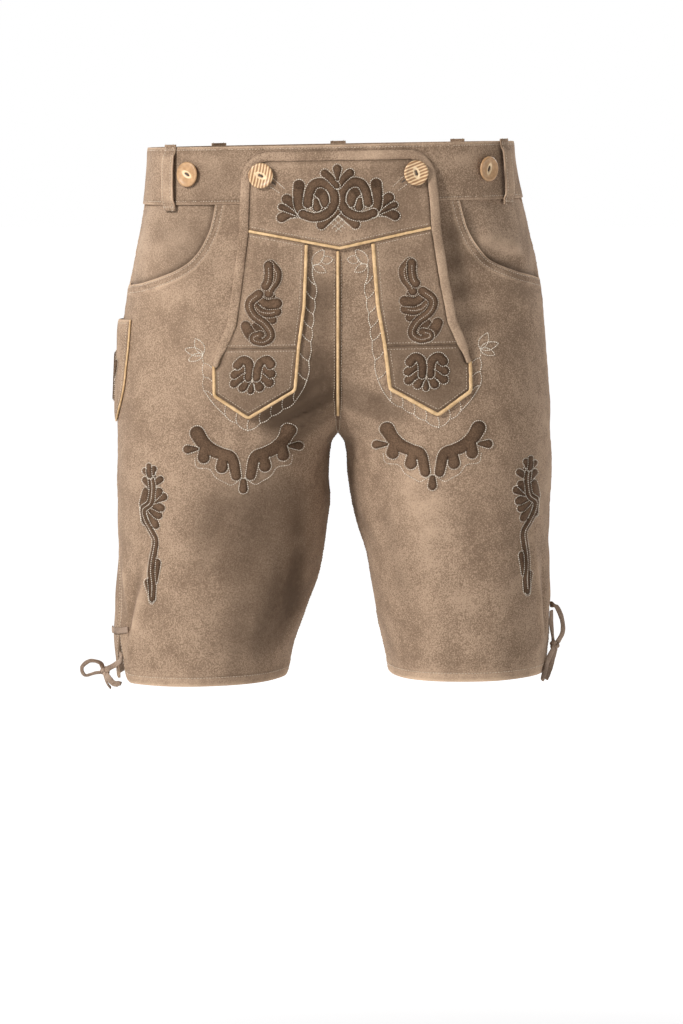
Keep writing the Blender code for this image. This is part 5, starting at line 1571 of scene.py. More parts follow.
BUTTON_TURNS = table(  # how each button happens to be turned, in degrees
    "ButtonTurns",
    "side flap_lean flap_grain brace_lean back_lean",
    (RIGHT, 65, 78, 62, 75),
    (LEFT, 18, 20, -20, 75),
)
print("buttons:", 2 * max(row.radius for row in BUTTON_PROFILE), "mm across")


# %% Buttons
def button(node, seat, out, lean, banded=0.0, grain=0.0):
    """A horn button on its shank; lean turns its recess from upright, grain the bands from level."""
    across = unit(np.cross(out, (0, 0, 1)))
    up = np.cross(across, out)
    spin = 2 * math.pi * np.arange(BUTTON_SPOKES) / BUTTON_SPOKES
    radius = column(BUTTON_PROFILE, "radius")[:, None] + 0 * spin
    height = column(BUTTON_PROFILE, "height")[:, None] + 0 * spin
    a, b = radius * np.cos(spin), radius * np.sin(spin)
    slope, bands = math.radians(lean), math.radians(grain)
    long, wide = a * math.sin(slope) + b * math.cos(slope), a * math.cos(slope) - b * math.sin(slope)
    oval = np.sqrt((long / RECESS[0]) ** 2 + (wide / RECESS[1]) ** 2)
    face = (np.arange(len(BUTTON_PROFILE)) >= FACE_RING)[:, None]
    height = height - RECESS[2] * ease((1.25 - oval) / 0.45) * face
    points = seat + across * a[..., None] + up * b[..., None] + out * height[..., None]
    # paler round the recess's rim, darker inside the recess
    numbers = {
        "grain": a * math.sin(bands) + b * math.cos(bands),
        "banded": banded + 0 * wide,
        "worn": ease((1.75 - oval) / 0.35) * ease((oval - 0.75) / 0.25) * face * 0.9,
        "grimy": face * (oval < 0.62) * 0.85,
    }
    rows = len(BUTTON_PROFILE)
    faces = [*grid_faces(rows, BUTTON_SPOKES, close=True)]
    faces.append(tuple(range(BUTTON_SPOKES))[::-1])
    faces.append(tuple(range((rows - 1) * BUTTON_SPOKES, rows * BUTTON_SPOKES)))
    made = add_piece(f"{node}_horn", points.reshape(-1, 3), faces, horn_finish, numbers)
    settle(made, "horn", node)
    bar = np.linspace(-THREAD_REACH, THREAD_REACH, 9)[:, None]
    way = across * math.sin(slope) + up * math.cos(slope)
    path = seat + way * bar + out * (FACE_HEIGHT - 0.35 - 0.05 * bar**2)
    settle(tube(f"{node}_thread", path, np.tile(out, (9, 1)), 0.75, 0.5, 8, DARK_THREAD), "horn")


print("faces of a button:", (len(BUTTON_PROFILE) - 1) * BUTTON_SPOKES + 2)

# %% The six buttons
BAND_SEAT = BAND_OUT + SEAM_GAP + 0.1  # clearance of what lies on the waistband
for side, flap_lean, flap_grain, brace_lean, back_lean in BUTTON_TURNS:
    name = SIDE_NAMES[side]
    x, z = side * FLAP_BUTTON[0], FLAP_BUTTON[1]
    seat = on_flap(x, z, SEAM_GAP + 0.4)
    button(f"flap_button_{name}", seat, outward(on_flap, x, z), flap_lean, 1.0, flap_grain)
    x, z = side * BRACE_BUTTON[0], BRACE_BUTTON[1]
    button(f"brace_button_{name}", front_place(x, z, BAND_SEAT), outward(front_place, x, z), brace_lean)
    where = (side, "back", BACK_BUTTON_Z, arc_across(side, "back", BACK_BUTTON_Z, BACK_BUTTON_ACROSS))
    button(f"back_button_{name}", cloth(*where, BAND_SEAT + 0.3), outward(cloth, *where), back_lean)
print("buttons on the waistband stand", round(BAND_SEAT, 1), "mm off the cloth")

# %% [markdown]
# ## Belt loops
# A loop is a strip of suede bent over the belt's way and sewn flat at both ends. Its middle line
# follows a smooth bow, and its long edges are pressed thin by their two rows of stitches.

# %% Sizes of the belt loops
LOOP_PROFILE = table(
    "LoopRow",
    "z share",
    (BAND_TOP + 2.5, 0.0),
    (BAND_TOP - 4, 0.06),
    (BAND_TOP - 8, 0.8),
    (BAND_TOP - 16, 1.0),
    (BAND_BOTTOM + 12, 1.0),
    (BAND_BOTTOM + 4, 0.8),
    (BAND_BOTTOM, 0.1),
    (BAND_BOTTOM - 5, 0.0),
)
LOOP_WIDTH, LOOP_STAND = 14.0, 3.4
LOOP_STITCH = 2.2  # distance of the stitches from a long edge
LOOP_LEVEL, LOOP_FRONT_ACROSS, LOOP_BACK_ACROSS = -25.0, 146.0, 108.0
LOOP_COLUMNS = 21
PROFILE_SCALE = 20  # the shares are drawn this large while their line is cut into steps
LoopLine = namedtuple("LoopLine", "place heights bow")
LOOP_LINES = []
print("belt loops reach from", LOOP_PROFILE[0].z, "to", LOOP_PROFILE[-1].z, "mm")


# %% One belt loop
def belt_loop(node, place):
    """A belt loop; place(z, along, lift) gives points beside its centre line."""
    line = resampled([(row.z, row.share * PROFILE_SCALE) for row in LOOP_PROFILE], 1.2)
    bow = np.convolve(np.pad(line[:, 1], 3, mode="edge"), np.ones(7) / 7, mode="valid") / PROFILE_SCALE
    columns = np.linspace(-0.5, 0.5, LOOP_COLUMNS) * LOOP_WIDTH
    z, along = np.meshgrid(line[:, 0], columns, indexing="ij")
    edge = LOOP_WIDTH / 2 - np.abs(along)
    share = np.broadcast_to(bow[:, None], z.shape)
    stand = BAND_SEAT + LOOP_STAND * share
    crown = 0.35 * (1 - (2 * along / LOOP_WIDTH) ** 2) - 0.4 * hump(edge, 0.9)
    relief = crown + groove(edge, LOOP_STITCH, 0.22) + 0.12 * np.sin(z * 0.5 + along * 0.2)
    numbers = {"worn": 0.45 * share + 0.4 * hump(edge, 1.2), "grimy": 0.3 * (1 - share)}
    outer, inner = place(z, along, stand + HIDE + relief), place(z, along, stand)
    made = suede_piece(node, outer, inner, numbers, edge_round=0.1)
    long = path_length(outer[:, LOOP_COLUMNS // 2])
    LOOP_LINES.append(LoopLine(place, line[:, 0], bow))
    print(node, round(long, 4), "m long")


print("points across a loop:", LOOP_COLUMNS)


# %% Five belt loops
def beside_loop(side, face, across):
    """Places beside the centre line of a loop on one side of the waist."""

    def place(z, along, lift):
        return cloth(side, face, z, arc_across(side, face, LOOP_LEVEL, across) + along, lift)

    return place


def centre_back(z, along, lift):
    """Places beside the centre back line, on both sides of it."""
    points = cloth(LEFT, "back", z, np.abs(along), lift)
    points[..., 0] = along
    return points


for side, name in SIDE_NAMES.items():
    front, back = beside_loop(side, "front", LOOP_FRONT_ACROSS), beside_loop(side, "back", LOOP_BACK_ACROSS)
    belt_loop(f"belt_loop_front_{name}", front)
    belt_loop(f"belt_loop_back_{name}", back)
belt_loop("belt_loop_centre_back", centre_back)

# %% [markdown]
# ## Applied motifs
# The motifs are dark suede cut into scrolls and leaves, laid over soft padding and sewn down round
# every lobe. Each lobe is a flat stroke with a width at its start and at its end. A fine grid over
# the strokes measures how deep a place lies inside a lobe. A rounded rise over each lobe makes the
# padding, and a lobe that lies on another presses a crease into it. The outline is cut from the grid
# where that depth is nothing, so neighbouring lobes run together as one cut piece.

# %% Lobes on the flap
Lobe = namedtuple("Lobe", "name start end route")  # widths at the start and at the end
YOKE_LOBES = [  # one half; u is measured outwards from the middle
    Lobe("ring ground", 17, 14, [(14, -45), (16.5, -52)]),
    Lobe("leaf ground", 12, 10, [(31, -50), (40, -57)]),
    Lobe("bud ground", 9, 7, [(0, -33), (0, -54)]),
    Lobe("roof", 4.5, 7.5, [(0.3, -57.5), (7.2, -62.8), (14.7, -69)]),
    Lobe("inner leaf", 9.5, 7, [(16.3, -39.4), (12.5, -44), (11, -50.2)]),
    Lobe("inner drop", 4, 6.5, [(19, -48.2), (18, -54)]),
    Lobe("low leaf", 7.5, 6, [(48.9, -62.2), (42.1, -59.1), (32.7, -58.5)]),
    Lobe("small leaf", 5, 5, [(48.7, -52.9), (42.7, -54.8), (35.2, -57.9)]),
    Lobe("middle leaf", 8, 6, [(43.9, -46.3), (38.3, -50.4), (32.7, -56)]),
    Lobe("tall leaf", 9, 7, [(33.1, -34.3), (34, -43.6), (33.1, -53.5), (30.2, -59.7)]),
    Lobe(
        "ring",
        7.5,
        7,
        [(25.9, -50.4), (24.6, -41.7), (20.3, -33.9), (12.2, -32.7), (5.1, -38.6), (2.6, -47.9), (6.3, -56.3)]
        + [(13.4, -61.2), (22.1, -62.2), (30.2, -59.5)],
    ),
    Lobe("bud side", 6.5, 4.5, [(10.9, -24.4), (5.9, -28.7), (0.6, -35.5)]),
    Lobe("bud", 7, 2, [(0, -20.6), (0, -25), (0, -30)]),
]
STRIP_LOBES = [  # wearer's right; the left mirrors it
    Lobe("middle ground", 15, 13, [(69, -135), (66, -145)]),
    Lobe("curl ground", 19, 17, [(69.5, -161), (69, -165)]),
    Lobe("head ground", 9, 8, [(60, -107), (60, -120)]),
    Lobe("lower tongue", 6, 7, [(75, -145), (67.5, -150.5), (59.5, -151)]),
    Lobe("middle tongue", 6, 7.5, [(74, -138.5), (69.5, -143.6), (62, -145.2), (55.5, -143.8)]),
    Lobe("inner tongue", 6, 6, [(67.5, -131), (59.9, -130.6)]),
    Lobe("upper tongue", 6, 8.5, [(70, -133), (64, -137.4), (55.2, -136.8)]),
    Lobe("side lobe", 8, 10, [(82.5, -156.2), (79.5, -162.4), (74.5, -167.5)]),
    Lobe(
        "spine",
        7.5,
        6,
        [(70.4, -128.7), (77.3, -134.3), (78.5, -140.5), (74.6, -147.9), (66.5, -154.1), (61.7, -161.6)]
        + [(62.1, -167), (68.2, -170.5), (75.1, -169), (75.7, -165.9), (70.1, -164)],
    ),
    Lobe("head right", 8.5, 7, [(60, -103.2), (55, -109.4), (55.8, -116.9), (60.1, -123.1), (62, -128)]),
    Lobe("head left", 7.5, 7, [(61.4, -103.8), (61.3, -110.7), (62.3, -117.5), (64.6, -121.4)]),
]
POINT_LOBES = [  # one half, measured from its own middle
    Lobe("drop", 2.5, 5, [(0, -206.3), (0, -213)]),
    Lobe("low lobe", 5, 7, [(2, -201), (4.8, -205.5), (7.4, -210)]),
    Lobe("side lobe", 5.5, 7.2, [(3, -197.5), (9, -201), (15.2, -206)]),
    Lobe("small side", 5, 6.8, [(6.2, -193.5), (11, -195.2), (16, -198.6)]),
    Lobe("curl", 6.2, 7.5, [(3.5, -201.5), (3.6, -193), (5.6, -188), (10.4, -186.3), (14.4, -190.2)]),
]
POINT_MOTIF_MIDDLE = {RIGHT: 77.0, LEFT: 73.5}
POINT_MOTIF_SLANT = {RIGHT: 0.16, LEFT: -0.03}  # how far its lower end swings out, for each mm down
print("lobes on the flap:", len(YOKE_LOBES) + len(STRIP_LOBES) + len(POINT_LOBES))

# %% Lobes on the legs
ARM = [(40, -249.5), (35.1, -257.7), (27.5, -264.3), (18.7, -268.2), (10, -272), (6.2, -287.4)]
GARLAND_LOBES = [  # one half, measured from its own middle
    Lobe("end leaf", 2.5, 7, [(40.5, -263.2), (48.7, -263.8)]),
    Lobe("outer lobe", 7.5, 10, [(33.5, -261.2), (34.6, -270.9)]),
    Lobe("middle lobe", 7, 10, [(17.1, -267.8), (18.7, -279.7)]),
    Lobe("arm", 12, 8, ARM),
    Lobe("drop", 5, 7, [(0, -292.9), (0, -299.5)]),
]
GARLAND_MIDDLE = 83.0
OUTER_LEG_LOBES = [  # u is measured outwards from the middle
    Lobe("fan ground", 13, 9, [(1.5, -303), (0.5, -313), (2.5, -327)]),
    Lobe("top ground", 8, 8, [(3, -283), (2, -293)]),
    Lobe("low leaf", 6.5, 4.5, [(-2.4, -364.5), (-0.5, -381)]),
    Lobe("end", 5.5, 3.5, [(4.2, -382), (2.6, -399)]),
    Lobe("back", 5, 5, [(10, -313), (9.5, -321), (9, -329)]),
    Lobe("low feather", 6, 6.5, [(3.4, -319.1), (-1.6, -331.3)]),
    Lobe("fourth feather", 6, 6.5, [(2.3, -315.8), (-4.3, -322.4)]),
    Lobe("third feather", 6, 6.5, [(1.2, -312.5), (-6.5, -315.8)]),
    Lobe("second feather", 6, 6.5, [(0.1, -309.1), (-8.7, -305.8)]),
    Lobe("top feather", 6, 6.5, [(0.1, -306.9), (-4.9, -301.4)]),
    Lobe("fan lobe", 6, 8, [(6.7, -301.4), (8.9, -313.6)]),
    Lobe("left bud", 5, 5, [(1.5, -296), (-6.5, -290.3)]),
    Lobe("right bud", 5, 5.5, [(3, -297), (7.8, -292)]),
    Lobe(
        "spine",
        5,
        5,
        [(2.4, -289), (0.65, -297), (2.3, -311.3), (8.9, -318), (7.8, -326.9), (3.4, -335.7), (-1, -344.6)]
        + [(0.1, -355.7), (1.2, -364.6), (1.75, -374.6), (1.2, -385.6), (1.75, -396.7)],
    ),
    Lobe("top bud left", 4, 4.5, [(2.4, -288), (-0.4, -281.4)]),
    Lobe("top bud right", 4, 4.5, [(4.2, -288), (8.4, -283.8)]),
    Lobe("top bud", 4, 4.5, [(3.4, -288), (4.5, -279.4)]),
]
OUTER_LEG_MIDDLE = {RIGHT: 162.0, LEFT: 165.5}
KNIFE_LOBES = [  # u is measured forwards from the side seam
    Lobe("back leaf", 5, 6, [(15, -208), (9, -201), (7, -193)]),
    Lobe("leaf", 5, 6.5, [(15, -204), (22, -198), (27, -191)]),
    Lobe("stem", 5, 7, [(15, -222), (14, -208), (17, -196), (15, -184)]),
]
print("lobes on the legs:", len(GARLAND_LOBES) + len(OUTER_LEG_LOBES) + len(KNIFE_LOBES))

# %% Padding over the lobes
MOTIF_CELL = 0.75
PADDING = 1.7  # rise of the padding over a lobe of the full half width
FULL_HALF = 3.5
GROUND_HALF, GROUND_RISE = 4.4, 0.7  # a wider lobe is a flat ground for others
LINE_STEP = 0.8


def lobe_lines(lobes, mirrors):
    """Fine flat lines of the lobes, with half the width at every point."""
    lines = []
    for lobe in lobes:
        line = spline(lobe.route, LINE_STEP)
        on_axis = np.abs(line[:, 0]).max() < 0.1
        half = np.linspace(lobe.start, lobe.end, len(line)) / 2
        for mirror in mirrors[:1] if on_axis else mirrors:
            lines.append((line * np.array([mirror, 1]), half))
    return lines


def padding(flat, lines, layered):
    """How deep flat points lie inside the lobes, and the padding's height there."""
    inside, height = np.full(len(flat), -99.0), np.zeros(len(flat))
    for line, half in lines:
        gap = np.linalg.norm(flat[:, None] - line, axis=2)
        nearest = np.argmin(gap - half, axis=1)
        reach = (half - gap).max(axis=1)
        inside = np.maximum(inside, reach)
        share = np.clip(1 - reach / half[nearest], 0, 1)
        full = np.sqrt(np.minimum(half[nearest], FULL_HALF + 0.1) / FULL_HALF)
        dome = PADDING * full * np.sqrt(1 - share**2.3)
        dome = np.where(layered & (half[nearest] > GROUND_HALF), np.minimum(dome, GROUND_RISE), dome)
        crease = 0.75 * hump(np.minimum(reach, 0), 0.7) * layered
        over = dome if layered else np.maximum(dome, height)
        height = np.where(reach > 0, over, height * (1 - crease))
    return inside, height


garland_arm = lobe_lines(GARLAND_LOBES, (1,))[3]
print("points along a garland's arm:", len(garland_arm[0]))


# %% Cutting along the outline
def cut_outline(depth):
    """Marching squares: cells of a grid cut along depth nought, as polygons of corner keys."""
    rows, columns = depth.shape
    polygons, rim = [], []
    inside = depth > 0
    busy = inside[:-1, :-1] | inside[1:, :-1] | inside[:-1, 1:] | inside[1:, 1:]
    for i, j in np.argwhere(busy):
        corners = [(i, j), (i, j + 1), (i + 1, j + 1), (i + 1, j)]
        polygon = []
        for here, after in zip(corners, corners[1:] + corners[:1]):
            if inside[here]:
                polygon.append((here, here))
            if inside[here] != inside[after]:
                polygon.append((min(here, after), max(here, after)))
        polygons.append(polygon)
        for here, after in zip(polygon, polygon[1:] + polygon[:1]):
            if here[0] != here[1] and after[0] != after[1]:
                rim.append((here, after))
    return polygons, rim


disc = 2.0 - np.hypot(*np.mgrid[-3:4, -3:4])
print("a small disc:", len(cut_outline(disc)[0]), "polygons and", len(cut_outline(disc)[1]), "edges round it")

# %% Making a motif
MOTIF_EDGE, MOTIF_SINK = 0.35, -0.25  # the cut edge stands over the cloth and reaches into its nap
NEAR_CUT = 0.07  # a grid point nearer to the outline counts as this deep inside
MOTIF_LINES = {}


def motif(node, lobes, mirrors, place, layered=True):
    """A padded motif; place(u, z, lift) gives points over the cloth for flat places."""
    lines = lobe_lines(lobes, mirrors)
    ends = np.vstack([line for line, _ in lines])
    low, high = ends.min(axis=0) - 6, ends.max(axis=0) + 6
    u, z = (np.arange(low[k], high[k], MOTIF_CELL) for k in (0, 1))
    flat = np.stack(np.meshgrid(u, z), axis=-1)
    depth, _ = padding(flat.reshape(-1, 2), lines, layered)
    depth = depth.reshape(flat.shape[:2])
    depth = np.where(np.abs(depth) < NEAR_CUT, NEAR_CUT, depth)
    polygons, rim = cut_outline(depth)
    keys = sorted({key for polygon in polygons for key in polygon})
    number = {key: index for index, key in enumerate(keys)}
    first, second = (tuple(np.array([key[k] for key in keys]).T) for k in (0, 1))
    near, far = depth[first], depth[second]
    share = np.where(near == far, 0.0, near / np.where(near == far, 1.0, near - far))
    spots = flat[first] + (flat[second] - flat[first]) * share[:, None]
    inside, height = padding(spots, lines, layered)
    fuzz = 0.06 * np.sin(spots[:, 0] * 1.9) * np.sin(spots[:, 1] * 1.7)
    top = place(spots[:, 0], spots[:, 1], MOTIF_EDGE + height + fuzz)
    bottom = place(spots[:, 0], spots[:, 1], MOTIF_SINK)
    count = len(keys)
    faces = [[number[key] for key in polygon] for polygon in polygons]
    faces += [[count + index for index in face[::-1]] for face in faces]
    faces += [(number[b], number[a], count + number[a], count + number[b]) for a, b in rim]
    risen = np.clip(height / PADDING, 0, 1)
    # painted highlight on the padding's tops, and painted shade low on the lobes near their edges and creases
    numbers = {
        "worn": np.append(0.34 * risen**2, np.zeros(count)),
        "grimy": np.append(0.8 * (1 - risen) * (inside > 0.3), np.zeros(count)),
    }
    made = add_piece(f"{node}_suede", np.vstack([top, bottom]), faces, MOTIF_SUEDE, numbers)
    settle(made, "motif_suede", node)
    MOTIF_LINES[node] = (lines, place, layered)
    print(node, len(made.data.polygons), "faces")


print("a cell of the grid is", MOTIF_CELL, "mm wide")


# %% Places of the motifs
def over_flap(side, middle=0.0, slant=0.0):
    """Places on the flap, measured outwards from a middle line that may slant."""

    def place(u, z, lift):
        return on_flap(side * (middle + u + slant * (STRIP_SEAM - 18 - z)), z, lift)

    return place


def over_leg(side, middle=0.0, swung=False):
    """Places on the worked face of a leg's front, beside the swung flap or not."""

    def place(u, z, lift):
        u, z = np.broadcast_arrays(np.asarray(u, float), np.asarray(z, float))
        x = side * (middle + u) + flap_sway(z) * swung
        return on_panel(side, "front", z, arc_across(side, "front", z, np.abs(x)), lift)

    return place


print("middle of the right garland:", over_leg(RIGHT, GARLAND_MIDDLE)(0.0, -272.0, 0.0).round(1))

# %% Motifs on the flap and legs
BOTH = (1, -1)
YOKE_SHIFT = -0.8  # the yoke's motif is sewn a little off the middle
over_yoke = over_flap(LEFT, YOKE_SHIFT)
motif("motif_yoke", YOKE_LOBES, BOTH, over_yoke)
for side, name in SIDE_NAMES.items():
    motif(f"motif_strip_{name}", STRIP_LOBES, (1,), over_flap(side))
    point = over_flap(side, POINT_MOTIF_MIDDLE[side], POINT_MOTIF_SLANT[side])
    motif(f"motif_point_{name}", POINT_LOBES, BOTH, point)
    motif(f"motif_garland_{name}", GARLAND_LOBES, BOTH, over_leg(side, GARLAND_MIDDLE), False)
    motif(f"motif_outer_leg_{name}", OUTER_LEG_LOBES, (1,), over_leg(side, OUTER_LEG_MIDDLE[side]))
print("motifs on the flap and legs:", len(MOTIF_LINES))

# %% [markdown]
# ## Knife pocket
# A narrow pouch sits on the wearer's right leg, let into the side seam, as such shorts have for a
# knife. Its mouth stands off the leg. The rounded front edge is piped in orange-tan leather.

# %% Places on the knife pocket
POUCH = table(
    "PouchEdge",
    "z reach",
    (-243, 13),
    (-239, 22),
    (-231, 32),
    (-219, 41),
    (-205, 45.5),
    (-185, 47.5),
    (-168, 46),
    (-152, 43),
)
POUCH_LOW, POUCH_MOUTH = POUCH[0].z, POUCH[-1].z
POUCH_LIFT, POUCH_BACK = 0.6, 1.5
POUCH_PIPING = 0.95


def pouch_reach(z):
    """How far forwards the knife pocket reaches from the side seam."""
    return smooth_value(POUCH, "reach", np.asarray(z, float))


def pouch_place(u, z, lift):
    """Points over the knife pocket; u is measured forwards from the side seam."""
    u, z = np.asarray(u, float), np.asarray(z, float)
    inside = np.clip(np.minimum(u - POUCH_BACK, pouch_reach(z) - u), 0, None) / 18
    rise = POUCH_LIFT + (0.9 + 2.4 * ease((z + 200) / 48)) * ease(inside)
    return cloth(RIGHT, "front", z, full_arc(RIGHT, "front", z) - u, rise + lift)


def over_pouch(u, z, lift):
    """Points over the knife pocket's outer face."""
    return pouch_place(u, z, HIDE + lift)


print("front edge of the knife pocket:", over_pouch(POUCH[3].reach, POUCH[3].z, 0.0).round(1))


# %% Knife pocket
def knife_pocket():
    """The pouch's front and its piping."""
    clear = POUCH_PIPING + SEAM_GAP
    heights = np.append(np.linspace(POUCH_LOW + clear, -228, 14), np.linspace(-226, POUCH_MOUTH, 38))
    z, share = np.meshgrid(heights, np.linspace(0, 1, 40), indexing="ij")
    slope = np.gradient(pouch_reach(heights), heights)[:, None]
    end = pouch_reach(z) - clear * np.hypot(1, slope) * 1.05
    u = POUCH_BACK + (end - POUCH_BACK) * share
    edge = np.minimum(end - u, z - POUCH_LOW)
    from_mouth = POUCH_MOUTH - z
    relief = groove(edge, 2.4, 0.25) + pucker(z, edge, 7.0, 0.12) + groove(from_mouth, 3.0, 0.25)
    relief -= 0.4 * hump(from_mouth, 0.9)
    numbers = {"worn": 0.5 * hump(from_mouth, 2.2) + 0.15, "grimy": 0.5 * hump(edge, 1.6)}
    made = suede_piece("knife_pocket", over_pouch(u, z, relief), pouch_place(u, z, 0.0), numbers)
    edge_line = spline([(row.reach, row.z) for row in POUCH], 1.5).T
    path, out = pouch_place(*edge_line, POUCH_PIPING * 0.8), outward(pouch_place, *edge_line)
    piping_bar("knife_pocket_piping", path, out, POUCH_PIPING, POUCH_PIPING)


knife_pocket()
motif("motif_knife_pocket", KNIFE_LOBES, (1,), over_pouch)
print("knife pocket:", POUCH_MOUTH - POUCH_LOW, "mm deep")

# %% [markdown]
# ## Leg laces
# At each hem the side seam is left open and laced with a flat suede thong. On the wearer's right it
# crosses the slit once and ends in a bow; on the left it ends in a knotted loop. A thong has one real
# length, so each stretch is a path with as many points as it needs, and the flat bar turns with the
# cloth under it, or hangs free.

# %% Turns of a thong
THONG_WIDE, THONG_THICK, THONG_STEP = 5.4, 1.8, 1.1
CUT_END = 0.3  # how much narrower a free end is cut
KnotSize = namedtuple("KnotSize", "across deep tall")
KNOT = KnotSize(4.6, 4.0, 4.2)
Turn = namedtuple("Turn", "place out")  # a place on the way, and which way the thong's flat face looks


def on_slit(side, ahead, z, lift, forward=0.0):
    """A turn on the cloth near the slit; ahead is measured forwards from the side line."""
    arc = full_arc(side, "front", z) - ahead
    place = cloth(side, "front", z, arc, lift)
    out = unit(cloth(side, "front", z, arc, lift + 4) - place)
    return Turn(place, unit(out - np.array([0.0, forward, 0.0])))


def beside_knot(centre, way, out=(0, -1, 0.2)):
    """A turn just at a knot's surface, in the given direction."""
    way = unit(np.array(way, float))
    reach = 1 / np.linalg.norm(way / np.array(KNOT))
    return Turn(np.array(centre, float) + way * (reach - 0.3), unit(np.array(out, float)))


def free(x, y, z, out):
    """A turn in the air."""
    return Turn(np.array((x, y, z), float), unit(np.array(out, float)))


print("beside a knot at the middle:", beside_knot((0, 0, 0), (1, 0, 0)).place)


# %% Thongs
def thong(nodes, turns, taper=0.0):
    """A flat suede thong through its turns."""
    path = spline([turn.place for turn in turns], THONG_STEP)
    at, ways = np.linspace(0, len(turns) - 1, len(path)), np.array([turn.out for turn in turns])
    out = np.stack([np.interp(at, range(len(turns)), ways[:, k]) for k in range(3)], axis=1)
    run = np.arange(len(path)) * THONG_STEP
    wide = THONG_WIDE / 2 * (1 + 0.05 * np.sin(run * 0.45) + 0.03 * np.sin(run * 1.1))
    wide = wide * (1 - taper * ease((run - run[-1] + 5) / 5))
    numbers = {"worn": 0.35 + 0.25 * np.sin(run * 0.16 + 1), "grimy": 0.2 + 0.2 * np.sin(run * 0.31)}
    made = tube(f"{nodes[0]}_suede", path, unit(out), wide, THONG_THICK / 2, 14, THONG_SUEDE, numbers, 3.2)
    settle(made, "thong_leather", *nodes)
    long = path_length(path)
    line = tilted(path)
    print(nodes[0], f"{long * 1000:.0f} mm")
    return made


print("a thong is", THONG_WIDE, "x", THONG_THICK, "mm")


# %% Knots
def knot(node, centre, lean):
    """A pulled knot: the thong wound through itself, as a closed trefoil."""
    turn = np.linspace(0, 2 * math.pi, 91)
    x = np.sin(turn) + 2 * np.sin(2 * turn)
    y = np.cos(turn) - 2 * np.cos(2 * turn)
    path = np.stack([x / 3 * (KNOT.across - 1.1), -np.sin(3 * turn) * 1.7, y / 3 * (KNOT.tall - 1.0)], axis=1)
    c, s = math.cos(lean), math.sin(lean)
    path = path @ np.array([[c, 0, s], [0, 1, 0], [-s, 0, c]])
    out = unit(path * np.array([0.6, 1.6, 0.6]) + np.array([0, -0.4, 0]))
    numbers = {"worn": 0.4 + 0.2 * np.sin(turn * 3), "grimy": 0.25 + 0 * turn}
    made = tube(f"{node}_suede", path + centre, out, 1.9, 1.05, 12, THONG_SUEDE, numbers, 2.8)
    return settle(made, "thong_leather", node)


print("a knot is", 2 * KNOT.across, "mm across")


# %% Laces of the wearer's right leg
NEAR = 1.35  # a thong's middle above the cloth it lies on
BOW = np.array([-209.0, -24.0, -467.5])
crossed = ((62, -426.5), (44, -429), (20, -431), (-4, -432))
crossing = [on_slit(RIGHT, ahead, z, NEAR) for ahead, z in crossed]
thong(["lace_right_cross"], crossing)
bow_knot = knot("lace_right_knot", BOW, 0.5)
start = [on_slit(RIGHT, ahead, z, NEAR) for ahead, z in ((50, -449), (43, -457))]
tie = [
    *start,
    beside_knot(BOW, (0.55, -0.7, 0.45), (-0.5, -0.8, 0.3)),
    beside_knot(BOW, (0.35, -0.5, -0.8), (-0.3, -0.9, 0.2)),
    free(-201, -36, -477, (-0.4, -0.8, 0.3)),
    free(-194, -44, -476.5, (-0.5, -0.7, 0.5)),
]
thong(["lace_right_tie", "lace_right_end"], tie, CUT_END)
short = [
    beside_knot(BOW, (-0.1, 0.5, -0.85), (-0.7, -0.6, 0)),
    free(-208, -16, -479, (-0.8, -0.5, 0.1)),
    free(-205, -12, -484, (-0.9, -0.3, 0.2)),
]
short_end = thong(["lace_right_short_end"], short, taper=CUT_END)
loop = [
    beside_knot(BOW, (-0.5, 0, 0.85), (0.3, -0.5, 0.8)),
    free(-214, -25, -459.5, (-0.1, -0.45, 0.9)),
    free(-222.5, -28, -457.5, (-0.3, -0.45, 0.85)),
    free(-229.5, -29, -463, (-0.85, -0.5, 0.1)),
    free(-227, -27, -470.5, (-0.6, -0.5, -0.6)),
    free(-218, -24, -469, (0.1, -0.5, -0.85)),
    beside_knot(BOW, (-1, 0, -0.25), (0.1, -0.5, -0.85)),
]
thong(["lace_right_bow"], loop)

# %% Laces of the wearer's left leg
TIED = np.array([194.5, -19.0, -451.5])
left_knot = knot("lace_left_knot", TIED, -0.4)
back = [
    beside_knot(TIED, (0.2, 0.5, -0.85), (0.6, -0.8, 0.2)),
    free(192, -17, -468, (0.5, -0.85, 0.1)),
    free(187, -24, -482, (0.5, -0.85, 0.1)),
]
back_end = thong(["lace_left_back_end"], back, taper=CUT_END)
out_loop = [
    on_slit(LEFT, 8, -416, NEAR),
    free(196, -15, -417, (0.4, -0.75, 0.5)),
    free(201, -16, -428, (0.7, -0.7, 0.2)),
    free(202, -16, -440, (0.7, -0.7, 0)),
    beside_knot(TIED, (0.75, 0.3, 0.6), (0.6, -0.8, -0.1)),
]
thong(["lace_left_loop"], out_loop)
down = [on_slit(LEFT, 15, -421, NEAR + 0.8, 0.5), on_slit(LEFT, 13, -434, NEAR + 1.2, 0.8)]
end = [on_slit(LEFT, ahead, z, NEAR + 1.6, 1.2) for ahead, z in ((27, -464), (36, -471), (45, -480))]
behind_knot = beside_knot(TIED, (-0.3, 0.4, 0.9), (0.9, -0.4, 0))
under_knot = beside_knot(TIED, (-0.3, -0.7, -0.65), (0.7, -0.7, 0))
tie = [*down, behind_knot, under_knot, *end]
thong(["lace_left_tie", "lace_left_end"], tie, CUT_END)

# %% [markdown]
# ## Stitches
# Several thousand stitches hold the garment together. One Geometry Nodes tree sews them all: it turns
# a line into a curve, cuts it into equal steps, and sets a small bead of thread on each, turned along
# the line and laid flat on the leather. The line carries an arrow at each point that says which way
# the leather faces. A seeded random size keeps the rows from looking drawn.

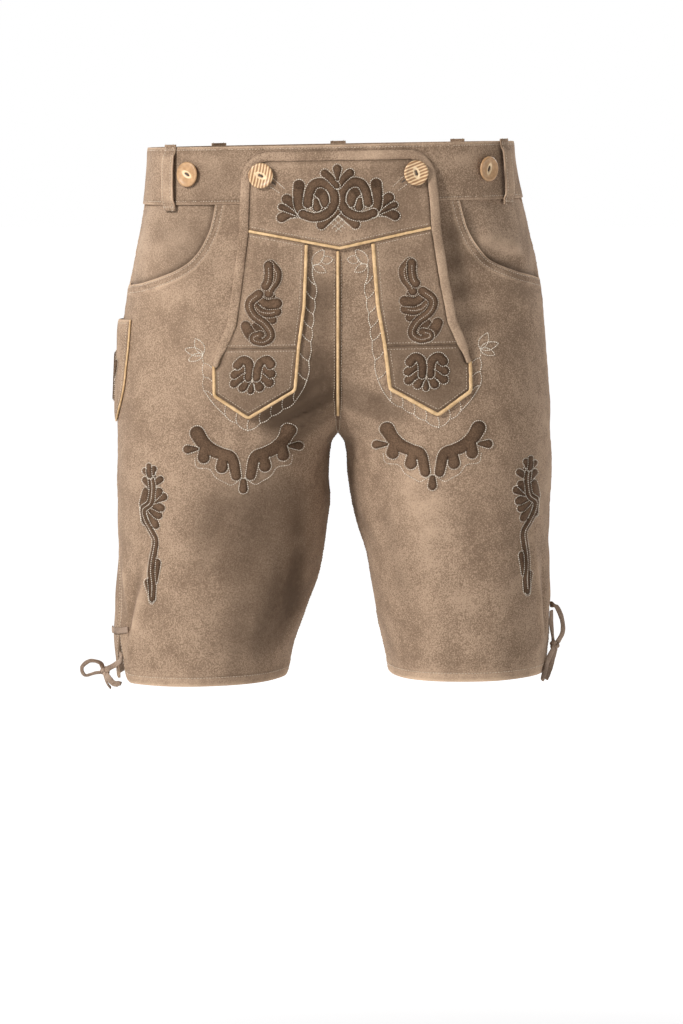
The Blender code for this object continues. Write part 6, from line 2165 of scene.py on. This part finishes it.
# %% Stitch tree
STITCH_SEED = 5
SMALLEST, LARGEST = (0.86, 0.85, 0.8), (1.1, 1.15, 1.15)  # a stitch's share of its length, width and height
TREE_INPUTS = {"Pitch": "Float", "Half Length": "Float", "Thread Radius": "Float", "Thread": "Material"}


def build_stitch_tree():
    """A node tree: a line in, a row of thread stitches out."""
    tree = bpy.data.node_groups.new("Row of stitches", "GeometryNodeTree")
    tree.interface.new_socket("Geometry", in_out="INPUT", socket_type="NodeSocketGeometry")
    sockets = {}
    for name, kind in TREE_INPUTS.items():
        made = tree.interface.new_socket(name, in_out="INPUT", socket_type=f"NodeSocket{kind}")
        sockets[name] = made.identifier
    tree.interface.new_socket("Geometry", in_out="OUTPUT", socket_type="NodeSocketGeometry")

    def add(kind, settings, **values):
        """A node's outputs, with its settings made first and then its sockets."""
        node = tree.nodes.new(kind)
        for name, value in settings.items():
            setattr(node, name, value)
        for name, value in values.items():
            if isinstance(value, bpy.types.NodeSocket):
                tree.links.new(value, node.inputs[name])
            else:
                node.inputs[name].default_value = value
        return node.outputs

    given = add("NodeGroupInput", {})
    pitch, half_length, radius, thread = (given[name] for name in TREE_INPUTS)
    line = add("GeometryNodeMeshToCurve", {}, Mesh=given["Geometry"])[0]
    steps = add("GeometryNodeResampleCurve", {"mode": "LENGTH"}, Curve=line, Length=pitch)[0]
    bead = add("GeometryNodeMeshUVSphere", {}, Segments=6, Rings=4, Radius=1.0)["Mesh"]
    size = add("ShaderNodeCombineXYZ", {}, X=half_length, Y=radius, Z=radius)[0]
    stitch = add("GeometryNodeTransform", {}, Geometry=bead, Scale=size)[0]
    align, vector = "FunctionNodeAlignRotationToVector", {"data_type": "FLOAT_VECTOR"}
    along = add(align, {"axis": "X"}, Vector=add("GeometryNodeInputTangent", {})[0])[0]
    facing = add("GeometryNodeInputNamedAttribute", vector, Name="facing")[0]
    turned = add(align, {"axis": "Z", "pivot_axis": "X"}, Vector=facing, Rotation=along)[0]
    vary = add("FunctionNodeRandomValue", vector, Seed=STITCH_SEED, Min=SMALLEST, Max=LARGEST)[0]
    ways = {"Rotation": turned, "Scale": vary}
    row = add("GeometryNodeInstanceOnPoints", {}, Points=steps, Instance=stitch, **ways)[0]
    real = add("GeometryNodeRealizeInstances", {}, Geometry=row)[0]
    smooth = add("GeometryNodeSetShadeSmooth", {}, Geometry=real)[0]
    dressed = add("GeometryNodeSetMaterial", {}, Geometry=smooth, Material=thread)[0]
    add("NodeGroupOutput", {}, Geometry=dressed)
    return tree, sockets


STITCH_TREE, STITCH_SOCKETS = build_stitch_tree()
print("stitch tree:", len(STITCH_TREE.nodes), "nodes")

# %% Sewing
BEAD_FACES = 24
Row = namedtuple("Row", "points facing")  # places in millimetres, and which way the leather faces


def sew(name, rows, pitch, length, radius, finish):
    """Stitches along rows, as one plain mesh; sizes in millimetres."""
    places = np.concatenate([tilted(row.points) for row in rows])
    facing = np.concatenate([row.facing for row in rows]).astype(np.float32)
    edges, first = [], 0
    for row in rows:
        edges += [(k, k + 1) for k in range(first, first + len(row.points) - 1)]
        first += len(row.points)
    mesh = bpy.data.meshes.new(f"{name}_lines")
    mesh.from_pydata(places.tolist(), edges, [])
    mesh.attributes.new("facing", "FLOAT_VECTOR", "POINT").data.foreach_set("vector", facing.ravel())
    lines = scene_object(f"{name}_lines", mesh)
    sewing = lines.modifiers.new("stitches", "NODES")
    sewing.node_group = STITCH_TREE
    values = (pitch * MM, length * MM / 2, radius * MM, finish.material)
    for socket, value in zip(TREE_INPUTS, values):
        sewing[STITCH_SOCKETS[socket]] = value
    graph = bpy.context.evaluated_depsgraph_get()
    made = bpy.data.meshes.new_from_object(lines.evaluated_get(graph))
    bpy.data.objects.remove(lines)
    made.name = name
    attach(scene_object(name, made), "root")
    print(name, len(made.polygons) // BEAD_FACES, "stitches")


def row_on(place, u, z, lift):
    """A row along flat places of a surface given by place(u, z, lift)."""
    u, z, lift = np.broadcast_arrays(*(np.asarray(v, float) for v in (u, z, lift)))
    points = place(u, z, lift)
    return Row(points, unit(place(u, z, lift + 3.0) - points))


# %% [markdown]
# ### Threads round the motifs
# Each lobe of a motif is outlined in chain stitch, which dives under the lobes that lie over it. The
# long lobes also carry a row along their middle, which quilts the padding.

# %% Paths of the outlines
OUTLINE_AWAY = 0.75
OUTLINE_LIFT, GARLAND_OUTLINE_LIFT = 0.42, 0.85  # higher over the crease at the groin
VEIN_LIFT, VEIN_SHORTEST = 0.36, 24
THREAD_STEP, THREAD_LIFT = 0.9, 0.3


def lobe_outline(line, half):
    """A closed flat path round one lobe."""
    along = unit(np.gradient(line, axis=0))
    across = np.stack([-along[:, 1], along[:, 0]], axis=1)
    wide = (half + OUTLINE_AWAY)[:, None]
    turns = np.linspace(0, math.pi, 9)[1:-1, None]
    head = line[-1] + wide[-1] * (np.cos(turns) * across[-1] + np.sin(turns) * along[-1])
    tail = line[0] + wide[0] * (-np.cos(turns) * across[0] - np.sin(turns) * along[0])
    there, back = line + across * wide, (line - across * wide)[::-1]
    return resampled(np.vstack([there, head, back, tail, there[:1]]), LINE_STEP)


def runs_over(place, path, lift, keep, shortest=4):
    """Rows over the kept stretches of a flat path."""
    runs, here = [], []
    for point, kept in zip([*np.column_stack([path, lift]), None], [*keep, False]):
        if kept:
            here.append(point)
        elif here:
            runs.append(np.array(here))
            here = []
    return [row_on(place, *run.T) for run in runs if len(run) >= shortest]


def reach_into(path, lobe):
    """How deep the points of a flat path lie inside a lobe."""
    line, half = lobe
    return (half - np.linalg.norm(path[:, None] - line, axis=2)).max(axis=1)


print("round a garland's arm:", round(path_length(lobe_outline(*garland_arm)), 3), "m")


# %% Rows over a motif
def outline_rows(node):
    """Rows round the lobes of a motif, under the lobes that lie over them."""
    lines, place, layered = MOTIF_LINES[node]
    lift = GARLAND_OUTLINE_LIFT if "garland" in node else OUTLINE_LIFT
    rows = []
    for number, (line, half) in enumerate(lines):
        path = lobe_outline(line, half)
        keep = reach_into(path, (line, half)) < 0.2
        over = lines[number + 1 :] if layered else lines[:number] + lines[number + 1 :]
        for lobe in over:
            keep &= reach_into(path, lobe) < -0.15
        _, height = padding(path, lines, layered)
        height = np.convolve(np.pad(height, 2, mode="edge"), np.ones(5) / 5, mode="valid")
        rows += runs_over(place, path, height + lift, keep)
    return rows


def vein_rows(node):
    """A row along the middle of the long lobes, where the padding is quilted."""
    lines, place, layered = MOTIF_LINES[node]
    rows = []
    for number, (line, half) in enumerate(lines):
        if len(line) < VEIN_SHORTEST or half.max() > GROUND_HALF:
            continue
        path = line[3:-3]
        keep = np.ones(len(path), bool)
        for lobe in lines[number + 1 :]:
            keep &= reach_into(path, lobe) < -0.2
        _, height = padding(path, lines, layered)
        rows += runs_over(place, path, height + VEIN_LIFT, keep, 8)
    return rows


print("rows along the lobes of a strip:", len(vein_rows("motif_strip_right")))


# %% Loose threads
def second_outline(side):
    """The loose wavy line of thread under a garland."""
    half = [(42.7, -272), (40.5, -279.7), (29.6, -281.4), (24.2, -288.5), (16.6, -292.9)]
    u, z = spline([*half, (10, -295.6), (1.3, -289.6)], THREAD_STEP).T
    return [row_on(over_leg(side, GARLAND_MIDDLE), mirror * u, z, THREAD_LIFT) for mirror in BOTH]


def lattice():
    """Crossed threads under the yoke's roof."""
    rows = []
    u = np.linspace(-10, 10, 26)
    for k in range(-3, 4):
        for lean in BOTH:
            z = -67.5 + lean * (u - 6.2 * k) * 0.85
            inside = (np.abs(u) < 11 + (z + 62) * 0.35) & (z < -61.5 - 0.6 * np.abs(u))
            inside &= z > -76 + 0.75 * np.abs(u)
            rows += runs_over(over_yoke, np.column_stack([u, z]), np.full(26, THREAD_LIFT), inside)
    return rows


print("threads crossed under the yoke's roof:", len(lattice()))

# %% Sew round the motifs
CHAIN_PITCH, CHAIN_STITCH, CHAIN_RADIUS = 1.8, 1.45, 0.4
for node in MOTIF_LINES:
    rows = outline_rows(node)
    if node.startswith(("motif_strip", "motif_outer")):
        rows += vein_rows(node)
    if node == "motif_yoke":
        rows += lattice()
    if node.startswith("motif_garland"):
        rows += second_outline(RIGHT if node.endswith("right") else LEFT)
    tone = DARK_OUTLINE if node.startswith(("motif_strip", "motif_knife")) else LIGHT_THREAD
    sew(f"{node}_outline", rows, CHAIN_PITCH, CHAIN_STITCH, CHAIN_RADIUS, tone)

# %% [markdown]
# ### Embroidered vine
# A vine of open leaves is sewn on the leg round each strip: a waving outer line, a slanting bar for
# each leaf, and a sprig of three leaves at both ends. It is drawn on the flat as distances along the
# strip's edge and away from it, and the sewing tree does the rest.

# %% Bars and leaves of the vine
VINE_NEAR = 2.6  # distance of a bar's inner end from the strip's edge, along the bar
VINE_RUNS = table(  # a stretch of the edge, how many bars it has, and how they run outwards
    "VineRun",
    "start end bars reach",
    ((29.8, -113), (35.8, -163), 4, (-8.4, -8.6)),
    ((35.8, -163), POINT_INNER, 3, (-8.8, -8.0)),
    (POINT_INNER, POINT_TIP, 4, (-0.6, -10.6)),
    (POINT_TIP, POINT_OUTER, 3, (0.4, -10.8)),
    (POINT_OUTER, (POINT_OUTER[0], -181.0), 3, (8.8, 4.6)),
)
LEAVES = table(  # three at the top end of the vine, then three at its outer end
    "Leaf",
    "base tip wide",
    ((23.8, -103.8), (13.8, -90.8), 8.5),
    ((16.4, -100.2), (6.2, -99.3), 7.0),
    ((23.3, -104.5), (12.6, -110.4), 6.5),
    ((121.1, -180.0), (127.9, -167.2), 8.0),
    ((121.4, -180.3), (137.4, -176.4), 7.0),
    ((121.6, -181.0), (134.4, -186.2), 6.0),
)
print("bars of the vine:", sum(run.bars for run in VINE_RUNS))


# %% Lines of the vine
def bowed(start, end, bulge):
    """A flat line from start to end that bows to its right."""
    start, end = np.array(start, float), np.array(end, float)
    run = end - start
    share = np.linspace(0, 1, 14)[:, None]
    return start + run * share + unit(np.array([run[1], -run[0]])) * bulge * np.sin(math.pi * share)


def leaf_outline(base, tip, wide):
    """A closed leaf outline from its base to its tip."""
    base, tip = np.array(base, float), np.array(tip, float)
    along = tip - base
    across = np.array([-along[1], along[0]]) / np.linalg.norm(along)
    t = np.linspace(0, 1, 14)[:, None]
    bulge = np.sin(math.pi * t**0.85) ** 0.75 * wide / 2
    there = base + along * t + across * bulge
    return np.vstack([there, (base + along * t - across * bulge)[::-1]])


def vine_lines():
    """Every line of the vine, as flat places outwards from the middle."""
    flats, far_ends = [], []
    for run in VINE_RUNS:
        start, whole, reach = np.array(run.start), np.subtract(run.end, run.start), np.array(run.reach)
        for k in range(run.bars):
            foot = start + whole * k / run.bars
            flats.append(bowed(foot + unit(reach) * VINE_NEAR, foot + reach, -0.8))
            far_ends.append(foot + reach)
    flats += [bowed(here, after, 1.3) for here, after in zip(far_ends, far_ends[1:])]
    flats.append(bowed(LEAVES[0].base, far_ends[0], -1.5))
    flats.append(bowed(far_ends[-1], LEAVES[3].base, 0.8))
    return flats + [leaf_outline(*leaf) for leaf in LEAVES]


print("lines of the vine:", len(vine_lines()))

# %% Sewing the vine
VINE_PITCH, VINE_STITCH, VINE_RADIUS = 1.8, 1.6, 0.48
for side, name in SIDE_NAMES.items():
    place = over_leg(side, swung=True)
    rows = [row_on(place, *resampled(flat, THREAD_STEP).T, THREAD_LIFT) for flat in vine_lines()]
    sew(f"vine_{name}_thread", rows, VINE_PITCH, VINE_STITCH, VINE_RADIUS, LIGHT_THREAD)

# %% [markdown]
# ### Rows that hold the pieces
# The structural rows run a few millimetres inside each edge. They sit in the furrows that the panels
# already have, so they look pulled tight.

# %% Rows on a panel
MIDDLE_STITCH = 3.15  # distance from the middle seam
ROW_LIFT = 0.22


def cloth_row(side, face, z, arc):
    """A row on a leg panel."""

    def place(along, height, lift):
        return on_panel(side, face, height, along, lift)

    return row_on(place, arc, z, ROW_LIFT)


def panel_rows(side, face):
    """The rows beside the middle seam, beside the side seam and along the hem."""
    top = PANEL_TOP - 2 if face == "back" else YOKE_APEX - 6
    middle = np.arange(HEM + 3, top, 2.0)
    beside = np.arange(HEM + 14, SCOOP[0].z - 3 if face == "front" else PANEL_TOP - 2, 2.0)
    edge = float(panel_edge(side, face, HEM + HEM_STITCH))
    arc = np.arange(3.0, edge - 3.5, 2.0)
    hem = HEM + HEM_STITCH + corner_rise(edge - arc) * 0.8
    lines = ((middle, MIDDLE_STITCH), (beside, panel_edge(side, face, beside) - SIDE_STITCH), (hem, arc))
    return [cloth_row(side, face, z, at) for z, at in lines]


print("rows on the right front:", len(panel_rows(RIGHT, "front")))


# %% Rows on the pockets and the waistband
def scoop_rows(side):
    """Two rows inside the pocket's cut edge."""
    line = SCOOP_LINES[side]
    along = unit(np.gradient(line, axis=0))
    normal = np.stack([along[:, 1], -along[:, 0]], axis=1)
    rows = []
    for away in SCOOP_STITCHES:
        inner = line + normal * away
        inner = inner[(inner[:, 1] < PANEL_TOP - 1) & (inner[:, 0] > 1.5)]
        rows.append(cloth_row(side, "front", inner[:, 1], full_arc(side, "front", inner[:, 1]) - inner[:, 0]))
    return rows


def band_rows(side):
    """A row along each edge of half the waistband."""

    def place(share, height, lift):
        return around(side, height, share, lift)

    share = np.linspace(0.003, 0.997, 240)
    heights = (BAND_TOP - BAND_STITCHES[0], BAND_BOTTOM + BAND_STITCHES[1])
    return [row_on(place, share, z, BAND_OUT - 0.1) for z in heights]


print("rows on a pocket's edge:", len(scoop_rows(RIGHT)))

# %% Sewing the seams
SEAM_PITCH, SEAM_STITCH, SEAM_RADIUS = 2.7, 2.0, 0.3
seam_rows = [row for side, face in KINDS for row in panel_rows(side, face)]
for side in SIDE_NAMES:
    seam_rows += scoop_rows(side) + band_rows(side)
sew("seam_stitches", seam_rows, SEAM_PITCH, SEAM_STITCH, SEAM_RADIUS, SEAM_THREAD)

# %% Buttonholes
HOLE_PITCH, HOLE_STITCH, TRIM_PITCH, TRIM_STITCH = 1.7, 1.6, 2.5, 1.85
HOLE_RADIUS, TRIM_RADIUS = 0.3, 0.28
HOLE_SIDES = (((55.8, -28.2), (47.0, -36.6)), ((58.0, -35.6), (51.6, -40.2)))
HOLE_SLIT = ((57.6, -30.8), (54.2, -33.6))
FLAP_SINK = -0.02


def flap_row(x, z):
    """A row on the flap."""
    return row_on(on_flap, x, z, FLAP_SINK)


hole_rows = []
for side in SIDE_NAMES:
    for start, stop in HOLE_SIDES:
        x, z = np.linspace(start, stop, 16).T
        hole_rows.append(flap_row(side * x, z))
    x, z = np.linspace(*HOLE_SLIT, 8).T
    slit = flap_row(side * x, z)
    bar = tube(f"buttonhole_{SIDE_NAMES[side]}_slit", slit.points, slit.facing, 0.55, 0.4, 8, DARK_THREAD)
    settle(bar, "suede")
sew("buttonhole_stitches", hole_rows, HOLE_PITCH, HOLE_STITCH, HOLE_RADIUS, LIGHT_THREAD)


# %% Rows on the flap
def strip_rows(side):
    """The rows of one strip and its point."""
    z = np.arange(STRIP_SEAM + 3, yoke_seam(60.0) - 6, 2.0)[::-1]
    z = z[z < float(yoke_seam(strip_inner_edge(-95))) - 5]
    rows = [flap_row(side * (strip_inner_edge(z) + 4.0), z)]
    x = np.linspace(strip_inner_edge(-96) + 4, flap_half_width(-84) - BINDING_WIDTH - 3, 30)
    rows.append(flap_row(side * x, yoke_seam(x) - 4.0))
    ends = (strip_inner_edge(STRIP_SEAM) + 3, flap_half_width(STRIP_SEAM) - BINDING_WIDTH - 2)
    x = np.linspace(*ends, 34)
    rows += [flap_row(side * x, STRIP_SEAM + away) for away in (-2.7, 2.7)]
    inset = 4.0
    bend = [
        (float(strip_inner_edge(-182)) + inset, -181.0),
        (POINT_INNER[0] + inset + 0.4, POINT_INNER[1] + 2.0),
        (POINT_TIP[0], POINT_TIP[1] + inset * 1.25),
        (POINT_OUTER[0] - inset, POINT_OUTER[1] + 2.2),
        (POINT_OUTER[0] - inset, -197.0),
    ]
    x, z = resampled(bend, 1.5).T
    return [*rows, flap_row(side * x, z)]


wide = np.linspace(-YOKE_REACH + 3, YOKE_REACH - 3, 90)
trim_rows = [flap_row(wide, yoke_seam(wide) + 4.0), *strip_rows(RIGHT), *strip_rows(LEFT)]
print("rows on the flap:", len(trim_rows))


# %% Rows on the loops and the knife pocket
def loop_rows(line):
    """Two rows down a belt loop, and two bars across each of its ends."""
    side_way = LOOP_WIDTH / 2 - LOOP_STITCH
    stand = BAND_SEAT + LOOP_STAND * line.bow + HIDE + 0.05
    rows = [row_on(line.place, line.heights, way * side_way, stand) for way in (-1, 1)]
    along = np.linspace(-LOOP_WIDTH / 2 + 1.5, LOOP_WIDTH / 2 - 1.5, 12)
    for z in (BAND_TOP - 1.2, BAND_TOP - 2.2, BAND_BOTTOM - 1.6, BAND_BOTTOM - 2.6):
        stand = BAND_SEAT + LOOP_STAND * np.interp(z, line.heights[::-1], line.bow[::-1]) + HIDE + 0.1
        rows.append(row_on(line.place, z, along, stand))
    return rows


for line in LOOP_LINES:
    trim_rows += loop_rows(line)
z = np.arange(-236, -154, 1.6)
trim_rows.append(row_on(over_pouch, pouch_reach(z) - 4.0, z, 0.0))
trim_rows.append(row_on(over_pouch, np.linspace(3, 39, 26), -155.0, 0.0))
sew("trim_stitches", trim_rows, TRIM_PITCH, TRIM_STITCH, TRIM_RADIUS, SEAM_THREAD)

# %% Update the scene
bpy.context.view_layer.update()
